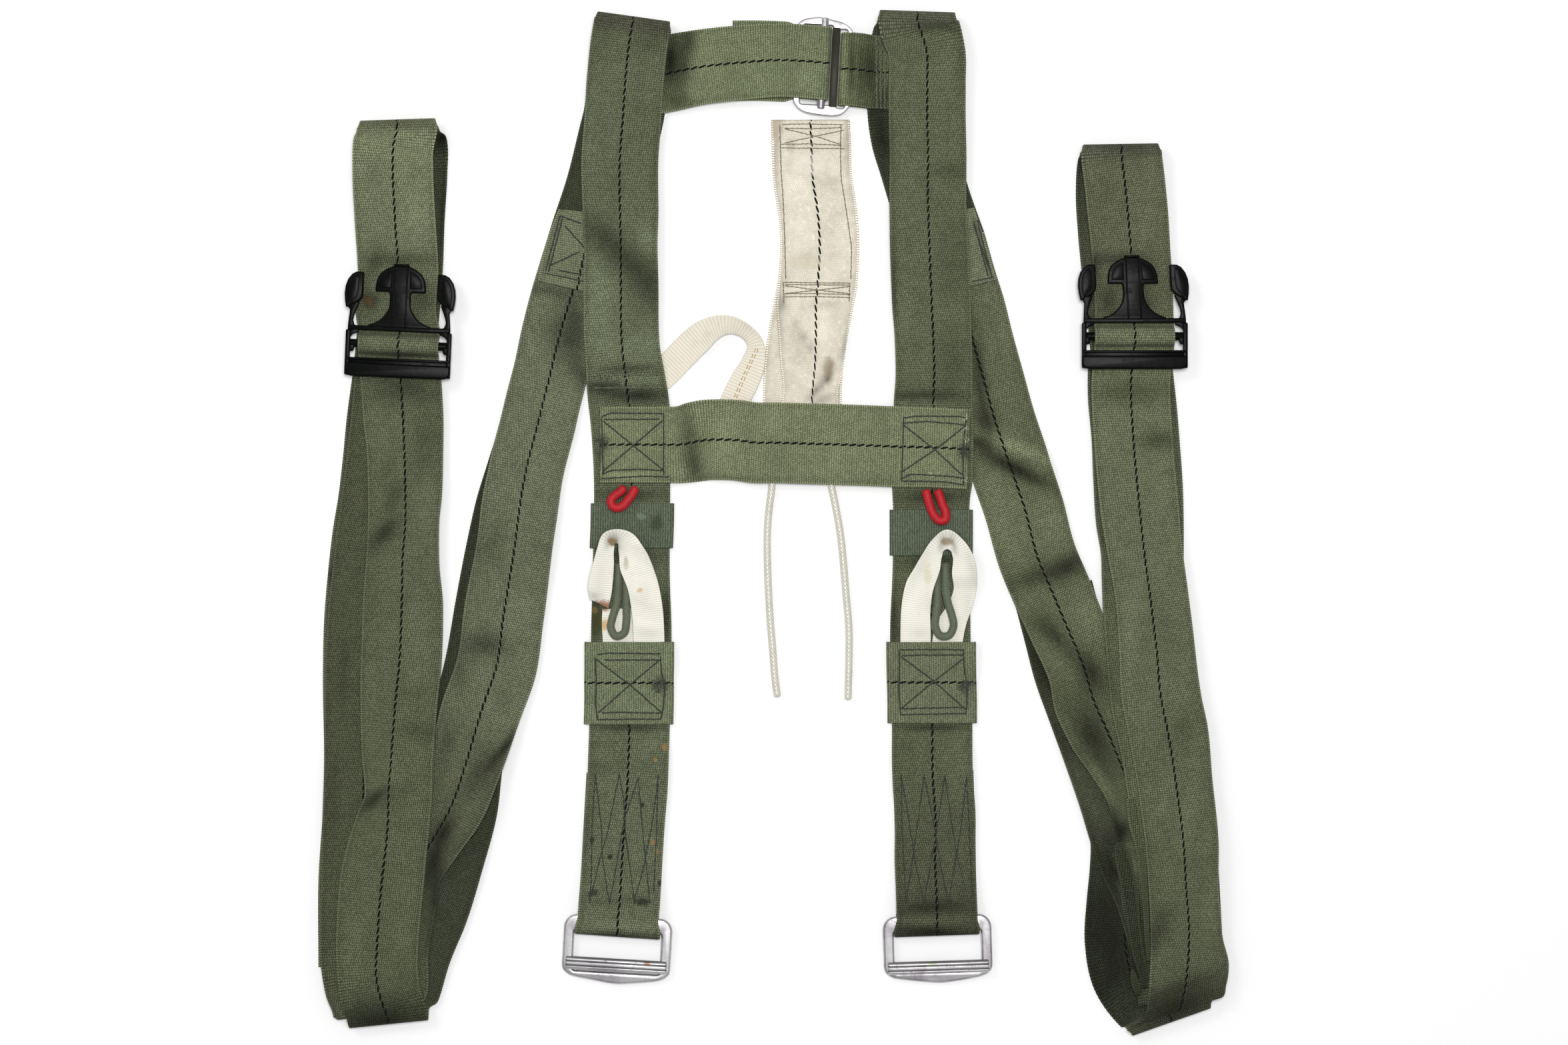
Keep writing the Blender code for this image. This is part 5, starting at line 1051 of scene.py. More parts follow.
def nested_turns():
    """Meshes of the narrow turns of the right diagonal that stand on edge beside its leg strap."""
    outer = (
        (188.6, -174, 7.4, 2, 2), (189.3, -178.7, 7.5, 3.4, 3.4, -0.3, 0.4),
        (191.5, -187.8, 7.6, 4.5, 4.5, -0.6, 0.6), (193.8, -199.1, 7.6, 4.4, 4.4, -0.7, 0.7),
        (195.8, -213, 7.6, 3.8, 3.8, -0.6, 0.6), (197.1, -223.9, 7.6, 3.5, 3.5, -0.5, 0.5),
        (199.5, -237.3, 7.5, 3.2, 3.2, -0.4, 0.4), (201.8, -246.8, 7.4, 2.3, 2.3),
        (202.7, -254, 7.2, 1.4, 1.4),
    )
    inner = (
        (195.5, -150, 7, 3.2, 3.4), (197.3, -164.2, 7.4, 3.6, 3.6), (199.5, -174, 7.7, 2.9, 2.9),
        (200.9, -184.2, 7.8, 2.3, 2.3), (202, -195.1, 7.8, 1.9, 1.9), (203, -209.7, 7.8, 1.6, 1.6),
        (203.6, -224.2, 7.7, 1.3, 1.3), (204.6, -238.8, 7.6, 0.9, 0.9),
    )
    low = (
        (195.6, -243.5, 7, 0.8, 0.8), (196.6, -247.9, 7, 1.7, 1.7), (197.9, -253, 7, 2.1, 2.1),
        (199, -257.5, 6.9, 1, 1),
    )
    # Their darkened tones, darkest on the outer turn, are painted shade of the turns standing between the
    # layers.
    legs = (
        (outer, rgb(54, 58, 43), rgb(44, 47, 35)), (inner, rgb(80, 86, 64), rgb(66, 70, 52)),
        (low, rgb(60, 64, 48), rgb(50, 54, 40)),
    )
    return [ribbon("turn", [leg], 3.0, thickness=THIN, sway_height=0.0, shift=9.0)[0] for leg in legs]


def leg_straps():
    strap("left_leg_webbing", [
        (LEFT_LEG_UNDER, LEG_LEFT, LEG_LEFT_END),
        (half_turn(-209.5, -273.7, 2.65, 8.35, -90 + 5.8, 21.7, 0.3), HANG_LEFT),
        (LEFT_LEG_FRONT, HANG_LEFT, FRONT_LEFT), (buckle_wrap(-204, 96.8, WIDE, -2.4), FRONT_LEFT),
        (LEFT_LOOP_FRONT, FRONT_LEFT, LOOP_LEFT),
        (half_turn(-204.6, 219.8, 10.8, FLOOR + 1.2, 90 + 1.9, 20.6, 1.4), LOOP_FOLD_LEFT),
        (LEFT_LOOP_BACK, BACK, LOOP_END)],
        olive, "olive_webbing", "left_leg_strap", rests_on=["left_buckle"],
        creases=((3.9, 20, LEFT_LEG_CREASES), (0, 3.9, LEFT_END_CREASES)))
    strap("right_leg_webbing", [
        (RIGHT_LEG_UNDER, LEG_RIGHT, LEG_RIGHT_END),
        (half_turn(217.5, -272.6, FLOOR, 8.55, -90 + 19.5, 22.8, 1.9), HANG_RIGHT),
        (RIGHT_LEG_FRONT, HANG_RIGHT, FRONT_RIGHT), (buckle_wrap(197, 101.5, 21.8), FRONT_RIGHT),
        (RIGHT_LOOP_FRONT, LOOP_RIGHT),
        (half_turn(189.5, 206.5, 10.2, FLOOR + 1, 91, 20.6, 1.4), TOP_FOLD_RIGHT),
        (RIGHT_LOOP_BACK, BACK, LOOP_END)],
        olive, "olive_webbing_right", "right_leg_strap", rests_on=["right_buckle"],
        creases=((3.9, 20, RIGHT_LEG_CREASES), (0, 3.9, RIGHT_BACK_CREASES)))


def patches():
    """The patches on the shoulders, from rows of x, y and the edge-to-edge direction."""
    height = 2.5
    for side, rows in (("left", ((-95.2, 169, -6), (-100, 156, -9), (-104, 142, -11), (-107, 127, -13))),
                       ("right", ((88, 169, 8), (92.5, 155, 10), (97, 140.5, 12), (100.5, 127.5, 13)))):
        route = [(x, y, height, WIDE, WIDE, 0, 0, turn) for x, y, turn in rows]
        strap(f"{side}_patch", [(route, PATCH)], light_olive, "light_olive_webbing", f"{side}_shoulder_patch",
              held="laid", rests_on=[f"{side}_diagonal_webbing"], thickness=THIN)


def cross_straps():
    upper = [
        (-85.5, 240, 2.65, 21, 21), (-72.5, 242.5, 2.65, 21, 21), (-59, 245, 2.8, 21, 21),
        (-40, 248.5, 4, 20.5, 20.5), (-15.5, 251, 5.8, 20.3, 20.3), (5, 252, 6.6, 20, 20),
        (18, 251.2, 8.6, 20, 20), *half_turn(31.2, 250, 10, 3.9, -3, 20), (20.5, 251.2, 2.2, 20, 20),
        (14, 251.6, 0.8, 20, 20), (6, 252, FLOOR), (-7, 252.5, FLOOR), (-22, 252.5, FLOOR),
    ]
    strap("upper_cross_webbing", [(upper, UPPER_CROSS)], light_olive, "light_olive_webbing",
          "upper_cross_strap", first_side=90, rests_on=["upper_adapter_bar"],
          creases=((0, 20, UPPER_CROSS_CREASES),))

    over_bar = ((52, 246.2), (61, 245.5), (75, 245), (88, 244))
    anchor = [
        *((x, y, z, 20, 20) for (x, y), z in zip(over_bar[::-1], (2.65, 2.65, 2.65, 2.5))),
        (46, 247, 1.2, 20, 20), *half_turn(36.2, 247.5, FLOOR, 6.5, 177, 20), (46, 247, 6.4, 20, 20),
        *((x, y, z, 20, 20) for (x, y), z in zip(over_bar, (5.4, 4.6, 4.55, 4.55))),
    ]
    strap("right_anchor_webbing", [(anchor, ANCHOR)], light_olive, "light_olive_webbing",
          "right_anchor_strap", first_side=90, rests_on=["upper_adapter_frame"],
          creases=((0, 20, ANCHOR_CREASES),))

    lower = [
        (-94.5, 42.5, 3.1, 20.8, 20.8), (-76.5, 42.5, 3.1, 20.8, 20.8), (-58, 42.5, 3, 20.8, 20.8),
        (-51, 42.5, 2.4, 21, 21), (-43, 44, 0.9, 21.8, 21.8), (-37, 45, 1.4, 22, 22),
        (-30, 45.3, 2.8, 22, 22), (-20.5, 45, 3.4, 22, 22), (-9, 43.5, 4.8, 22, 22),
        (0, 43.5, 5.3, 22, 22), (18.5, 43, 5.3, 22, 22), (36.5, 42.5, 5.3, 22, 22), (51, 42, 4.6, 22, 22),
        (64, 41.5, 4.55, 22, 22), (85.5, 41, 4.55, 21.8, 21.8), (107, 40, 4.55, 21.8, 21.8),
    ]
    strap("lower_cross_webbing", [(lower, LOWER_CROSS)], light_olive, "light_olive_webbing",
          "lower_cross_strap", held="laid", first_side=90,
          rests_on=["left_main_webbing", "right_main_webbing"], creases=((0, 20, LOWER_CROSS_CREASES),))


def handle():
    half, low, high = 21.5, 0.65, 2.45
    back = ((16, 54), (16, 66), (17, 87), (19, 103.5), (22, 119.5), (24, 131), (25.5, 152.5), (24.5, 168.5),
            (21.5, 189.5), (20.5, 212))
    front = ((21, 208), (21.5, 189.5), (24.5, 168.5), (25.5, 152.5), (24.5, 131))
    route = [
        *((x, y, low, half, half) for x, y in back), *half_turn(20.5, 220.3, low, high, 90, half),
        *((x, y, high, half, half) for x, y in front), (23.5, 119.5, 2.8, 21.5, 20.5),
        (23.5, 103.5, 4.6, 20.5, 17.5, -1, -1.5), (23, 87, 5.2, 19, 15.5, -1.6, -2),
        (21.5, 70.5, 3.2, 16, 14, -0.4, -0.4), (21, 56, 2.5, 18, 17),
    ]
    strap("handle_webbing", [(route, HANDLE)], cream, "cream_webbing", "handle_strap", half=half,
          thickness=1.2, rests_on=["lower_cross_webbing"], creases=((1.6, 20, HANDLE_CREASES),))


# ---------------------------------------------------------------- bands and sleeves

def staple(name, rows, surface, node, tone, ribbed=False):
    """Webbing bent down over both edges of the strap below it. Rows are (x, y, z, half width), z the
    middle height of its top. With ribbed its weave runs along the strap below."""
    corner, side_run, columns, steepness = 1.6, 2.0, 41, 5
    rows, distance = dense(rows, ROW_STEP)
    half = rows[:, 3].mean()
    top_run = half - corner
    bend_run = corner * math.pi / 2
    reach = top_run + bend_run + side_run
    over = np.linspace(-reach, reach, columns)
    bend = np.clip((np.abs(over) - top_run) / corner, 0, math.pi / 2)
    down = np.clip(np.abs(over) - top_run - bend_run, 0, None)
    out = np.minimum(np.abs(over), top_run) + corner * np.sin(bend)
    drop = corner * (1 - np.cos(bend)) + down * steepness
    middle = np.empty((len(rows), columns, 3))
    middle[..., 0] = rows[:, 0:1] + np.sign(over) * out
    middle[..., 1] = rows[:, 1:2]
    middle[..., 2] = np.maximum(rows[:, 2:3] - drop, 0.3)
    lift = np.clip((middle[..., 2] - 1.5) / 2, 0, 1)
    middle[..., 2] += 0.15 * lift * sway(middle[..., 0], middle[..., 1])
    weave = np.zeros_like(middle)
    weave[..., 0] = (distance[-1] / 2 - distance)[:, None]
    weave[..., 1] = over[None, :]
    if ribbed:
        weave = weave[..., [1, 0, 2]]
    tones = np.tile(tone[:3], (*middle.shape[:2], 1))
    edge_gap = np.where(np.abs(over) > reach - 0.01, 0.0, 9.0)
    mesh = closed_sheet(name, middle, THIN, weave, tones, edge_gap)
    made = add_piece(name, mesh, surface, (node,))
    side = node.split("_")[0]


def bands_and_sleeves():
    for side, x, ys in (("left", (-76.8, -77, -77.5), (10.5, -2, -14)), ("right", (86.5,) * 3, (7, -5, -18))):
        staple(f"{side}_band_cloth", [(*place, 2.4, 22.3) for place in zip(x, ys)], band_cloth,
               f"{side}_band", BAND, ribbed=True)
    heights = (5.4, 5.2, 3.3, 2.6, 2.7)
    for side, x, y_end, tone in (("left", (-78.5, -78.5, -78.7, -78.7, -79), -110.2, SLEEVE_LEFT),
                                 ("right", (86.4, 86.5, 86.7, 87, 87), -109.6, SLEEVE_RIGHT)):
        rows = [(*place, 24) for place in zip(x, (-65.2, -76.5, -86, -98, y_end), heights)]
        staple(f"{side}_sleeve_cloth", rows, light_olive, f"{side}_sleeve", tone)


# ---------------------------------------------------------------- white tapes

def ribbed_tape(name, spots=(), pitch=1.2, valley=0.8):
    """White tape with ribs across it, in the tone that the mesh carries."""
    g = Graph(name, 0.75, Specular_IOR_Level=0.3, Sheen_Weight=0.1)
    across, along = g.weave()[:2]
    tone = g.tone()
    rib = g.step(g.size(g.phase(g.over(along, pitch))), 0.5, 0.2)
    thread_height = g.step(g.size(g.phase(g.over(across, 0.55))), 0.1, 0.5)
    colour = g.mix(rib, g.scaled(tone, valley), tone)
    colour = g.toned(colour, g.scaled(colour, 0.7), g.step(g.noise(60.0, 4.0, 0.6), 0.5, 0.8), 0.5)
    colour = g.toned(colour, rgb(196, 184, 158), g.step(g.noise(420.0, 3.0, 0.6), 0.6, 0.8), 0.3)
    colour = g.stains(colour, spots)
    g.bump(g.times_plus(thread_height, 0.3, rib), 0.0002)
    return g.finish(colour)


white_tape = ribbed_tape("white_tape", TAPE_SPOTS)
narrow_white = ribbed_tape("narrow_white_tape", pitch=1.7, valley=0.9)


def white_tapes():
    left = [
        (-67.5, -74, 3.9, 8.5, 8.5), (-68, -60.5, 4.2, 8.4, 8.7), (-69, -47.5, 6, 8.2, 8.9),
        (-71.5, -35, 7.5, 7.8, 9.2), (-74.8, -24, 7.8, 8.6, 8.8), (-78, -15, 7.8, 6.2, 7.6, 0, 0, 12),
        (-81.6, -8.6, 7.8, 4.3, 5, 0, 0, 45), (-85.4, -7.6, 7.8, 3.8, 4, 0, 0, 90),
        (-89, -8.8, 7.8, 4.1, 4.4, 0, 0, 135), (-91, -14, 7.8, 4.6, 4.6, 0, 0, 172),
        (-92.2, -23, 7.5, 5.6, 6, 0, 0, 178), (-93.6, -34, 6.4, 6.2, 7.2, 0, 0, 176),
        (-94.4, -44.6, 4.2, 5.2, 6.2, 0, 0, 153),
    ]
    right = [
        (78, -74, 3.9, 8.5, 8.3), (78, -60.5, 4.2, 8.5, 8.2), (78.4, -47.5, 5.4, 8.5, 7.6),
        (80.4, -35, 7.2, 8.2, 7.2), (84.4, -25, 7.7, 7, 6.6, 0, 0, -10),
        (87, -17.5, 7.8, 5.2, 5.2, 0, 0, -14), (89.8, -12.5, 7.8, 4.4, 4.4, 0, 0, -45),
        (94.8, -9.2, 7.8, 5.4, 5.4, 0, 0, -90), (100, -12.3, 7.8, 4.6, 4.6, 0, 0, -135),
        (103.1, -17.5, 7.8, 5.4, 5.4, 0, 0, -168), (104.3, -28, 6.9, 6.8, 6.8, 0, 0, -180),
        (104.2, -37, 3.4, 6.8, 5.8, 0, 0, -181), (101.8, -45, 2.4, 7.2, 6, 0, 0, -190),
        (98, -54, 2.4, 7.8, 7.8, 0, 0, -190), (95.4, -64, 2.4, 8.4, 8.4, 0, 0, -183),
        (95.2, -74, 2.4, 8.4, 8.4, 0, 0, -180),
    ]
    tail = (
        (-85.3, -47, 2.4, 8, 8), (-85, -56, 2.4, 8.5, 8.5), (-84.5, -66, 2.4, 8.5, 8.5),
        (-84.5, -75.5, 2.4, 8.5, 7.5),
    )
    for name, route, node in (("left_tape", left, "left_white_tape"),
                              ("right_tape", right, "right_white_tape"),
                              ("left_tape_tail", tail, "left_white_tail")):
        strap(name, [(route, WHITE)], white_tape, "white_tape", node, half=8.5, thickness=THIN, step=0.3,
              sway_height=0.0, ribs=(1.2, 0.1), bumps=0.0, creases=((0, 20, TAPE_CREASES),))
    narrow = [
        (-65, 76.5, 0.55, 8, 8), (-57, 84, 0.6, 8.2, 8.2), (-49, 92.5, 1.6, 8.2, 8.2),
        (-40.5, 100.5, 3.4, 8, 8, 0.5, -0.5), (-33.5, 105.6, 4.6, 6.6, 6.6, 1, -1),
        (-24, 107.9, 5.2, 4.9, 4.9, 1.2, -1.2), (-14.6, 104.2, 5, 3.8, 3.8, 1, -1),
        (-9.6, 97.6, 4.2, 4.4, 4.4, 0.6, -0.6), (-10.6, 88, 3.2, 6.4, 6.4), (-15.6, 77, 1.9, 7.8, 7.8),
        (-20.5, 67, 0.8, 8, 8), (-24.5, 52.5, 0.5, 8, 8), (-26, 43.5, 0.5, 8, 8),
    ]
    strap("narrow_tape", [(narrow, NARROW_WHITE)], narrow_white, "white_tape", "narrow_white_tape", half=8.0,
          thickness=THIN, first_side=-45, step=0.4, sway_height=0.0, bumps=0.0,
          rests_on=["lower_cross_webbing"])


# ---------------------------------------------------------------- cords and cables

def sides_of(line):
    """Unit vectors sideways and upwards at each point of a line."""
    forward = unit(np.gradient(line, axis=0))
    side = unit(np.cross(forward, np.array([0.0, 0.0, 1.0])))
    return side, np.cross(side, forward)


def tube(name, points, radius, relief):
    """A round cord along a smooth curve, its surface at radius times relief(angle, distance). The ends are
    rounded. Gives the mesh, the points of its centreline and its length, in metres."""
    step, sides = 0.45, 28
    rows, distance = dense(points, step)
    line = rows[:, :3]
    side, up = sides_of(line)
    angle = np.linspace(0, 2 * math.pi, sides, endpoint=False)[None, :]
    factor = relief(angle, distance[:, None])
    end = np.minimum(distance, distance[-1] - distance)
    cap = np.sqrt(np.clip(1 - (1 - np.clip(end / (radius * 0.6), 0, 1)) ** 2, 0.02, 1))[:, None]
    r = (radius * factor * cap)[..., None]
    across, upward = np.cos(angle)[..., None] * side[:, None], np.sin(angle)[..., None] * up[:, None]
    ring = line[:, None] + r * (across + upward)
    ring[..., 2] = np.maximum(ring[..., 2], 0.0)
    weave = np.zeros_like(ring)
    weave[..., 0] = angle * radius
    weave[..., 1] = distance[:, None]
    weave[..., 2] = factor
    last = (len(line) - 1) * sides
    caps = [list(range(sides))[::-1], [last + v for v in range(sides)]]
    mesh = grid_mesh(name, ring.reshape(-1, 3), ring_quads(len(line), sides), caps,
                     {"weave": weave.reshape(-1, 3)})
    path = line * MM
    path[:, 0] += CENTRE_X * MM
    return mesh, path, distance[-1] * MM


def cord_material(name, tint, roughness, coat=0.0, sheen=0.2, scale=900.0, valley_shade=0.45):
    """A braided or twisted cord, with painted shade in the valleys between its strands."""
    g = Graph(name, roughness, Specular_IOR_Level=0.35, Sheen_Weight=sheen, Coat_Weight=coat,
              Coat_Roughness=0.12)
    speckle = g.noise(scale, 2.0, 0.6)
    colour = g.mix(g.step(g.weave()[2], 0.9, 1.0), scaled(tint, valley_shade), scaled(tint, 1.12))
    colour = g.toned(colour, scaled(tint, 1.5), g.step(speckle, 0.45, 0.7), 0.3)
    colour = g.toned(colour, scaled(tint, 0.55), g.step(g.noise(150.0, 3.0, 0.6), 0.5, 0.75), 0.35)
    g.bump(speckle, 0.0001)
    return g.finish(colour)


def braid(strands, lay, depth):
    """Relief of a braid: two sets of strands that wind round the cord both ways."""
    def relief(angle, distance):
        one = np.cos(strands * angle + 2 * math.pi * distance / lay)
        other = np.cos(strands * angle - 2 * math.pi * distance / lay)
        return 1 - depth + depth * np.abs(one * other) ** 0.6
    return relief


def twist(strands, lay, depth):
    """Relief of a twisted rope."""
    def relief(angle, distance):
        return 1 - depth + depth * np.abs(np.cos(strands / 2 * (angle - 2 * math.pi * distance / lay)))
    return relief


def cords():
    red = cord_material("red_cord", rgb(178, 18, 30), 0.6, sheen=0.04)
    green = cord_material("green_cord", rgb(92, 99, 78), 0.7)
    wire = cord_material("coated_cable", rgb(208, 204, 190), 0.35, coat=0.6, sheen=0.0, scale=2500.0,
                         valley_shade=0.75)
    rope, plait = twist(7, 16, 0.13), braid(8, 5, 0.08)
    for piece, node, routes, radius, surface, slot, relief, ends, stiffness in (
            ("cable_wire", "cable", (LEFT_CABLE, RIGHT_CABLE), CABLE_RADIUS, wire, "coated_steel", rope,
             "bare", "stiff"),
            ("red_cord", "red_loop", (LEFT_RED, RIGHT_RED), RED_RADIUS, red, "red_cord", plait,
             "object", "medium"),
            ("green_cord", "green_loop", (LEFT_GREEN, RIGHT_GREEN), CORD_RADIUS, green, "green_cord", plait,
             "object", "medium")):
        for side, route in zip(("left", "right"), routes):
            mesh, path, length = tube(f"{side}_{piece}", route, radius, relief)
            made = add_piece(f"{side}_{piece}", mesh, surface, (f"{side}_{node}",))


# ---------------------------------------------------------------- hard pieces

def arc(x, y, radius_x, radius_y, start, end, steps):
    """Points of an elliptical arc, angles in degrees."""
    points = []
    for k in range(steps + 1):
        angle = math.radians(start + (end - start) * k / steps)
        points.append((x + radius_x * math.cos(angle), y + radius_y * math.sin(angle)))
    return points


def rounded_box(left, right, bottom, top, radius, steps=6):
    return (arc(right - radius, top - radius, radius, radius, 0, 90, steps)
            + arc(left + radius, top - radius, radius, radius, 90, 180, steps)
            + arc(left + radius, bottom + radius, radius, radius, 180, 270, steps)
            + arc(right - radius, bottom + radius, radius, radius, 270, 360, steps))


def plate(loops, z_low, z_high, edge=0.0, segments=3):
    """A flat plate from an outer outline and its holes, its edges rounded by edge."""
    bm = bmesh.new()
    for loop in loops:
        verts = [bm.verts.new((x, y, z_low)) for x, y in loop]
        for k, vert in enumerate(verts):
            bm.edges.new((vert, verts[(k + 1) % len(verts)]))
    bmesh.ops.triangle_fill(bm, edges=bm.edges[:], use_beauty=True)
    bmesh.ops.dissolve_limit(bm, angle_limit=math.radians(1), verts=bm.verts[:], edges=bm.edges[:])
    raised = bmesh.ops.extrude_face_region(bm, geom=bm.faces[:])
    bmesh.ops.translate(bm, vec=(0, 0, z_high - z_low),
                        verts=[item for item in raised["geom"] if isinstance(item, bmesh.types.BMVert)])
    bmesh.ops.recalc_face_normals(bm, faces=bm.faces)
    if edge:
        rim = [e for e in bm.edges if len(e.link_faces) == 2 and e.calc_face_angle() > math.radians(50)
               and abs(e.verts[0].co.z - e.verts[1].co.z) < 0.01]
        bmesh.ops.bevel(bm, geom=rim, offset=edge, segments=segments, profile=0.5, affect="EDGES",
                        clamp_overlap=True)
    return bm


def rod(x_from, x_to, y, z, radius):
    """A round bar along X with softened ends."""
    bm = bmesh.new()
    turn = Matrix.Translation(((x_from + x_to) / 2, y, z)) @ Matrix.Rotation(math.pi / 2, 4, "Y")
    bmesh.ops.create_cone(bm, cap_ends=True, segments=32, radius1=radius, radius2=radius,
                          depth=x_to - x_from, matrix=turn)
    rim = [e for e in bm.edges if len(e.link_faces) == 2 and e.calc_face_angle() > math.radians(60)]
    bmesh.ops.bevel(bm, geom=rim, offset=radius * 0.3, segments=3, profile=0.5, affect="EDGES")
    return bm


def swept_bar(profile, half_length, soft):
    """A ribbed bar along X: a closed (y, z) profile, drawn in a little over the length soft at both ends."""
    bm = bmesh.new()
    middle_y = sum(y for y, z in profile) / len(profile)
    low = min(z for y, z in profile)
    stations = [(-half_length, 0.80), (-half_length + soft * 0.3, 0.92), (-half_length + soft, 1.0),
                (half_length - soft, 1.0), (half_length - soft * 0.3, 0.92), (half_length, 0.80)]
    rings = [[bm.verts.new((x, middle_y + (y - middle_y) * share, low + (z - low) * share))
              for y, z in profile] for x, share in stations]
    count = len(profile)
    for ring, after in zip(rings, rings[1:]):
        for k in range(count):
            bm.faces.new((ring[k], ring[(k + 1) % count], after[(k + 1) % count], after[k]))
    bm.faces.new(rings[0])
    bm.faces.new(rings[-1])
    bmesh.ops.recalc_face_normals(bm, faces=bm.faces)
    return bm


def hard_piece(name, parts, surface, slot, nodes, x, y, z, turn_z=0.0, turn_x=0.0, body="root", sharp=35):
    """One object from closed parts, placed like its CAD solid, smooth except at sharp edges."""
    whole = bmesh.new()
    scratch = bpy.data.meshes.new("scratch")
    for bm in parts:
        bm.to_mesh(scratch)
        bm.free()
        whole.from_mesh(scratch)
    bpy.data.meshes.remove(scratch)
    place = (Matrix.Translation((x + CENTRE_X, y, z)) @ Matrix.Rotation(math.radians(turn_z), 4, "Z")
             @ Matrix.Rotation(math.radians(turn_x), 4, "X"))
    bmesh.ops.transform(whole, matrix=Matrix.Scale(MM, 4) @ place, verts=whole.verts)
    for face in whole.faces:
        face.smooth = True
    for edge in whole.edges:
        if len(edge.link_faces) == 2 and edge.calc_face_angle() > math.radians(sharp):
            edge.smooth = False
    mesh = bpy.data.meshes.new(name)
    whole.to_mesh(mesh)
    whole.free()
    add_piece(name, mesh, surface, nodes, body)


def plastic(name, tint=rgb(9, 11, 9), dusty=rgb(19, 21, 18)):
    """Plastic with fine scuffs and a little dust."""
    g = Graph(name, 0.34, Specular_IOR_Level=0.04)
    dust = g.step(g.noise(130.0, 5.0, 0.65), 0.52, 0.74)
    scuffs = g.step(g.noise(900.0, 3.0, 0.7, distortion=1.2), 0.62, 0.78)
    colour = g.toned(g.toned(tint, dusty, dust, 0.4), rgb(42, 43, 39), scuffs, 0.2)
    g.bump(g.noise(500.0, 2.0, 0.5), 0.00004)
    return g.finish(colour, g.times_plus(dust, 0.2, g.times_plus(scuffs, 0.2, 0.28)))


def worn_metal(name, spots=(), rough=0.34, stripes=None):
    """Plated steel with soft darker zones where the plating is worn. stripes is (x, y, direction in degrees)
    of a ribbed bar whose two grooves and upper side in the plan get painted shade."""
    g = Graph(name, rough, metallic=0.85)
    soft = g.step(g.noise(48.0, 3.0, 0.5), 0.38, 0.66)
    fine = g.step(g.noise(380.0, 4.0, 0.65), 0.50, 0.74)
    colour = g.toned(rgb(200, 199, 200), rgb(146, 140, 146), soft, 0.85)
    colour = g.toned(colour, rgb(108, 102, 106), fine, 0.5)
    if stripes:
        x, y, turn = stripes
        place = g.split(g.place())
        sideways = g.times(g.less(place[0], (x + CENTRE_X) * MM), -math.sin(math.radians(turn)))
        upward = g.times(g.less(place[1], y * MM), math.cos(math.radians(turn)))
        height = g.over(g.plus(sideways, upward), MM)
        beside = g.size(height)
        # Painted shade in the bar's two grooves, and on its upper side in the plan.
        groove_shade = g.times(g.step(beside, 0.75, 1.0), g.step(beside, 1.75, 1.45))
        colour = g.toned(colour, rgb(70, 68, 70), groove_shade, 0.85)
        colour = g.toned(colour, rgb(96, 92, 92), g.step(height, 1.9, 3.0), 0.7)
    colour = g.stains(colour, spots)
    g.bump(g.times_plus(g.noise(900.0, 2.0, 0.6), 0.3, g.noise(90.0, 2.0, 0.5)), 0.00008)
    return g.finish(colour, g.times_plus(fine, 0.14, g.times_plus(soft, 0.08, rough)))


black = plastic("black_plastic")
metal = worn_metal("worn_metal")
bar_metals = {
    "left": worn_metal("left_bar_metal", ((-68.5, -240.6, 3.0, 1.6, rgb(120, 78, 40), 0.8),), 0.42,
                       (-85.6, -241.4, -3.4)),
    "right": worn_metal("right_bar_metal", ((86.5, -240.8, 4.5, 1.4, rgb(120, 132, 96), 0.6),), 0.42,
                        (90.3, -242.6, 1.8)),
}
# For the upper adapter's middle bar: a dark brownish colour with painted shade.
brown = plastic("brown_shaded_strip", rgb(52, 50, 41), rgb(72, 68, 54))


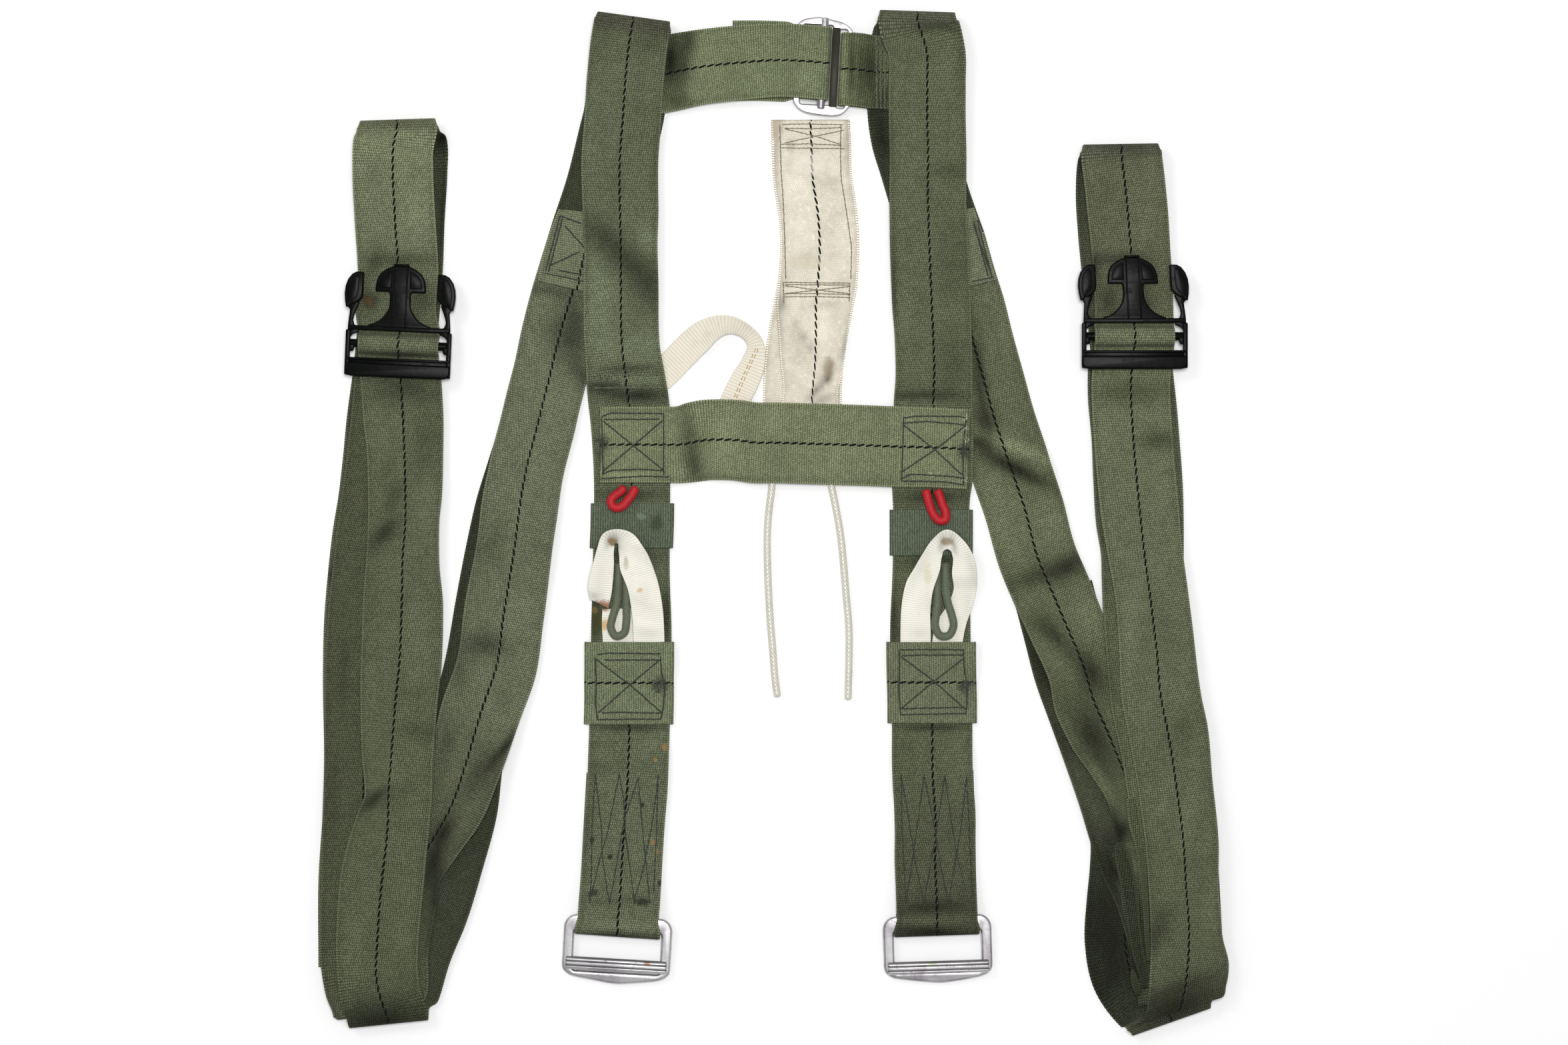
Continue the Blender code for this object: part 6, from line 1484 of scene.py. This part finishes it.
def buckle(name, x, y, turn, lean, node):
    """Male half of a side-release buckle. Its middle bar lies at y = 0 of its own frame, and its head and
    hooks lean sideways by lean millimetres for each millimetre up."""
    def both(points):
        return points + [(-px, py) for px, py in reversed(points)]

    def leaning(points, side=1):
        return [(side * px + lean * max(py - 10, 0), py) for px, py in points]

    head = both([(17, 8.5), (17, 10.3), (13.6, 11.4), (10.4, 13.4), (8.2, 15.8), (6.6, 18.4), (5.9, 20.5),
                 (5.65, 22.5), (5.65, 27), (6, 28.2), (6.6, 28.6), (13.6, 28.6), (13.7, 30.5), (13.4, 33.4),
                 (12.6, 36.4), (11, 38.9), (8.1, 41.1), (5.5, 42.2), (3.6, 43)])
    crown = ((8.4, 30.4), (11.8, 30.6), (11.6, 33.4), (10.6, 36.2), (8.8, 38.2), (6, 39.8), (4.8, 40.2),
             (4.8, 30.4))
    spine = rounded_box(3.0, 3.9, 9.0, 43.8, 0.4, 3)
    hook = ((20.2, 38.6), (20.8, 38.9), (24, 38.9), (26.4, 37.6), (28.6, 34.6), (29.8, 31), (30.2, 27),
            (29.8, 22.5), (29.2, 19.6), (27.6, 19.2), (26.8, 20.6), (26.4, 21.4), (25, 21.2), (22.4, 22.8),
            (20.6, 25), (20.2, 28))
    pad = ((23.4, 37.2), (25.6, 35.9), (27.4, 33.2), (28.3, 29.6), (28.4, 25), (27.6, 21.8), (25.6, 22.8),
           (23.2, 25.4), (22.6, 29), (22.4, 35))
    arm = ((27.9, 7.5), (27.9, 9), (27.5, 14), (27.1, 18), (28.4, 20), (27, 23.4), (22.6, 23.4), (22.4, 21.5),
           (23.6, 18.6), (24.9, 15), (25.3, 12.5), (24.5, 10.2), (22.5, 9.2), (22.5, 7.5))
    tab = ((26.8, 0.8), (24.6, 0.4), (24.2, -1), (24.2, -3), (24.8, -4.4), (26.8, -4.6))
    chamfer = ((26.8, 8), (26.8, 2.9), (25, 4.9), (22.4, 6), (21.6, 8))

    parts = [plate((leaning(head),), 0.3, 3.7, 0.8, 4)]
    for side in (-1, 1):
        for outline, z_low, z_high, edge, segments in (
                (leaning(crown, side), 2.4, 4.1, 0.7, 3), (leaning(spine, side), 1.0, 4.8, 0.3, 2),
                (leaning(hook, side), 0.0, 5.4, 1.0, 4), (leaning(pad, side), 4.2, 5.8, 0.5, 3),
                (leaning(arm, side), 0.2, 3.7, 0.6, 3),
                (rounded_box(*sorted((side * 26.3, side * 28.8)), -17.5, 7.4, 0.9, 4), 0.1, 4.3, 0.6, 3),
                ([(side * px, py) for px, py in tab], 0.5, 3.4, 0.4, 2),
                ([(side * px, py) for px, py in chamfer], 0.3, 3.4, 0.3, 2)):
            parts.append(plate((outline,), z_low, z_high, edge, segments))
    parts.append(plate((rounded_box(-4.2, 4.2, 42.9, 44.0, 0.5, 3),), 1.0, 4.4, 0.3, 2))
    parts[-1].transform(Matrix.Translation((lean * 33, 0, 0)))
    foot = both([(28.8, -10.6), (28.8, -15.5), (27.6, -17.4), (25.0, -18.0)])
    for outline, z_low, z_high, edge, segments in (
            (rounded_box(-27.7, 27.7, 7.2, 9.8, 1.0, 5), 0.2, 4.2, 0.7, 3), (foot, 0.2, 4.9, 1.1, 4),
            (rounded_box(-28.4, 28.4, -9.0, -7.7, 0.5, 3), 0.2, 5.4, 0.5, 3),
            (rounded_box(-28.2, 28.2, -12.0, -8.0, 0.5, 3), 0.2, 3.2, 0.3, 2)):
        parts.append(plate((outline,), z_low, z_high, edge, segments))
    parts.append(rod(-26.5, 26.5, 0.0, 1.5, 2.3))
    hard_piece(name, parts, black, "black_plastic", (node,), x, y, BUCKLE_BASE, turn)


def bottom_adapter(name, x, y, turn, node):
    """Metal frame with a lifting tab. Its own frame has the middle of the slot's top bar at y = 0."""
    half = 29.6
    outer = [
        *arc(half - 7, -1.5, 7, 7.5, 0, 90, 12), *arc(-half + 7, -1.5, 7, 7.5, 90, 180, 12),
        (-29.6, -21.5), (-29.3, -23.4), (-28.6, -24.9), (-27.5, -26), (-26, -27), (-24, -27.8),
        (-21, -28.4), (-15.5, -29.2), (-10, -29.9), (-5, -30.6), (-2, -30.9), (0, -31), (2, -31),
        (5, -30.8), (10, -30.2), (15.5, -29.5), (21, -28.6), (24, -27.9), (26.2, -27), (27.6, -26),
        (28.7, -24.8), (29.4, -23.2), (29.6, -21.5),
    ]
    slot = rounded_box(-23.8, 23.8, -24.9, -2.2, 1.5, 5)
    frame_plate = plate((outer, slot), -FRAME_THICK / 2, FRAME_THICK / 2, 1.25, 5)
    hard_piece(name, [frame_plate], metal, "worn_metal", (node,), x, y, ADAPTER_Z, turn, ADAPTER_TILT,
               sharp=60)


def slide_bar(name, x, y, rest, turn, node, body):
    """Ribbed bar that rides on the two rails of the frame, with a keel between them. It rests at y = rest
    of the frame."""
    low, high, half = FRAME_THICK / 2 + 0.35, FRAME_THICK / 2 + 3.0, SLIDE_HALF
    profile = [(-half, low), (-half - 0.05, low + 0.7), (-half + 0.1, high - 1.3), (-half + 0.6, high - 0.6),
               (-2.2, high - 0.25), (-1.7, high - 0.35), (-1.4, high - 0.9), (-1.05, high - 0.9),
               (-0.7, high - 0.1), (0.0, high), (0.7, high - 0.1), (1.05, high - 0.9), (1.4, high - 0.9),
               (1.7, high - 0.35), (2.2, high - 0.35), (half - 0.6, high - 0.8), (half - 0.1, high - 1.6),
               (half + 0.05, low + 0.6), (half, low)]
    keel = plate((rounded_box(-23.2, 23.2, -2.3, 2.3, 0.8, 3),), -FRAME_THICK / 2 + 0.3, low + 0.6)
    centre = (Matrix.Rotation(math.radians(turn), 4, "Z")
              @ Matrix.Rotation(math.radians(ADAPTER_TILT), 4, "X") @ Vector((0, rest, 0)))
    hard_piece(name, [swept_bar(profile, 27.6, 0.9), keel], bar_metals[name.split("_")[0]], "bar_metal",
               (node,), x + centre.x, y + centre.y, ADAPTER_Z + centre.z, turn, ADAPTER_TILT, body, sharp=50)


def softened(outline):
    """The outline with its corners cut, twice over."""
    for _ in range(2):
        pairs = zip(outline, outline[1:] + outline[:1])
        outline = [(ax + (bx - ax) * share, ay + (by - ay) * share) for (ax, ay), (bx, by) in pairs
                   for share in (0.25, 0.75)]
    return outline


def hard_pieces():
    buckle("left_buckle_plug", -204.0, 96.8, -2.4, 0.0, "left_buckle")
    buckle("right_buckle_plug", 197.0, 101.5, 0.0, -0.05, "right_buckle")
    for side, x, y, rest, turn in (("left", -84.4, -221.0, -20.4, -3.4), ("right", 89.6, -220.4, -22.2, 1.8)):
        bottom_adapter(f"{side}_adapter_ring", x, y, turn, f"{side}_adapter_frame")
        slide_bar(f"{side}_ribbed_bar", x, y, rest, turn, f"{side}_slide_bar", f"{side}_bar")
    outer = [
        (-16.4, -18), (-15, -21.6), (-12, -24.4), (-8, -25.8), (0, -26.6), (7.4, -26.7), (11.4, -25.4),
        (14.4, -22), (15.6, -19), (16.9, 0), (16.4, 15), (15.4, 19), (13.2, 22.4), (8.6, 24.9),
        (2.4, 25.9), (-1.2, 26.8), (-4.6, 27), (-12.4, 25.6), (-15.6, 22.8), (-17, 18.4), (-17.1, 0),
    ]
    left_slot = rounded_box(-12.4, 4.0, -20.8, 22.6, 1.2, 4)
    right_slot = rounded_box(7.6, 12.0, -22.2, 20.8, 1.2, 4)
    place = (27.9, 248.8, 3.4, -3.0)
    hard_piece("upper_adapter_plate", [plate((softened(outer), left_slot, right_slot), -1.25, 1.25, 0.7, 4)],
               metal, "worn_metal", ("upper_adapter_frame",), *place)
    # A strip over the frame's middle bar, between the two folds: painted shade of the hollow there, on a dark
    # brownish colour.
    shaded_strip = rounded_box(3.6, 8.0, -21.9, 21.6, 0.6, 3)
    hard_piece("upper_adapter_coating", [plate((shaded_strip,), 0.9, 1.6, 0.3, 2)], brown, "", (), *place)
    hard_piece("upper_adapter_rod", [rod(-24.8, 24.8, 0.0, 0.0, 2.0)], metal, "worn_metal",
               ("upper_adapter_bar",), 27.3, 250.3, 6.95, 87.0)


# ---------------------------------------------------------------- build

main_straps()
leg_straps()
patches()
cross_straps()
handle()
bands_and_sleeves()
white_tapes()
cords()
hard_pieces()


# ---------------------------------------------------------------- sewing and loose fibres
# Each row of stitches is a line of x, y. A row of zigzag is its start, its end, its half width and its pitch.

BOX_ROWS = (
    ((-93, 57.9), (-89.4, 59.7), (-60.2, 59.5)), ((-91.9, 56.2), (-62.1, 56.4)),
    ((-93.5, 57.5), (-93.2, 42.2), (-92.6, 26.2)), ((-59.7, 59.3), (-59.7, 26.2)),
    ((-92.6, 55.3), (-59.9, 28.6)), ((-60.2, 55.7), (-92.6, 28.1)),
    ((-93, 26.6), (-87.9, 28.4), (-74.1, 29.1), (-60.2, 28.4)),
    ((-93.4, 24), (-83.9, 24.5), (-71.5, 25.3), (-57, 24.9)),
    ((71.2, 57), (77.3, 58), (101.7, 57.9), (105.4, 56.8)),
    ((71.5, 54.3), (83.5, 55.1), (99.2, 53.9), (104.6, 53.1)), ((71.2, 56.4), (70.8, 41.5), (70.1, 23.3)),
    ((105.4, 56.4), (104.5, 50.6), (103.6, 34.2), (103.8, 20.9)),
    ((71.4, 53), (88.3, 39.7), (103.6, 25.5)), ((104.5, 52.4), (88.3, 39.7), (70.4, 27.7)),
    ((70.4, 24), (74.4, 26.3), (86.5, 25.8), (97.4, 25.1), (104.2, 24)),
    ((70.4, 22.6), (92.6, 22.2), (103.9, 20.6)),
    ((-96.9, -73.9), (-96.5, -87.4), (-96.9, -99), (-95.8, -107.4)),
    ((-61.3, -73.5), (-61, -81.2), (-59, -89.2), (-60, -102.3), (-61.3, -107.4)),
    ((-95.2, -71.9), (-89, -71.2), (-61.7, -71.6)), ((-91.7, -75), (-61.7, -75)),
    ((-96.9, -74.3), (-78.1, -88.6), (-60.3, -104.3)), ((-61.3, -74.6), (-78.1, -88.6), (-95.2, -103.7)),
    ((-93.1, -104), (-85.7, -103.7), (-61.7, -104.1)), ((-95.2, -107.7), (-78.1, -107.4), (-61.7, -107.4)),
    ((68.7, -69.9), (69, -79), (68.6, -91.4), (69.7, -105)),
    ((103.8, -69.5), (104.2, -79), (105.9, -89.3), (105.9, -99.6), (105.2, -105)),
    ((69.3, -69.5), (87.1, -69.2), (103.5, -69.5)), ((70.8, -72.6), (80.3, -72.3), (103.5, -72.3)),
    ((70.1, -73.3), (87.8, -86.6), (104.9, -101.9)), ((103.8, -74.3), (87.8, -86.6), (69.7, -101.9)),
    ((70.8, -101.7), (89.9, -101.2), (104.3, -101)), ((70.1, -105), (78.8, -104.8), (104.9, -104.3)),
    ((-116.4, 167.1), (-119.9, 153.6), (-124.1, 137.6)),
    ((-114.8, 166.7), (-118.3, 153.2), (-122.5, 137.2)), ((-122.1, 140.2), (-105.9, 147.7)),
    ((-113.4, 161.7), (-102.8, 150)), ((-124.3, 136.1), (-104.1, 131.9)),
    ((-116.4, 137.6), (-104.6, 135.4)), ((-115.9, 167.4), (-105, 163.4)),
    ((111.6, 165.3), (115.9, 147.8), (119.6, 134)), ((109.7, 164.2), (114.1, 147.1), (117.4, 134.7)),
    ((109, 131.8), (120.3, 134)), ((109.7, 162.3), (118.1, 138.3)),
)
HANDLE_ROWS = (
    ((5.3, 217.4), (14.7, 217.7), (38, 217.3)), ((6.7, 215.3), (22, 215.1), (37.3, 215.7)),
    ((6.8, 214.9), (22.8, 211.1), (36.8, 206.5)), ((6.7, 207.3), (20.6, 210.4), (38.3, 214.2)),
    ((4.5, 206.5), (20.6, 206.8), (37.3, 206)), ((4.5, 204.6), (20.6, 204.4), (38.8, 204.2)),
    ((3.7, 216.9), (4.1, 203.1), (4.5, 190.7), (5.6, 175.4), (6.5, 151.6), (7, 133.2)),
    ((37.1, 216.9), (36.8, 203.1), (37.1, 188.6), (39.1, 176.2), (41.3, 161.6), (42.9, 150), (42.5, 133.2)),
    ((6, 131.2), (24.2, 130.9), (42.4, 130.7)), ((6.7, 129.9), (24.2, 129.8), (42, 129.6)),
    ((6.7, 129.2), (24.2, 127), (42, 124.9)), ((42, 128.9), (24.2, 126.9), (6.7, 125)),
    ((6, 124.9), (24.2, 125), (42, 124.5)), ((6, 123.2), (24.2, 123.4), (42, 122.8)),
    ((5.6, 131), (5.8, 125.2), (6, 120.1)), ((41.9, 130.3), (41.7, 125.2), (41.5, 120.8)),
)
TAPE_ROWS = (
    ((-7.8, 95.4), (-14.0, 81.9), (-20.2, 67.7)), ((-9.1, 95.7), (-15.3, 82.3), (-21.5, 68.1)),
)
LEG_ROWS = (
    ((-96.9, -137.4), (-97.9, -149.2), (-98.9, -169.3), (-99.1, -194), (-100.1, -207.5)),
    ((-97, -137.4), (-93.4, -169.3), (-93.4, -181.1), (-90.5, -200.9), (-89, -207.5)),
    ((-84, -137.4), (-90.5, -170.2), (-93.9, -181.1), (-100.1, -207.5)),
    ((-84, -137.4), (-81.5, -151.3), (-80.6, -170.2), (-75.5, -208)),
    ((-73.6, -139.4), (-71.1, -169.2), (-67.1, -207.5)),
    ((-73.6, -139.4), (-78.1, -153.2), (-81, -161.3), (-89, -207.5)),
    ((-62.6, -138.3), (-63.6, -169.2), (-65.1, -202)),
    ((-62.6, -138.3), (-66.1, -165.3), (-71.2, -191.1), (-75.5, -204.9)),
    ((70, -137.9), (70.4, -165.3), (72.5, -207.5)),
    ((70, -137.9), (74, -161.3), (77.9, -187.1), (82.4, -207.5)),
    ((82.4, -137.9), (78.8, -165.3), (76.4, -183.1), (72.5, -207.5)),
    ((82.4, -137.9), (87.9, -165.3), (91.8, -189.1), (95.8, -207.5)),
    ((93.8, -138.3), (96.8, -159.2), (99.8, -179.1), (106.8, -207.5)),
    ((93.8, -138.3), (88.9, -171.1), (82.4, -207.5)), ((105.7, -138.3), (107.2, -169.3), (108.7, -202.4)),
    ((105.7, -138.3), (102.8, -165.3), (99.8, -183.1), (95.8, -207.5)),
)
ZIGZAG_ROWS = (
    ((-97.4, 80.6), (-62.4, 81.2), 1, 1.9), ((-97.4, 73.5), (-61, 73.9), 1, 1.9),
    ((56.2, 266.4), (56.6, 226), 1.1, 2.2), ((58.4, 266.4), (58.8, 226), 1.1, 2.2),
    ((60.8, 266.4), (61, 226), 1.1, 2.2),
)


def surface_of(names):
    """A tree to drop points on the upper surface of the named pieces."""
    points, faces = [], []
    for name in names:
        made = bpy.data.objects[name]
        start = len(points)
        points += [made.matrix_world @ vert.co for vert in made.data.vertices]
        faces += [[start + v for v in face.vertices] for face in made.data.polygons]
    return BVHTree.FromPolygons(points, faces)


def height_at(tree, x, y):
    """Height in millimetres of the surface below x, y, or None beside it."""
    hit = tree.ray_cast(Vector(((x + CENTRE_X) * MM, y * MM, 0.05)), Vector((0, 0, -1)))[0]
    return None if hit is None else hit.z / MM


def draped(tree, places, rises):
    """Points at the places, each raised over the surface below it, or None if one is beside the surface."""
    heights = [height_at(tree, x, y) for x, y in places]
    if None in heights:
        return None
    return [(x, y, z + rise) for (x, y), z, rise in zip(places, heights, rises)]


def even_points(row, step):
    """Points along a polyline at even steps close to the given one."""
    row = np.array(row, float)
    return resampled(row, lengths(row), step, 1)[0]


def beads(name, lines, radii, surface, sides=6):
    """One mesh of short round pieces. Each line is its points in millimetres, and each of radii is the radius
    at each of its points."""
    points, quads, caps = [], [], []
    angle = np.linspace(0, 2 * math.pi, sides, endpoint=False)[None, :, None]
    start = 0
    for line, sizes in zip(lines, radii):
        line = np.array(line, float)
        side, up = sides_of(line)
        size = np.array(sizes, float)[:, None, None]
        ring = line[:, None] + size * (np.cos(angle) * side[:, None] + np.sin(angle) * up[:, None])
        points.append(ring.reshape(-1, 3))
        quads.append(start + ring_quads(len(line), sides))
        last = start + (len(line) - 1) * sides
        caps.append([start + n for n in range(sides)][::-1])
        caps.append([last + n for n in range(sides)])
        start = last + sides
    add_piece(name, grid_mesh(name, np.concatenate(points), np.concatenate(quads), caps, {}), surface)


def stitches(name, rows, over, surface, pitch, gap, radius):
    """Lockstitches along rows of points, sunk in at their ends and lying on the pieces below."""
    tree = surface_of(over)
    sink = 0.14
    rises = (-sink, radius * 0.25, radius * 0.5, radius * 0.25, -sink)
    lines = []
    for row in rows:
        ends = even_points(row, pitch)
        for k, (a, b) in enumerate(zip(ends, ends[1:])):
            a = a + (b - a) * gap / pitch / 2
            b = b - (b - a) * gap / pitch / 2
            off = 0.12 * math.sin(k * 2.4 + a[0])
            across = np.array([-(b - a)[1], (b - a)[0]]) / max(np.linalg.norm(b - a), 1e-6) * off
            places = [a + (b - a) * share + across * (1 if share < 0.5 else -1)
                      for share in (0.0, 0.12, 0.5, 0.88, 1.0)]
            lines.append(draped(tree, places, rises))
    lines = [line for line in lines if line]
    beads(name, lines, [[radius * s for s in (0.45, 0.9, 1.0, 0.9, 0.45)]] * len(lines), surface)


def needle_holes(name, rows, over, surface, pitch, radius):
    """Dark beads sunk in at the needle holes between the stitches: painted shade of the holes."""
    tree = surface_of(over)
    lines = []
    for row in rows:
        points = even_points(row, pitch)
        for k, point in enumerate(points):
            ahead = points[min(k + 1, len(points) - 1)] - points[max(k - 1, 0)]
            ahead = ahead / max(np.linalg.norm(ahead), 1e-6)
            places = [point + ahead * t for t in (-0.42, -0.2, 0.2, 0.42)]
            lines.append(draped(tree, places, [-radius * 0.72] * 4))
    lines = [line for line in lines if line]
    beads(name, lines, [[radius * s for s in (0.6, 1.0, 1.0, 0.6)]] * len(lines), surface, sides=8)


def zigzag(start, end, half, pitch):
    """Points of a zigzag seam between two points."""
    start, end = np.array(start), np.array(end)
    length = np.linalg.norm(end - start)
    along = (end - start) / length
    over = np.array([-along[1], along[0]])
    count = max(2, round(length / pitch * 2))
    return [tuple(start + along * length * k / count + over * half * (1 if k % 2 else -1))
            for k in range(count + 1)]


def fibres(name, spots, over, surface, radius):
    """Fine curled fibres lying on the pieces below. Each spot is (x, y, reach, count, length, seed)."""
    tree = surface_of(over)
    points = 7
    lines = []
    for x, y, reach, count, length, seed in spots:
        draw = np.random.default_rng(seed)
        for _ in range(count):
            away, turn = reach * math.sqrt(draw.random()), draw.random() * 2 * math.pi
            px, py = x + away * math.cos(turn), y + away * math.sin(turn)
            heading = draw.random() * 2 * math.pi
            curl = draw.normal() * 0.5
            size = length * (0.5 + draw.random())
            lift = 0.05 + 0.35 * draw.random()
            line = []
            for k in range(points):
                z = height_at(tree, px, py)
                line.append((px, py, (z if z is not None else 0.3) + radius
                             + lift * math.sin(k / (points - 1) * math.pi)))
                px += size / (points - 1) * math.cos(heading)
                py += size / (points - 1) * math.sin(heading)
                heading += curl
            lines.append(line)
    beads(name, lines, [[radius] * points] * len(lines), surface, sides=4)


def thread(name, tint, light=1.6):
    """Twisted sewing thread."""
    g = Graph(name, 0.7, Specular_IOR_Level=0.3, Sheen_Weight=0.2)
    speckle = g.step(g.noise(1400.0, 2.0, 0.6), 0.42, 0.66)
    return g.finish(g.mix(speckle, scaled(tint, 0.7), scaled(tint, light)))


def sewing():
    dark_green = thread("green_thread", rgb(46, 50, 38), 1.5)
    seam_green = thread("seam_thread", rgb(98, 104, 80), 1.5)
    dark = thread("dark_thread", rgb(38, 42, 32), 1.3)
    hole = thread("needle_hole", rgb(24, 26, 20), 1.3)
    grey = thread("grey_thread", rgb(122, 116, 96))
    grey_hole = thread("grey_hole", rgb(84, 78, 62), 1.2)
    tan = thread("tan_thread", rgb(206, 178, 128), 1.3)
    pale = thread("pale_fibre", rgb(222, 224, 208), 1.2)
    boxes = ["lower_cross_webbing", "left_sleeve_cloth", "right_sleeve_cloth", "left_patch", "right_patch"]
    uprights = ["left_main_webbing", "right_main_webbing", "right_anchor_webbing"]
    zigzags = [zigzag(*row) for row in ZIGZAG_ROWS]
    for seam, rows, over, surface, holes, pitch, gap, radius, hole_radius in (
            ("box", BOX_ROWS, boxes, dark_green, hole, 2.8, 0.5, 0.46, 0.56),
            ("zigzag", zigzags, uprights, seam_green, hole, 2.0, 0.5, 0.3, 0.52),
            ("leg", LEG_ROWS, uprights, dark, hole, 3.4, 0.8, 0.34, 0.4),
            ("handle", HANDLE_ROWS, ["handle_webbing"], grey, grey_hole, 2.6, 0.5, 0.3, 0.3)):
        stitches(f"{seam}_stitches", rows, over, surface, pitch, gap, radius)
        needle_holes(f"{seam}_needle_holes", rows, over, holes, pitch, hole_radius)
    stitches("tape_stitches", TAPE_ROWS, ["narrow_tape"], tan, 3.2, 1.0, 0.28)
    fibres("dark_fibres", (
        (-93, 44.4, 3, 60, 2.6, 1), (104.2, 38.9, 2.7, 60, 2.4, 2), (-61.4, -88.8, 4.2, 130, 3.4, 3),
        (105, -89.5, 3.4, 110, 3, 4), (-95.5, 38, 2, 16, 2.6, 5), (-92, 76.2, 3.2, 40, 2.4, 6),
        (-86, 75.6, 3, 30, 2.2, 7)), boxes + uprights, dark_green, 0.07)
    fibres("pale_fibres", (
        (105.2, 56.6, 1.5, 9, 1.8, 11), (104.9, 51.5, 1.2, 8, 1.8, 12), (105.3, 45, 1, 7, 1.6, 13),
        (104.2, 24.2, 1.6, 9, 1.6, 14), (-93, 27, 1, 4, 1.4, 15), (86, 26, 1, 4, 1.4, 16)),
           boxes + uprights, pale, 0.09)


sewing()
